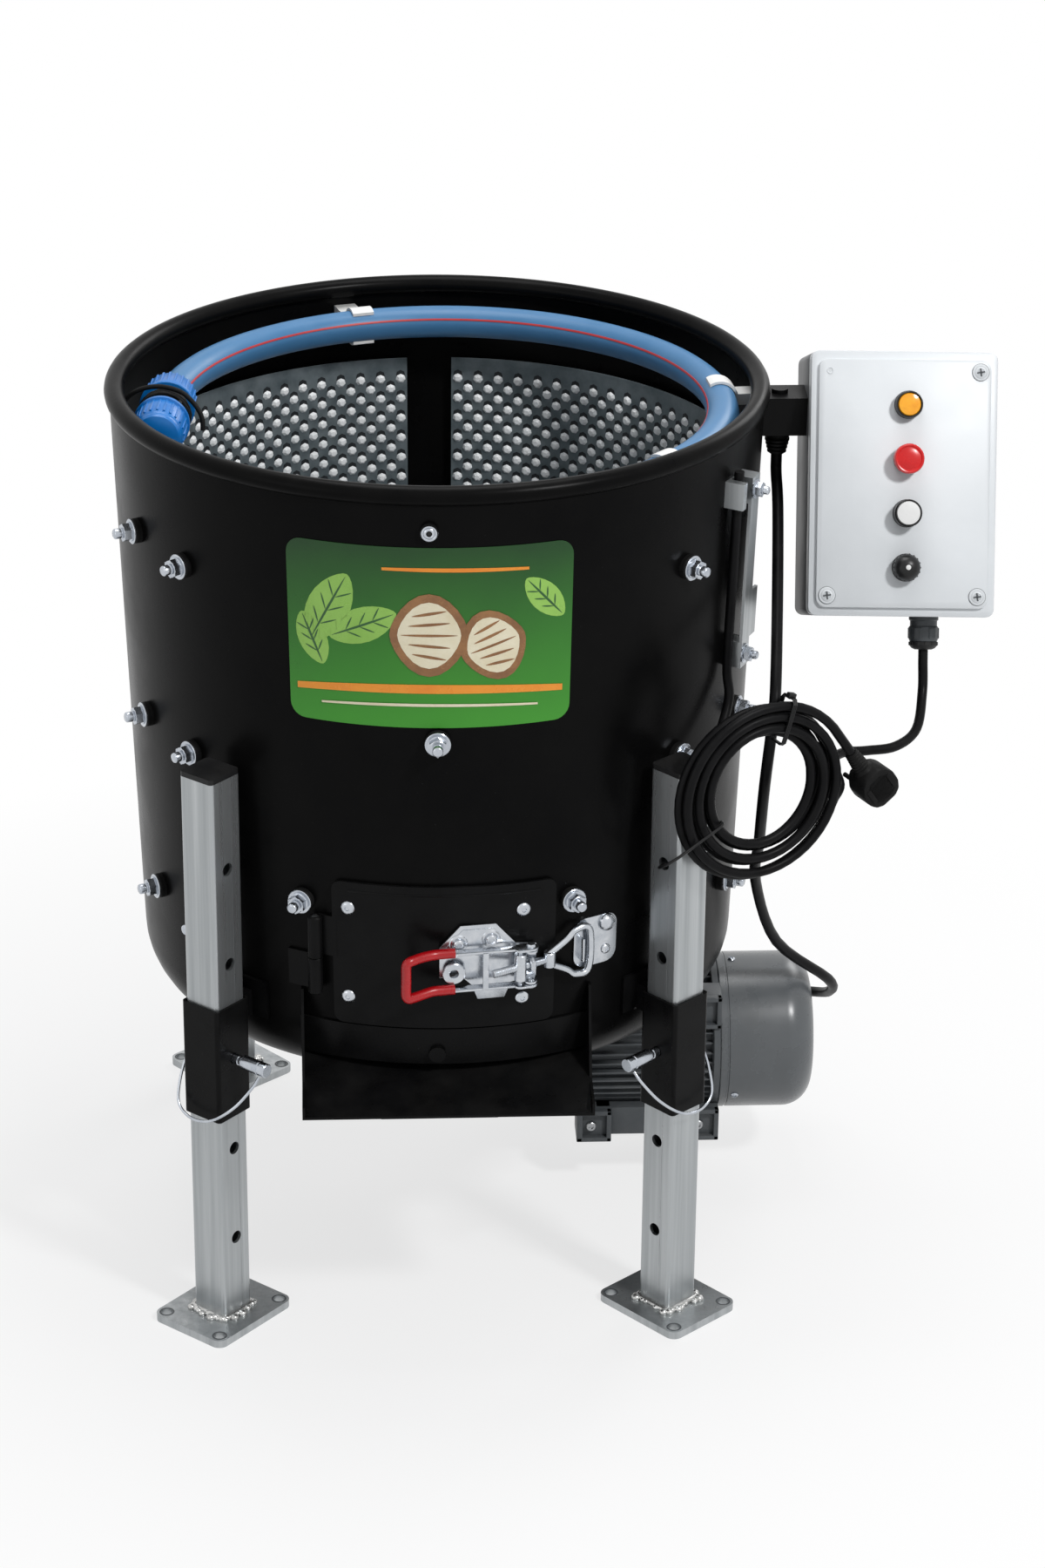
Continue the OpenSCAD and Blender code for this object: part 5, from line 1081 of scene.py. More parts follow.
@dataclass
class Drum:
    """Drum shell with its lip, grater liner, liner bolts and label."""

    rim_r: float = 320.0
    rim_h: float = 892.0
    lip_r: float = 9.5
    wall_t: float = 3.0
    drum_z: float = 264.0
    drum_round: float = 60.0
    shaft_hole: float = 20.0
    open_a: float = 16.0
    open_z: tuple = (352.0, 476.0)
    liner_off: float = -13.0
    liner_t: float = 2.0
    liner_z: tuple = (336.0, 806.0)
    joint_a: float = 58.7
    tooth_step: float = 10.8
    tooth_rows: int = 44
    front_spots: tuple = ((-50.8, 774), (-50.8, 583), (-50.8, 399.5), (46.3, 775), (46.3, 583), (46.3, 399.5),
                          (-26.7, 463.4), (23, 464.8), (-1.7, 640.6))
    side_spots: tuple = ((-66.5, 781), (-67, 590.7), (-66.2, 407.9), (67, 590.7), (67, 405.1), (168.5, 636.8),
                         (168.5, 509.9), (168.5, 383), (-168.5, 636.8), (-168.5, 509.9), (-168.5, 383))
    badge: tuple = (-3.1, 849.4)
    label: tuple = (-27.7, 21.4, 655.0, 834.0)

    def shell_line(self, inset: float) -> list[tuple[float, float]]:
        """Return radius and height of the shell from the shaft hole to the lip, moved in by inset."""
        top = self.drum_z + self.drum_round
        centre = wall_radius(top) - self.drum_round
        r = self.drum_round - inset
        line = [(self.shaft_hole, self.drum_z + inset)]
        line += [(centre + r * math.sin(math.radians(9 * i)), top - r * math.cos(math.radians(9 * i)))
                 for i in range(11)]
        heights = (*self.open_z, 560.0, 660.0, 760.0, self.rim_h - self.lip_r)
        line += [(wall_radius(z) - inset, z) for z in heights]
        return line

    def shell(self) -> None:
        """Spin the shell, cut the hatch opening and add the rolled lip."""
        bm = bmesh.new()
        outer, inner = self.shell_line(0.0), self.shell_line(self.wall_t)
        lathe(bm, [*outer, *reversed(inner), outer[0]], 180, Matrix.Identity(4))
        gone = []
        for f in bm.faces:
            c = f.calc_center_median()
            angle = math.degrees(math.atan2(c.x, -c.y))
            if abs(angle) < self.open_a and self.open_z[0] < c.z < self.open_z[1]:
                gone.append(f)
        bmesh.ops.delete(bm, geom=gone, context="FACES")
        rim = [e for e in bm.edges if e.is_boundary]
        bmesh.ops.bridge_loops(bm, edges=rim)
        lip = arc(self.rim_r - self.lip_r, self.rim_h - self.lip_r, self.lip_r, range(0, 361, 20))
        lathe(bm, lip, 180, Matrix.Identity(4))
        stand_for("drum_shell", bm, DRUM_BLACK, "drum")

    def liner_sheet(self, name: str, node: str, spans: Sequence[tuple[float, float]]) -> None:
        """Build liner sheets with their raised teeth.

        Args:
            name: name of the piece.
            node: CAD node it stands for.
            spans: first and last angle of each sheet.
        """
        bm, teeth, holes = bmesh.new(), bmesh.new(), bmesh.new()
        for a1, a2 in spans:
            cut = node == "liner_front"
            outline = [(a1, self.liner_z[0]), (a1, self.liner_z[1]), (a2, self.liner_z[1]),
                       (a2, self.liner_z[0])]
            if cut:
                outline += [(16.0, self.liner_z[0]), (16.0, self.open_z[1]), (-16.0, self.open_z[1]),
                            (-16.0, self.liner_z[0])]
            wrap_sheet(bm, outline, self.liner_off, self.liner_t)
            self.teeth(teeth, TOOTH, a1, a2, cut)
            self.teeth(holes, HOLE, a1, a2, cut)
        stand_for(name, bm, LINER_SHEET, node)
        # The teeth take the near-white finish: steel with a painted glint.
        stand_for(name + "_teeth", teeth, LINER_STEEL_AND_GLINT, like=node)
        stand_for(name + "_holes", holes, LINER_HOLE, like=node)

    def teeth(self, bm: BMesh, shape: Stud, a1: float, a2: float, cut: bool) -> None:
        """Add the staggered teeth of one sheet, or the holes behind them.

        Args:
            bm: mesh to add to.
            shape: sizes of one tooth or hole.
            a1: first angle of the sheet.
            a2: last angle of the sheet.
            cut: whether the sheet leaves the hatch free.
        """
        low, high = self.liner_z
        step = math.degrees(self.tooth_step / wall_radius((low + high) / 2))
        rise = (high - low) / self.tooth_rows
        middle, half = (a1 + a2) / 2, (a2 - a1) / 2
        begin = set(bm.verts)
        for odd in (0, 1):
            reach = int((half - 0.9 - odd * step) / (2 * step))
            first = middle - (2 * reach + odd) * step
            before = set(bm.verts)
            for row in range(2 + odd, self.tooth_rows - 1, 2):
                place = wall_out(first, low + rise * row, self.liner_off) @ Matrix.Rotation(math.pi, 4, "Y")
                spot = place @ shift(0, shape.up, shape.height / 2 - 0.1)
                bmesh.ops.create_cone(bm, cap_ends=True, segments=STUD_SIDES, radius1=shape.base,
                                      radius2=shape.top, depth=shape.height, matrix=spot)
            column = [v for v in bm.verts if v not in before]
            bm.normal_update()
            back = {f for v in column for f in v.link_faces
                    if len(f.verts) == STUD_SIDES
                    and f.normal.dot(f.calc_center_median().to_2d().to_3d()) > 0}
            bmesh.ops.delete(bm, geom=list(back), context="FACES_ONLY")
            count = 2 * reach + odd
            spin_copies(bm, column, 2 * step * count, count)
        self.clear_teeth(bm, [v for v in bm.verts if v not in begin], cut)

    def clear_teeth(self, bm: BMesh, verts: Sequence[bmesh.types.BMVert], cut: bool) -> None:
        """Take away the teeth in the hatch opening and under the bolt heads.

        Args:
            bm: mesh of the teeth.
            verts: vertices of the sheet's teeth.
            cut: whether the sheet leaves the hatch free.
        """
        per = math.radians(wall_radius(sum(self.liner_z) / 2))
        spots = [*self.front_spots, *self.side_spots]
        gone: set = set()
        for v in verts:
            angle = math.degrees(math.atan2(v.co.x, -v.co.y))
            gate = cut and v.co.z < self.open_z[1] + 5.0 and abs(angle) < self.open_a + 1.0
            if gate or any(abs(z - v.co.z) < 13.0 and abs(a - angle) * per < 13.0 for a, z in spots):
                gone.add(v)
        edge = list(gone)
        while edge:
            v = edge.pop()
            for e in v.link_edges:
                other = e.other_vert(v)
                if other not in gone:
                    gone.add(other)
                    edge.append(other)
        bmesh.ops.delete(bm, geom=list(gone), context="VERTS")

    def liner(self) -> None:
        """Build the three liner sheets."""
        edge = self.joint_a + 0.6
        self.liner_sheet("liner_side_sheets", "liner_sides", ((edge, 175.6), (-175.6, -edge)))
        self.liner_sheet("liner_front_sheet", "liner_front", ((1.2 - edge, edge - 1.2),))

    def bolts(self) -> None:
        """Build the liner bolts with washers, nuts and rubber bushes."""
        metal, rubber = bmesh.new(), bmesh.new()
        for angle, z in (*self.front_spots, *self.side_spots):
            at = wall_out(angle, z)
            lathe(rubber, [(5.05, -10.5), (12.0, -10.5), (12.0, 4.8), (11.2, 5.9), (5.05, 5.9)], 24, at)
            lathe(metal, [(5.0, 6.0), (11.4, 6.0), (12.0, 6.5), (12.0, 7.5), (11.4, 8.0), (5.0, 8.0)], 28, at)
            hex_nut(metal, 18.0, 8.0, 5.0, at @ shift(0, 0, 8.0))
            stud_end(metal, 5.0, 9.0, at @ shift(0, 0, 16.0))
            lathe(metal, [(5.0, 6.0), (5.0, -13.5), (9.5, -13.5), (9.5, -15.2), (8.0, -17.2), (4.5, -18.4),
                          (0.0, -18.5)],
                  20, at)
        stand_for("liner_bolt_set", metal, ZINC, "liner_bolts")
        stand_for("liner_bush_set", rubber, RUBBER, "liner_bushes")

    def sticker(self) -> None:
        """Lay the label with its own plain leaf and nut design."""
        a1, a2, z1, z2 = self.label
        bm = bmesh.new()
        wrap_sheet(bm, rounded_patch(a1, a2, z1, z2, 15.0), 0.2, 0.6, 1.0)
        sheet = stand_for("label_film", bm, LABEL_GREEN, "label_plate", sharp=50.0)
        sheet.data.materials.clear()
        sheet.data.materials.append(label_material())
        for i, art in enumerate(LabelArt):
            bm = bmesh.new()
            for outline in art.value[1]:
                line = [(a1 + (a2 - a1) * u, z1 + (z2 - z1) * v) for u, v in outline]
                wrap_sheet(bm, line, 0.82 + 0.16 * i, 0.12, 1.0)
            stand_for("label_" + art.name.lower(), bm, art.value[0], like="label_plate", sharp=60.0)

    def rivet(self) -> None:
        """Set the blind rivet over the label, with painted shade in its hole."""
        at = wall_out(*self.badge)
        bm = bmesh.new()
        lathe(bm, [(8.2, 0.1), (8.2, 3.4), (7.4, 4.5), (6.1, 4.9), (5.3, 4.5), (4.7, 5.2), (3.4, 5.6),
                   (2.8, 5.3), (2.7, 4.4)], 32, at)
        stand_for("badge_rivet", bm, ZINC, like="liner_bolts")
        # A black cap at the foot of the rivet's bore: painted shade in the hole.
        bm = bmesh.new()
        lathe(bm, [(2.8, 4.4), (1.6, 4.6), (0.0, 4.7)], 20, at)
        stand_for("badge_rivet_hole", bm, KNOB_BLACK, like="liner_bolts")

    def build(self) -> None:
        """Build the drum's pieces."""
        self.shell()
        self.liner()
        self.bolts()
        self.rivet()
        self.sticker()


def leaf_outline(u: float, v: float, length: float, width: float, turn: float) -> list[tuple[float, float]]:
    """Return a leaf shape on the label.

    Args:
        u: middle across the label, as a share.
        v: middle up the label, as a share.
        length: length as a share of the label's height.
        width: width as a share of the label's height.
        turn: turn in degrees.

    Returns:
        The corners as shares of the label.
    """
    points = []
    c, d = math.cos(math.radians(turn)), math.sin(math.radians(turn))
    for i in range(24):
        a = 2 * math.pi * i / 24
        x = length / 2 * math.cos(a)
        y = width / 2 * math.sin(a) * (0.55 + 0.45 * abs(math.sin(a)))
        points.append((u + (x * c - y * d) * 0.68, v + x * d + y * c))
    return points


def stripe_outline(v: float, high: float, bow: float, u1: float = 0.03,
                   u2: float = 0.97) -> list[tuple[float, float]]:
    """Return a bowed stripe across the label.

    Args:
        v: middle of the stripe up the label, as a share.
        high: height of the stripe, as a share.
        bow: rise of its middle, as a share.
        u1: left end, as a share.
        u2: right end, as a share.

    Returns:
        The corners as shares of the label.
    """
    us = [u1 + (u2 - u1) * i / 20 for i in range(21)]
    arch = [bow * (1 - ((u - 0.5) / 0.5) ** 2) for u in us]
    low = [(u, v + b - high / 2 * (0.4 + 0.6 * math.sin(math.pi * (u - u1) / (u2 - u1)))) for u,
           b in zip(us, arch)]
    top = [(u, v + b + high / 2) for u, b in zip(us, arch)]
    return [*low, *reversed(top)]


LABEL_GREEN = Finish("label_green", (0.012, 0.09, 0.014), (0.03, 0.17, 0.02), (0.26, 0.36), scale=6.0,
                     relief=0.02, specular=0.3)
LABEL_PALE = Finish("label_pale_green", (0.30, 0.56, 0.10), (0.24, 0.48, 0.07), (0.22, 0.32), scale=20.0,
                    relief=0.02)
LABEL_ORANGE = Finish("label_orange", (0.80, 0.23, 0.01), (0.86, 0.32, 0.02), (0.22, 0.32), scale=20.0,
                      relief=0.02)
LABEL_CREAM = Finish("label_cream", (0.80, 0.74, 0.56), (0.72, 0.64, 0.44), (0.22, 0.32), scale=40.0,
                     relief=0.02)
LABEL_BROWN = Finish("label_brown", (0.21, 0.09, 0.03), (0.32, 0.15, 0.05), (0.22, 0.32), scale=60.0,
                     relief=0.02)


LABEL_DARK = Finish("label_dark_green", (0.012, 0.075, 0.014), (0.02, 0.11, 0.02), (0.26, 0.36), scale=30.0,
                    relief=0.02)
LEAF_SHAPES = ((0.15, 0.64, 0.44, 0.22, 62), (0.27, 0.56, 0.38, 0.19, 24), (0.09, 0.46, 0.30, 0.16, 112),
          (0.90, 0.70, 0.30, 0.15, 132))
NUT_SHAPES = ((0.50, 0.52, 0.40, 0.46, 0), (0.72, 0.46, 0.34, 0.40, 20))


def veins(u: float, v: float, length: float, width: float, turn: float) -> list[list[tuple[float, float]]]:
    """Return the thin ribs of a leaf on the label, given as leaf_outline is."""
    c, d = math.cos(math.radians(turn)), math.sin(math.radians(turn))
    lines = [leaf_outline(u, v, length * 0.92, 0.012, turn)]
    for along in (-0.22, -0.02, 0.18):
        for side in (-1, 1):
            x, y = length * (along + 0.06), side * width * 0.17
            lines.append(leaf_outline(u + (x * c - y * d) * 0.68, v + x * d + y * c, width * 0.42, 0.008,
                                      turn + side * 42))
    return lines


def ridges(u: float, v: float, length: float, width: float, turn: float) -> list[list[tuple[float, float]]]:
    """Return the furrows of a nut on the label, given as leaf_outline is."""
    c, d = math.cos(math.radians(turn)), math.sin(math.radians(turn))
    lines = [leaf_outline(u, v, length * 0.72, 0.014, turn)]
    for k in (-2, -1, 1, 2):
        y = k * width * 0.13
        size = length * (0.62 - 0.09 * abs(k))
        lines.append(leaf_outline(u - y * d * 0.68, v + y * c, size, 0.016, turn + 5 * k))
    return lines


class LabelArt(Enum):
    """The plain shapes printed on the label, each with its colour and outlines."""

    LEAVES = (LABEL_PALE, tuple(leaf_outline(*leaf) for leaf in LEAF_SHAPES))
    VEINS = (LABEL_DARK, tuple(line for leaf in LEAF_SHAPES for line in veins(*leaf)))
    STRIPES = (LABEL_ORANGE, (stripe_outline(0.17, 0.05, 0.05),
                              stripe_outline(0.85, 0.022, 0.03, 0.34, 0.84)))
    HULLS = (LABEL_BROWN, tuple(leaf_outline(*nut) for nut in NUT_SHAPES))
    KERNELS = (LABEL_CREAM, (stripe_outline(0.09, 0.016, 0.04, 0.12, 0.88),
                             *[leaf_outline(u, v, a * 0.8, b * 0.8, t) for u, v, a, b, t in NUT_SHAPES]))
    RIDGES = (LABEL_BROWN, tuple(line for nut in NUT_SHAPES for line in ridges(*nut)))


def label_material() -> bpy.types.Material:
    """Return the label's green, dark at the top and brighter below."""
    material = LABEL_GREEN.build()
    nodes, links = material.node_tree.nodes, material.node_tree.links
    place = nodes.new("ShaderNodeTexCoord")
    split = nodes.new("ShaderNodeSeparateXYZ")
    height = nodes.new("ShaderNodeMapRange")
    height.inputs["From Min"].default_value = 0.66
    height.inputs["From Max"].default_value = 0.83
    blend = nodes.new("ShaderNodeMix")
    blend.data_type = "RGBA"
    blend.inputs["A"].default_value = (0.062, 0.36, 0.028, 1.0)
    blend.inputs["B"].default_value = (0.007, 0.028, 0.010, 1.0)
    over = nodes.new("ShaderNodeMix")
    over.data_type = "RGBA"
    over.inputs["Factor"].default_value = 0.7
    old = nodes["Principled BSDF"].inputs["Base Color"].links[0].from_socket
    links.new(place.outputs["Object"], split.inputs[0])
    links.new(split.outputs["Z"], height.inputs["Value"])
    links.new(height.outputs["Result"], blend.inputs["Factor"])
    links.new(old, over.inputs["A"])
    links.new(blend.outputs["Result"], over.inputs["B"])
    links.new(over.outputs["Result"], nodes["Principled BSDF"].inputs["Base Color"])
    return material


@dataclass
class WaterRing:
    """Spray pipe under the rim with its coupling and clips."""

    pipe_d: float = 32.0
    pipe_t: float = 3.0
    ring_r: float = 267.0
    ring_z: float = 859.0
    middle: tuple = (7.0, -9.0)
    clip_as: tuple = (48.0, 96.0, 197.0)
    a1: float = 42.0
    a2: float = 265.0
    joint_d: float = 42.0
    joint_l: float = 104.0
    nut_d: float = 54.0
    nut_l: float = 42.0
    ribs: int = 24
    overhang: float = 10.0
    grip: float = 26.0

    def ring_line(self, radius: float) -> list[tuple[float, float]]:
        """Return a closed circle of the pipe's section."""
        return arc(self.ring_r, self.ring_z, radius, range(0, 361, 15))

    def pipe(self) -> None:
        """Spin the pipe and its printed line."""
        place = shift(*self.middle, 0) @ turn_z(self.a1 - 90.0)
        centre = Vector(self.middle)
        span = self.a2 - self.a1
        bm = bmesh.new()
        lathe(bm, self.ring_line(self.pipe_d / 2), 90, place, span)
        lathe(bm, self.ring_line(self.pipe_d / 2 - self.pipe_t), 90, place, span)
        inner = []
        for f in bm.faces:
            c = f.calc_center_median()
            if math.hypot((c.xy - centre).length - self.ring_r, c.z - self.ring_z) < self.pipe_d / 2 - 1.5:
                inner.append(f)
        bmesh.ops.reverse_faces(bm, faces=inner)
        for end in (self.a1, self.a2):
            way = Vector((math.sin(math.radians(end)), -math.cos(math.radians(end)), 0.0))
            loops = [e for e in bm.edges if e.is_boundary
                     and ((e.verts[0].co.xy - centre).normalized() - way.xy).length < 0.05]
            bmesh.ops.bridge_loops(bm, edges=loops)
        stand_for("spray_pipe_ring", bm, PIPE_BLUE, "spray_pipe")
        bm = bmesh.new()
        line = []
        for turn, far in ((151.0, -0.2), (151.6, 0.35), (155.0, 0.5), (158.4, 0.35), (159.0, -0.2)):
            reach = self.pipe_d / 2 + far
            line.append((self.ring_r + reach * math.cos(math.radians(turn)),
                         self.ring_z + reach * math.sin(math.radians(turn))))
        lathe(bm, line, 90, place, span)
        stand_for("pipe_line", bm, PIPE_RED, like="spray_pipe")

    def coupling(self) -> None:
        """Build the coupling body and its two ribbed nuts."""
        place = (shift(*self.middle, 0) @ turn_z(self.a2 - 90.0)
                 @ shift(self.ring_r, self.joint_l / 2 + self.overhang - self.grip, self.ring_z)
                 @ Matrix.Rotation(math.radians(-90.0), 4, "X"))
        bm = bmesh.new()
        half, r = self.joint_l / 2, self.joint_d / 2
        lathe(bm, [(17.5, 2.0), (17.5, half), (r, half), (r, 14.0), (r + 1.6, 12.0), (r + 1.6, -12.0),
                   (r, -14.0),
                   (r, -half), (17.5, -half), (17.5, -2.0), (13.0, -2.0), (13.0, 2.0), (17.5, 2.0)], 36,
                   place)
        for k in range(4):
            block(bm, (-2.0, r + 0.6, -11.0), (2.0, r + 3.4, 11.0), place @ turn_z(90.0 * k + 45.0), 0.6)
        stand_for("coupling_barrel", bm, FIT_BLACK, "coupling_body")
        bm = bmesh.new()
        end = half + self.overhang
        foot = end - self.nut_l
        R = self.nut_d / 2
        for side in (0.0, math.pi):
            at = place @ Matrix.Rotation(side, 4, "X")
            lathe(bm, [(r + 0.1, foot), (R - 0.8, foot), (R, foot + 1.0), (R, foot + 5.0),
                       (R - 2.2, foot + 6.0),
                       (R - 2.6, end - 9.0), (R - 4.5, end - 4.0), (R - 7.5, end), (17.8, end),
                       (17.6, half + 0.2), (r + 0.1, half + 0.2), (r + 0.1, foot)], 48, at)
            before = set(bm.verts)
            block(bm, (-1.1, R - 3.4, foot + 5.0), (1.1, R - 1.6, end - 8.0), Matrix.Identity(4), 0.4, 1)
            rib = [v for v in bm.verts if v not in before]
            spin_copies(bm, rib, 360.0 * (self.ribs - 1) / self.ribs, self.ribs - 1)
            bmesh.ops.transform(bm, matrix=at, verts=[v for v in bm.verts if v not in before])
        lathe(bm, [(R - 4.2, end - 4.5), (R - 4.4, end - 2.0), (R - 6.0, end + 1.0), (R - 11.0, end + 3.4),
                   (8.0, end + 4.8), (0.0, end + 5.2)], 36, place)
        stand_for("coupling_nut_pair", bm, NUT_BLUE, "coupling_nuts")
        bm = bmesh.new()
        for lean, far in ((16.0, 2.0), (-11.0, -3.0), (4.0, 7.0)):
            turn = place @ shift(0, 0, far) @ Matrix.Rotation(math.radians(lean), 4, "X")
            loop = [turn @ Vector((x, y, 0.0)) for x, y in arc(0.0, 0.0, r + 3.4, range(0, 361, 20))]
            sweep(bm, loop, 1.9, 8)
        strap = ((43, -4, -6), (34, -17, -4), (20, -26, -1), (2, -29, 1), (-17, -25, 4), (-30, -14, 7),
                 (-37, -2, 10), (-38, 10, 13))
        sweep(bm, [place @ p for p in smooth_path(strap, 6)], 2.4, 10)
        stand_for("coupling_tie", bm, RUBBER, like="coupling_body", sharp=60.0)

    def build(self) -> None:
        """Build the ring's pieces."""
        self.pipe()
        self.coupling()
        dress("pipe_clips", PLASTIC_WHITE)
        bm = bmesh.new()
        for turn in self.clip_as:
            at = shift(*self.middle, 0) @ turn_z(turn)
            out = at @ Vector((0, -self.ring_r - 40.0, 0))
            angle = math.degrees(math.atan2(out.x, -out.y))
            at = wall_out(angle, self.ring_z) @ shift(0, 0, -7.0)
            for z in (-21.0, 21.0):
                block(bm, (-9.0, z - 4.0, -2.0), (9.0, z + 4.0, 1.5), at, 1.0)
                cross_head(bm, 3.6, 2.0, at @ shift(0, z, -2.0) @ Matrix.Rotation(math.pi, 4, "X"))
        stand_for("clip_feet", bm, PLASTIC_WHITE, like="pipe_clips")


@dataclass
class Hatch:
    """Curved door with its hinge and rivets."""

    span: tuple = (-20.8, 19.7)
    height: tuple = (340.0, 491.0)
    gap: float = 1.0
    thick: float = 3.0
    hinge_a: float = -23.8
    hinge_z: tuple = (371.0, 409.0, 452.0)
    knuckle: float = 7.0
    rivets: tuple = ((-17.8, 464), (13.6, 463), (-18, 369), (13.6, 368))

    def hinge_frame(self) -> Matrix:
        """Return the frame on the hinge axis at floor level."""
        r = wall_radius(self.hinge_z[2]) + self.knuckle + 0.5
        return turn_z(self.hinge_a) @ shift(0, -r, 0)

    def build(self) -> None:
        """Build the door, the hinge and the rivets."""
        low, mid, top = self.hinge_z
        r = self.knuckle
        at = self.hinge_frame()
        bm = bmesh.new()
        wrap_sheet(bm, rounded_patch(*self.span, *self.height, 9.0), self.gap, self.thick, 1.0)
        wrap_sheet(bm, [(self.hinge_a, mid + 1), (self.hinge_a, top), (self.span[0] + 1.0, top),
                        (self.span[0] + 1.0, mid + 1)], self.gap, self.thick)
        lathe(bm, [(3.6, mid), (r - 0.6, mid), (r, mid + 0.6), (r, top - 1.5), (r - 1.5, top), (3.6, top)],
              24, at)
        left, right, z = self.span[0] + 3.0, self.span[1] - 3.0, self.height[1] - 9.0
        off = self.gap + self.thick - 0.6
        sweep(bm, [wall_spot(left + (right - left) * i / 20, z, off) for i in range(21)], 1.4, 8)
        stand_for("hatch_door", bm, FRAME_BLACK, "door_panel")
        bm = bmesh.new()
        lathe(bm, [(3.6, low), (r - 1.2, low), (r, low + 1.2), (r, mid - 1.1), (r - 0.6, mid - 0.5),
                   (3.6, mid - 0.5)], 24, at)
        wrap_sheet(bm, [(self.hinge_a - 6.0, low), (self.hinge_a - 6.0, mid - 0.5),
                        (self.hinge_a, mid - 0.5), (self.hinge_a, low)], 0.1, self.thick)
        stand_for("hinge_fixed_leaf", bm, FRAME_BLACK, "hinge_leaf")
        bm = bmesh.new()
        lathe(bm, [(0.0, low), (3.5, low), (3.5, top - 0.2), (2.6, top), (0.0, top)], 16, at)
        stand_for("hinge_bolt", bm, STEEL, "hinge_pin")
        bm = bmesh.new()
        for angle, z in self.rivets:
            spot = wall_out(angle, z, self.gap + self.thick + 0.1)
            dome_head(bm, 7.0, 3.0, spot)
        stand_for("hatch_rivet_heads", bm, LATCH_ZINC, "door_rivets")
        dress("chute", FRAME_BLACK)


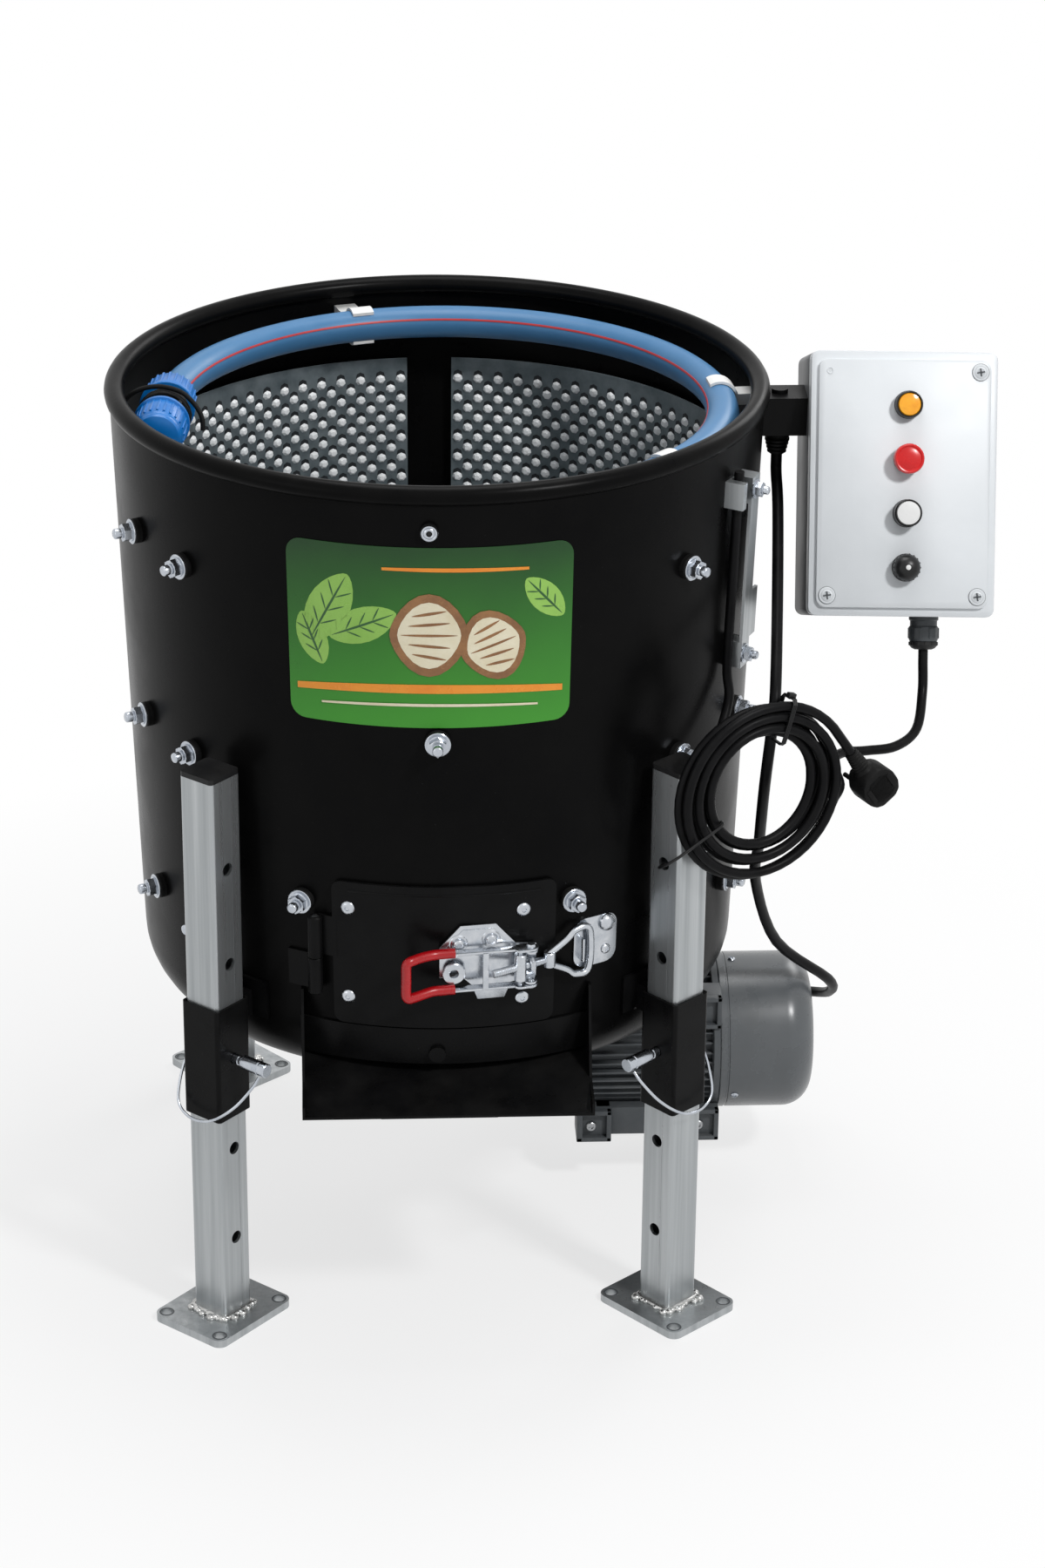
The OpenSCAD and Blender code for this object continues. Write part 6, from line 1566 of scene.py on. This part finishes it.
@dataclass
class Latch:
    """Toggle latch: base, lever with its dipped grip, threaded hook and catch."""

    face_r: float = 303.38
    turn: float = 8.0
    z: float = 410.0
    lean: float = 1.9153
    pivot: tuple = (34.7, 13.0)
    ear_r: float = 6.5
    ear_z: float = 16.25
    rod_share: float = 0.42
    catch_a: tuple = (23.65, 32.6)
    catch_z: tuple = (388.0, 440.0)
    arm_gap: float = 39.0
    arm_left: float = -44.0
    grip_left: float = -86.0
    grip_span: float = 40.0
    grip_out: float = 11.0
    bar_u: float = 96.0
    bar_in: float = 11.5
    outline: tuple = ((-51, -12), (-51, 20), (-31, 42), (3, 42), (22, 20), (42, 18), (42, -18), (18, -22),
                      (12, -38), (-14, -38), (-20, -22), (-30, -12))
    bolts: tuple = ((-33, 24), (-2, 27))

    def frame(self) -> Matrix:
        """Return the latch's frame: X right, Y inwards, Z up."""
        lean = Matrix.Rotation(math.radians(self.lean), 4, "X")
        return turn_z(self.turn) @ shift(0, -self.face_r, self.z) @ lean

    def trunnion(self) -> tuple[float, float]:
        """Return where the hook's trunnion sits in the lever: right and outwards."""
        return self.pivot[0] - 10.2, self.pivot[1] + 1.2

    def base(self) -> None:
        """Build the base plate with its ears, safety eye and cupped bolts."""
        at = self.frame()
        bm = bmesh.new()
        prism(bm, self.outline, 2.5, at @ shift(0, -0.3, 0) @ OUT, 0.7)
        prism(bm, [(-46, 10), (-46, 19), (-29, 38), (1, 38), (17, 19), (17, 10)], 1.0,
              at @ shift(0, -2.8, 0) @ OUT, 0.6)
        u, w = self.pivot
        r = self.ear_r
        for side in (-1, 1):
            ear = [(u - r, -0.3), (u - r, -w), *arc(u, -w, -r, range(18, 163, 18)), (u + r, -w),
                   (u + r, -0.3)]
            prism(bm, ear, 2.5, at @ shift(0, 0, side * self.ear_z - 1.25), 0.4)
        eye = at @ shift(-38, -7, -5) @ OUT
        lathe(bm, [(4.5, 0.3), (5.0, 0.0), (10.4, 0.0), (11.0, 0.6), (11.0, 2.4), (10.4, 3.0), (5.0, 3.0),
                   (4.5, 2.7), (4.5, 0.3)], 28, eye)
        block(bm, (-29.0, -10.0, -10.0), (-27.0, -0.3, 0.0), at, 1.0)
        stand_for("latch_base_plate", bm, LATCH_ZINC, "latch_base")
        bm = bmesh.new()
        for u, v in self.bolts:
            spot = at @ shift(u, -2.8, v) @ OUT
            lathe(bm, [(9.0, 0.0), (9.0, 1.0), (8.2, 2.0), (6.6, 2.2), (5.6, 1.6), (5.0, 1.6), (5.0, 4.0),
                       (4.2, 4.9), (2.4, 5.1), (2.0, 4.4), (0.0, 4.3)], 24, spot)
            lathe(bm, [(3.0, 0.5), (3.0, -10.5), (0.0, -10.5)], 12, spot)
        stand_for("latch_cup_bolts", bm, LATCH_ZINC, "latch_bolts")

    def lever(self) -> None:
        """Build the lever's two arms, their cross bar and the grip."""
        at = self.frame()
        u, w = self.pivot
        tu, tw = self.trunnion()
        bm = bmesh.new()
        for side in (-1, 1):
            z = side * self.arm_gap / 2
            arm = [(self.arm_left, -w + 4.5), (self.arm_left, -w - 4.5), (tu - 6.0, -w - 4.5)]
            arm += [(tu + 7 * math.sin(math.radians(a)), -tw - 7 * math.cos(math.radians(a)))
                    for a in (-50, -25, 0)]
            arm += [(u + 7 * math.sin(math.radians(a)), -w - 7 * math.cos(math.radians(a)))
                    for a in range(0, 181, 20)]
            arm += [(tu + 7 * math.sin(math.radians(a)), -tw - 7 * math.cos(math.radians(a)))
                    for a in (180, 215, 235)]
            arm += [(tu - 8.0, -w + 4.5)]
            prism(bm, arm, 2.5, at @ shift(0, 0, z - 1.25), 0.6)
            lathe(bm, [(3.0, -5.6), (3.0, 1.2), (4.5, 1.2), (4.5, 2.6), (3.6, 4.0), (0.0, 4.2)], 18,
                  at @ shift(u, -w, z) @ Matrix.Rotation(math.pi if side < 0 else 0.0, 4, "X"))
        block(bm, (-12.0, -w - 6.0, -self.arm_gap / 2), (-6.5, -w - 4.0, self.arm_gap / 2), at, 0.5)
        stand_for("latch_lever_arms", bm, LATCH_ZINC, "latch_lever")
        bm = bmesh.new()
        half = []
        for side in (1, -1):
            z1, z2, far = side * self.arm_gap / 2, side * self.grip_span / 2, -w - self.grip_out
            half.append([(self.arm_left + 6.0, -w, z1), (self.arm_left - 6.0, -w, z1),
                         (self.arm_left - 15.0, -w - 0.6, z1), (self.grip_left + 17.0, -w - 4.2, z2),
                         (self.grip_left + 9.0, -w - 8.0, z2), (self.grip_left + 2.6, far, z2 - side * 0.6),
                         (self.grip_left, far, z2 - side * 5.0)])
        line = smooth_path([*half[0], (self.grip_left, -w - self.grip_out, 0.0), *reversed(half[1])], 5)
        sweep(bm, [at @ p for p in line], 4.8, 14)
        stand_for("latch_grip_dipped", bm, GRIP_RED, "latch_grip", sharp=60.0)

    def hook(self) -> None:
        """Build the threaded rod, its nut and the bent loop."""
        at = self.frame()
        tu, tw = self.trunnion()
        p = Vector((tu, -tw, 0.0))
        v = Vector((self.bar_u, self.bar_in, 0.0)) - p
        tip = p + self.rod_share * v
        end = self.rod_share * v.length
        bm = bmesh.new()
        along = v.normalized().to_track_quat("Z", "Y").to_matrix().to_4x4()
        rod = [(0.0, -30.0), (3.4, -30.0)]
        z = -29.0
        while z < end - 3.0:
            rod += [(4.0, z), (3.4, z + 0.8)]
            z += 1.6
        rod += [(4.0, end), (0.0, end)]
        lathe(bm, rod, 14, at @ Matrix.Translation(p) @ along)
        hex_nut(bm, 13.0, 6.0, 4.0, at @ Matrix.Translation(p + v.normalized() * 8.0) @ along)
        lathe(bm, [(0.0, -14.0), (5.4, -14.0), (6.0, -13.4), (6.0, 13.4), (5.4, 14.0), (0.0, 14.0)], 20,
              at @ Matrix.Translation(p))
        lathe(bm, [(0.0, -20.7), (2.5, -20.7), (2.5, 20.7), (0.0, 20.7)], 12, at @ Matrix.Translation(p))
        lathe(bm, [(0.0, -8.0), (5.2, -8.0), (6.0, -7.0), (6.0, 7.0), (5.2, 8.0), (0.0, 8.0)], 20,
              at @ Matrix.Translation(tip))
        up = Vector((0.0, 0.0, 24.0))
        mid = Vector((0.0, 0.0, 4.5))
        half = [[tip - 0.03 * v + s * mid, p + 0.66 * v + s * 0.66 * up, p + 0.8 * v + s * up,
                 p + v + s * (up - Vector((0, 0, 3.5)))]
                for s in (1, -1)]
        line = smooth_path([*half[0], *reversed(half[1])], 6)
        sweep(bm, [at @ q for q in line], 3.5, 12)
        stand_for("latch_hook_loop", bm, LATCH_ZINC, "latch_hook")

    def catch(self) -> None:
        """Build the catch plate with its tongue and rivets."""
        bm = bmesh.new()
        wrap_sheet(bm, rounded_patch(*self.catch_a, *self.catch_z, 12.0), 0.1, 2.4, 1.0)
        bar = self.frame() @ Vector((self.bar_u, self.bar_in, 0.0))
        angle = math.degrees(math.atan2(bar.x, -bar.y))
        far = math.hypot(bar.x, bar.y)
        at = turn_z(angle)
        block(bm, (-8.4, -far - 2.5, 398.0), (-5.9, -wall_radius(410.0) - 1.2, 422.0), at, 0.7)
        stand_for("latch_catch", bm, LATCH_ZINC, "catch_plate")
        bm = bmesh.new()
        lathe(bm, [(9.0, 0.0), (9.0, 1.2), (8.2, 3.2), (6.0, 5.2), (3.2, 6.3), (0.0, 6.6)], 24,
              wall_out(30.3, 431.0, 2.5))
        dome_head(bm, 5.2, 2.6, wall_out(30.3, 402.0, 2.5))
        stand_for("catch_rivet_heads", bm, LATCH_ZINC, "catch_rivets")

    def build(self) -> None:
        """Build the latch's pieces."""
        self.base()
        self.lever()
        self.hook()
        self.catch()


class Corner(Enum):
    """The four legs, each with its angle and the side its lock pin is drawn to."""

    FL = (-41.0, 1)
    FR = (41.0, -1)
    RR = (139.0, 1)
    RL = (-139.0, -1)


@dataclass
class Stand:
    """Leg tubes with foot plates, sleeves, caps, lock pins and their spring wires."""

    leg_r: float = 336.606
    tube: float = 40.0
    pin_z: float = 294.0
    hole_x: float = 35.0
    hole_y: float = 44.0
    seam_y: float = 7.0
    bead_seed: int = 7
    bead_step: float = 4.6
    wire: tuple = ((56, -2, -9), (54, -10, -18), (44, -24, -36), (26, -33, -52), (6, -34, -60),
                   (-12, -33, -59), (-24, -30, -49), (-29, -20, -28), (-28.5, -8, -3))

    def leg(self, corner: Corner) -> Matrix:
        """Return the frame at the foot of a leg."""
        return turn_z(corner.value[0]) @ shift(0, -self.leg_r, 0)

    def pin_frame(self, corner: Corner) -> Matrix:
        """Return the frame of a lock pin, with X towards its head."""
        return self.leg(corner) @ shift(0, 0, self.pin_z) @ turn_z(0.0 if corner.value[1] > 0 else 180.0)

    def pins(self) -> None:
        """Build the four lock pins and their wires."""
        wires = bmesh.new()
        for corner in Corner:
            along = self.pin_frame(corner) @ Matrix.Rotation(math.radians(90.0), 4, "Y")
            bm = bmesh.new()
            lathe(bm, [(0.0, -32.0), (4.2, -32.0), (5.0, -31.0), (5.0, 30.0), (4.2, 30.6), (4.2, 32.4),
                       (5.0, 33.0), (5.0, 35.0),
                       (6.4, 35.0), (7.0, 35.7), (7.0, 55.0), (6.3, 55.5), (6.3, 57.0), (7.0, 57.5),
                       (7.0, 64.0), (6.2, 65.0), (0.0, 65.0)],
                  24, along)
            stand_for("lock_pin_turned_" + corner.name.lower(), bm, ZINC, "lock_pin_" + corner.name.lower())
            flip = corner.value[1] < 0
            spot = self.leg(corner) @ shift(0, 0, self.pin_z)
            path = [Vector((-x if flip else x, y, z)) for x, y, z in self.wire]
            sweep(wires, [spot @ p for p in smooth_path(path, 8)], 1.5, 8)
            end = path[-1]
            lathe(wires, [(0.0, -4.0), (2.4, -4.0), (2.4, 5.0), (0.0, 5.0)], 10,
                  spot @ Matrix.Translation(end - Vector((0, 0, 6.0))))
        stand_for("pin_wire_set", wires, ZINC, "pin_wires", sharp=60.0)

    def beads(self) -> None:
        """Lay the weld beads between legs and feet and the seam down each tube."""
        bm, seam, rims = bmesh.new(), bmesh.new(), bmesh.new()
        chance = random.Random(self.bead_seed)
        for corner in Corner:
            at = self.leg(corner)
            ring = rounded_outline(self.tube + 2.0, self.tube + 2.0, 4.0, 2)
            line = [Vector((x, y, 9.4)) for x, y in (*ring, ring[0])]
            sweep(bm, [at @ p for p in line], 3.4, 8)
            for first, last in zip(line, line[1:]):
                count = max(1, int((last - first).length / self.bead_step))
                for k in range(count):
                    p = first.lerp(last, (k + chance.uniform(0.1, 0.9)) / count)
                    p += p.to_2d().to_3d().normalized() * chance.uniform(0.0, 5.5)
                    bmesh.ops.create_icosphere(bm, subdivisions=2, radius=chance.uniform(2.6, 5.0),
                                               matrix=at @ Matrix.Translation(p)
                                               @ Matrix.Diagonal((1.0, 1.0, 0.8, 1.0)))
            for x in (-self.hole_x, self.hole_x):
                for y in (-self.hole_y, self.hole_y):
                    lathe(rims, [(5.55, 7.2), (5.7, 8.15), (7.3, 8.2), (7.6, 7.9)], 28, at @ shift(x, y, 0))
            side = self.seam_y if corner.value[1] > 0 else -self.seam_y
            block(seam, (self.tube / 2 * corner.value[1] - 0.12, side - 0.35, 12.0),
                  (self.tube / 2 * corner.value[1] + 0.12, side + 0.35, 583.0), at)
        stand_for("foot_weld_beads", bm, WELD, like="leg_tubes", sharp=60.0)
        stand_for("tube_seams", seam, STEEL, like="leg_tubes")
        stand_for("foot_hole_rims", rims, MOTOR_GREY, like="leg_tubes")

    def build(self) -> None:
        """Build and dress the stand."""
        dress("leg_tubes", GALVANISED)
        dress("leg_sleeves", FRAME_BLACK)
        dress("leg_caps", FIT_BLACK)
        dress("base_plate", FRAME_BLACK)
        dress("frame_bolts", FRAME_BLACK)
        self.pins()
        self.beads()


@dataclass
class Drive:
    """Gear motor under the drum: finned frame with pads, fan cowl, terminal box and the rotor."""

    axis_y: float = 50.0
    axis_z: float = 147.5
    x1: float = 128.0
    x2: float = 292.0
    x3: float = 391.0
    frame_r: float = 73.0
    cowl_r: float = 81.5
    cowl_round: float = 30.0
    pad_xs: tuple = (162.0, 274.0)
    pad_rise: float = 92.0
    pad_top: float = 75.0
    pad_out: float = 75.0
    pad: float = 36.0
    fins: int = 44

    def axle(self) -> Matrix:
        """Return the frame on the motor axis with Z along it."""
        return shift(0, self.axis_y, self.axis_z) @ Matrix.Rotation(math.radians(90.0), 4, "Y")

    def motor(self) -> None:
        """Build the finned frame with its pads."""
        at = self.axle()
        bm = bmesh.new()
        r = self.frame_r
        lathe(bm, [(9.7, self.x1), (76.0, self.x1), (79.0, self.x1 + 2.0), (79.0, self.x1 + 12.0),
                   (77.0, self.x1 + 14.0),
                   (r - 5.0, self.x1 + 14.5), (r - 5.0, self.x2 - 8.5), (79.0, self.x2 - 8.0),
                   (81.0, self.x2 - 7.0), (81.0, self.x2 - 1.0), (80.0, self.x2), (9.7, self.x2)], 72, at)
        before = set(bm.verts)
        block(bm, (r - 6.0, -1.2, self.x1 + 13.0), (r + 3.0, 1.2, self.x2 - 7.5), Matrix.Identity(4), 0.5, 1)
        fin = [v for v in bm.verts if v not in before]
        spin_copies(bm, fin, 360.0 * (self.fins - 1) / self.fins, self.fins - 1)
        bmesh.ops.transform(bm, matrix=at, verts=[v for v in bm.verts if v not in before])
        hub = shift(0, self.axis_y, self.axis_z)
        for x in self.pad_xs:
            for sy in (-1, 1):
                for sz in (-1, 1):
                    self.pad_block(bm, hub, x, sy, sz)
        for sy in (-1, 1):
            ys = sorted((sy * (self.pad_out - self.pad), sy * (self.pad_out - 9.0)))
            block(bm, (self.pad_xs[0], ys[0], 3.0 - self.pad_rise), (self.pad_xs[1], ys[1],
                                                                     self.pad - self.pad_rise), hub, 3.0)
        stand_for("motor_finned_frame", bm, MOTOR_GREY, "motor_frame")
        bolts = bmesh.new()
        for x in self.pad_xs:
            for sz in (-1, 1):
                middle = self.pad_top - 17.0 if sz > 0 else 17.0 - self.pad_rise
                spot = hub @ shift(x - 3.0, -self.pad_out + 5.0, middle) @ OUT
                lathe(bolts, [(0.0, 0.0), (5.2, 0.0), (5.2, 2.6), (4.4, 3.4), (2.6, 3.4), (2.2, 1.8),
                              (0.0, 1.6)], 18, spot)
        stand_for("motor_pad_bolts", bolts, STEEL, like="motor_frame")

    def pad_block(self, bm: BMesh, hub: Matrix, x: float, sy: int, sz: int) -> None:
        """Add one mounting pad with a sunk pocket in its outer face.

        Args:
            bm: mesh to add to.
            hub: frame at the motor axis.
            x: middle of the pad along the motor.
            sy: side of the motor, -1 to the front.
            sz: -1 below the axis and 1 above it.
        """
        half = self.pad / 2
        y2, z2 = self.pad_out, self.pad_top if sz > 0 else self.pad_rise
        ys = sorted((sy * (y2 - self.pad), sy * (y2 - 6.0)))
        zs = sorted((sz * (z2 - self.pad), sz * z2))
        block(bm, (x - half, ys[0], zs[0]), (x + half, ys[1], zs[1]), hub, 1.2)
        rim = sorted((sy * (y2 - 7.5), sy * y2))
        for low, high in (((x - half, zs[0]), (x + half, zs[0] + 5.0)),
                          ((x - half, zs[1] - 5.0), (x + half, zs[1])),
                          ((x - half, zs[0]), (x - half + 6.0, zs[1])),
                          ((x + half - 5.0, zs[0]), (x + half, zs[1]))):
            block(bm, (low[0], rim[0], low[1]), (high[0], rim[1], high[1]), hub, 0.9)

    def cowl(self) -> None:
        """Spin the fan cowl with its rim line and the slotted end."""
        at = self.axle()
        bm = bmesh.new()
        c = self.cowl_r - self.cowl_round
        end = self.x3 - self.cowl_round
        line = [(self.cowl_r - 0.6, self.x2 + 0.1), (self.cowl_r, self.x2 + 0.8),
                (self.cowl_r, self.x2 + 7.0),
                (self.cowl_r - 0.9, self.x2 + 7.6), (self.cowl_r - 0.9, self.x2 + 9.0),
                (self.cowl_r - 0.2, self.x2 + 9.6)]
        line += [(c + (self.cowl_round - 0.2) * math.cos(math.radians(9 * i)),
                  end + self.cowl_round * math.sin(math.radians(9 * i)))
                 for i in range(11)]
        for r in (46.0, 40.0, 34.0, 28.0, 22.0):
            line += [(r, self.x3), (r - 0.4, self.x3 - 2.0), (r - 3.0, self.x3 - 2.0), (r - 3.4, self.x3)]
        line += [(0.0, self.x3)]
        lathe(bm, line, 72, at)
        lathe(bm, [(self.cowl_r - 2.5, self.x2 + 0.1), (self.cowl_r - 0.6, self.x2 + 0.1)], 72, at)
        stand_for("motor_fan_cowl", bm, COWL_GREY, "motor_cowl")
        bm = bmesh.new()
        for turn in (60.0, 180.0, 300.0):
            cross_head(bm, 4.0, 2.2, at @ turn_z(turn) @ shift(self.cowl_r - 0.2, 0, self.x2 + 16.0)
                       @ Matrix.Rotation(math.radians(90.0), 4, "Y"))
        stand_for("cowl_screws", bm, ZINC, like="motor_cowl")

    def build(self) -> None:
        """Build and dress the drive."""
        self.motor()
        self.cowl()
        dress("gearbox_housing", GEAR_GREY)
        dress("terminal_box", MOTOR_GREY)
        dress("motor_shaft", STEEL)
        dress("motor_fan", KNOB_BLACK)
        dress("output_shaft", STEEL)
        dress("worm_wheel", BRONZE)
        dress("rotor_disc", STEEL)


class Control(Enum):
    """The controls on the lid, from the lowest up."""

    KNOB = 0
    WHITE = 1
    RED = 2
    LAMP = 3


@dataclass
class ControlBox:
    """Tilted control box with its lid, controls, gland, arm and cable boot."""

    middle: Point = (444.6, -72.6, 800.9)
    tilt: float = 22.0
    roll: float = 1.3
    width: float = 180.0
    height: float = 254.0
    depth: float = 111.0
    lid: float = 18.0
    rise: float = 4.0
    corner: float = 8.0
    panel: tuple = (166.0, 238.0)
    screw_x: float = 72.5
    screw_z: float = 107.5
    screw_turn: float = 12.0
    control_x: float = 3.0
    control_z: float = -80.0
    pitch: float = 51.9

    def frame(self) -> Matrix:
        """Return the box's frame: X right, Y inwards, Z up the lid."""
        return (Matrix.Translation(self.middle) @ Matrix.Rotation(math.radians(-self.tilt), 4, "X")
                @ Matrix.Rotation(math.radians(self.roll), 4, "Y"))

    def control(self, which: Control) -> Matrix:
        """Return the frame of a control, pointing out of the lid along Z."""
        z = self.control_z + which.value * self.pitch
        return self.frame() @ shift(self.control_x, -self.rise, z) @ OUT

    def shell(self) -> None:
        """Build the box and its lid."""
        at = self.frame()
        back = at @ OUT
        bm = bmesh.new()
        prism(bm, rounded_outline(self.width, self.height, self.corner), self.depth - self.lid - 0.6,
              back @ shift(0, 0, -self.depth), 2.0)
        prism(bm, rounded_outline(self.width - 4.0, self.height - 4.0, self.corner - 2.0), 2.0,
              back @ shift(0, 0, -self.lid - 1.8))
        # The body wears painted shade: the same plastic as the lid, made darker.
        stand_for("box_body", bm, BOX_PAINTED_SHADE, "box_base")
        bm = bmesh.new()
        prism(bm, rounded_outline(self.width, self.height, self.corner), self.lid - 0.6,
              back @ shift(0, 0, -self.lid), 2.4)
        prism(bm, rounded_outline(*self.panel, 9.0), self.rise + 2.0, back @ shift(0, 0, -2.0), 1.6)
        stand_for("box_cover", bm, BOX_GREY, "box_lid")
        bm = bmesh.new()
        for x in (-1, 1):
            for z in (-1, 1):
                spot = at @ shift(x * self.screw_x, -self.rise, z * self.screw_z) @ OUT
                if x < 0 < z:
                    lathe(bm, [(3.4, 0.0), (3.2, 0.5), (2.4, 0.5), (2.0, 0.1), (0.0, 0.05)], 20, spot)
                else:
                    lathe(bm, [(8.0, 0.0), (8.0, 0.6), (7.5, 1.1), (6.0, 1.2)], 32, spot)
                    cross_head(bm, 6.2, 1.9, spot)
        stand_for("box_screws", bm, BOX_GREY, "lid_screws")
        # Dark crosses in the screw slots and dark rings round the screw washers: painted shade in the
        # recesses and at the washer edges.
        bm = bmesh.new()
        for x, z in ((1, 1), (1, -1), (-1, -1)):
            spot = at @ shift(x * self.screw_x, -self.rise, z * self.screw_z) @ OUT
            for turn in (self.screw_turn, self.screw_turn + 90.0):
                block(bm, (-4.0, -0.75, 1.2), (4.0, 0.75, 2.0), spot @ turn_z(turn), 0.2, 1)
            lathe(bm, [(8.2, -0.1), (8.5, 0.25), (8.2, 0.3)], 32, spot)
        stand_for("box_screw_slots", bm, MOTOR_GREY, like="lid_screws")

    def controls(self) -> None:
        """Build the bezels, buttons, lamp and knob."""
        bm = bmesh.new()
        for which in Control:
            at = self.control(which)
            lathe(bm, [(7.6, 0.0), (13.0, 0.0), (13.5, 0.5), (13.5, 2.6), (12.6, 3.8), (11.8, 4.0),
                       (7.6, 4.0), (7.6, 0.0)], 36, at)
        at = self.control(Control.WHITE)
        lathe(bm, [(12.2, 3.5), (13.2, 3.5), (13.2, 15.5), (12.2, 16.6), (11.9, 16.6), (11.9, 3.5)], 36, at)
        lathe(bm, [(11.2, 3.5), (13.3, 3.5), (13.3, 9.4), (12.6, 11.6), (11.6, 12.2), (11.2, 11.8),
                   (11.2, 3.5)], 36,
              self.control(Control.LAMP))
        stand_for("control_bezel_set", bm, KNOB_BLACK, "control_bezels")
        bm = bmesh.new()
        lathe(bm, [(0.0, -13.0), (7.5, -13.0), (7.5, 8.0), (13.6, 8.5), (14.5, 9.6), (14.5, 15.6),
                   (13.9, 17.2), (12.9, 17.8),
                   (12.0, 17.6), (11.4, 16.9), (10.6, 16.8), (9.6, 17.2), (5.0, 17.7), (0.0, 17.8)], 40,
                   self.control(Control.RED))
        stand_for("stop_button", bm, BUTTON_RED, "red_button")
        bm = bmesh.new()
        lathe(bm, [(0.0, -13.0), (7.5, -13.0), (7.5, 8.5), (11.2, 8.5), (11.5, 9.0), (11.5, 15.8),
                   (10.8, 16.9), (7.0, 17.4), (0.0, 17.5)],
              32, self.control(Control.WHITE))
        stand_for("start_button", bm, BUTTON_WHITE, "white_button")
        bm = bmesh.new()
        lathe(bm, [(0.0, -18.0), (7.5, -18.0), (7.5, 4.1), (11.0, 4.1), (11.0, 10.8), (10.2, 12.0),
                   (7.0, 12.8), (0.0, 13.0)],
              32, self.control(Control.LAMP))
        stand_for("power_lamp", bm, LENS_AMBER, "lamp_lens")
        bm = bmesh.new()
        at = self.control(Control.KNOB)
        lathe(bm, [(0.0, -18.0), (7.5, -18.0), (7.5, 4.5), (12.4, 4.5), (13.0, 5.2), (13.0, 10.5),
                   (12.6, 13.0), (11.4, 15.8), (9.4, 18.4), (6.6, 20.4), (3.2, 21.2), (0.0, 21.4)], 40, at)
        for k in range(18):
            block(bm, (12.2, -0.8, 5.4), (13.5, 0.8, 11.5), at @ turn_z(20.0 * k), 0.3, 1)
        stand_for("selector_handle", bm, KNOB_BLACK, "selector_knob")
        bm = bmesh.new()
        lathe(bm, [(2.5, 21.1), (2.4, 21.6), (1.4, 21.8), (0.0, 21.85)], 20, at)
        stand_for("selector_mark", bm, BUTTON_WHITE, like="selector_knob")

    def gland(self) -> None:
        """Build the cable gland and the boot."""
        at = self.frame() @ shift(30.0, 55.0, -self.height / 2)
        bm = bmesh.new()
        lathe(bm, [(14.4, 0.0), (14.4, -3.0), (13.2, -4.0), (13.2, -9.0), (14.2, -10.0), (14.2, -22.0),
                   (13.2, -24.0), (4.9, -24.0)], 32, at)
        for k in range(6):
            block(bm, (12.6, -4.0, -21.5), (14.9, 4.0, -10.5), at @ turn_z(60.0 * k), 0.8, 1)
        stand_for("box_gland_body", bm, MOTOR_GREY, "box_gland")
        bm = bmesh.new()
        lathe(bm, [(13.0, -24.0), (14.0, -24.6), (14.0, -27.5), (11.5, -30.5), (8.2, -32.0), (4.9, -32.0)],
              28, at)
        for k in range(12):
            block(bm, (12.8, -1.0, -28.0), (14.4, 1.0, -24.4), at @ turn_z(30.0 * k), 0.4, 1)
        stand_for("box_gland_cap", bm, FIT_BLACK, like="box_gland")
        bm = bmesh.new()
        at = shift(330.0, 0.0, 807.95)
        profile = [(4.9, 0.0), (7.2, 0.0)]
        for i in range(4):
            z = 1.2 + 4.0 * i
            profile += [(7.0 + 0.6 * i, z), (9.4 + 0.9 * i, z + 0.5), (9.4 + 0.9 * i, z + 2.3),
                        (7.0 + 0.6 * i, z + 2.8)]
        profile += [(12.0, 18.0), (12.5, 19.0), (12.5, 23.4), (4.9, 23.9)]
        lathe(bm, profile, 28, at)
        stand_for("cable_boot_ribbed", bm, RUBBER, "cable_boot")

    def build(self) -> None:
        """Build the box's pieces."""
        self.shell()
        self.controls()
        self.gland()
        dress("box_arm", FRAME_BLACK)
        dress("guard_strip", GALVANISED)
        bm = bmesh.new()
        for z in (661.0, 829.0):
            at = wall_out(62.0, z)
            lathe(bm, [(4.0, -3.0), (4.0, 18.3), (9.5, 18.3), (9.5, 19.6), (4.0, 19.8)], 20, at)
            hex_nut(bm, 15.0, 6.5, 4.0, at @ shift(0, 0, 19.2))
            stud_end(bm, 4.0, 7.0, at @ shift(0, 0, 25.5))
            lathe(bm, [(0.0, -7.4), (5.0, -7.2), (7.4, -5.4), (7.5, -3.5), (4.0, -3.5)], 18, at)
        stand_for("guard_bolt_set", bm, ZINC, "guard_bolts")


def main() -> None:
    """Build the studio, the cables and every sub-assembly."""
    logging.basicConfig(level=logging.INFO, format="%(name)s: %(message)s")
    studio = Studio()
    studio.camera()
    studio.backdrop()
    for part in (Cables(), Drum(), WaterRing(), Hatch(), Latch(), Stand(), Drive(), ControlBox()):
        LOG.info("building %s", type(part).__name__)
        part.build()


if __name__ == "__main__":
    main()
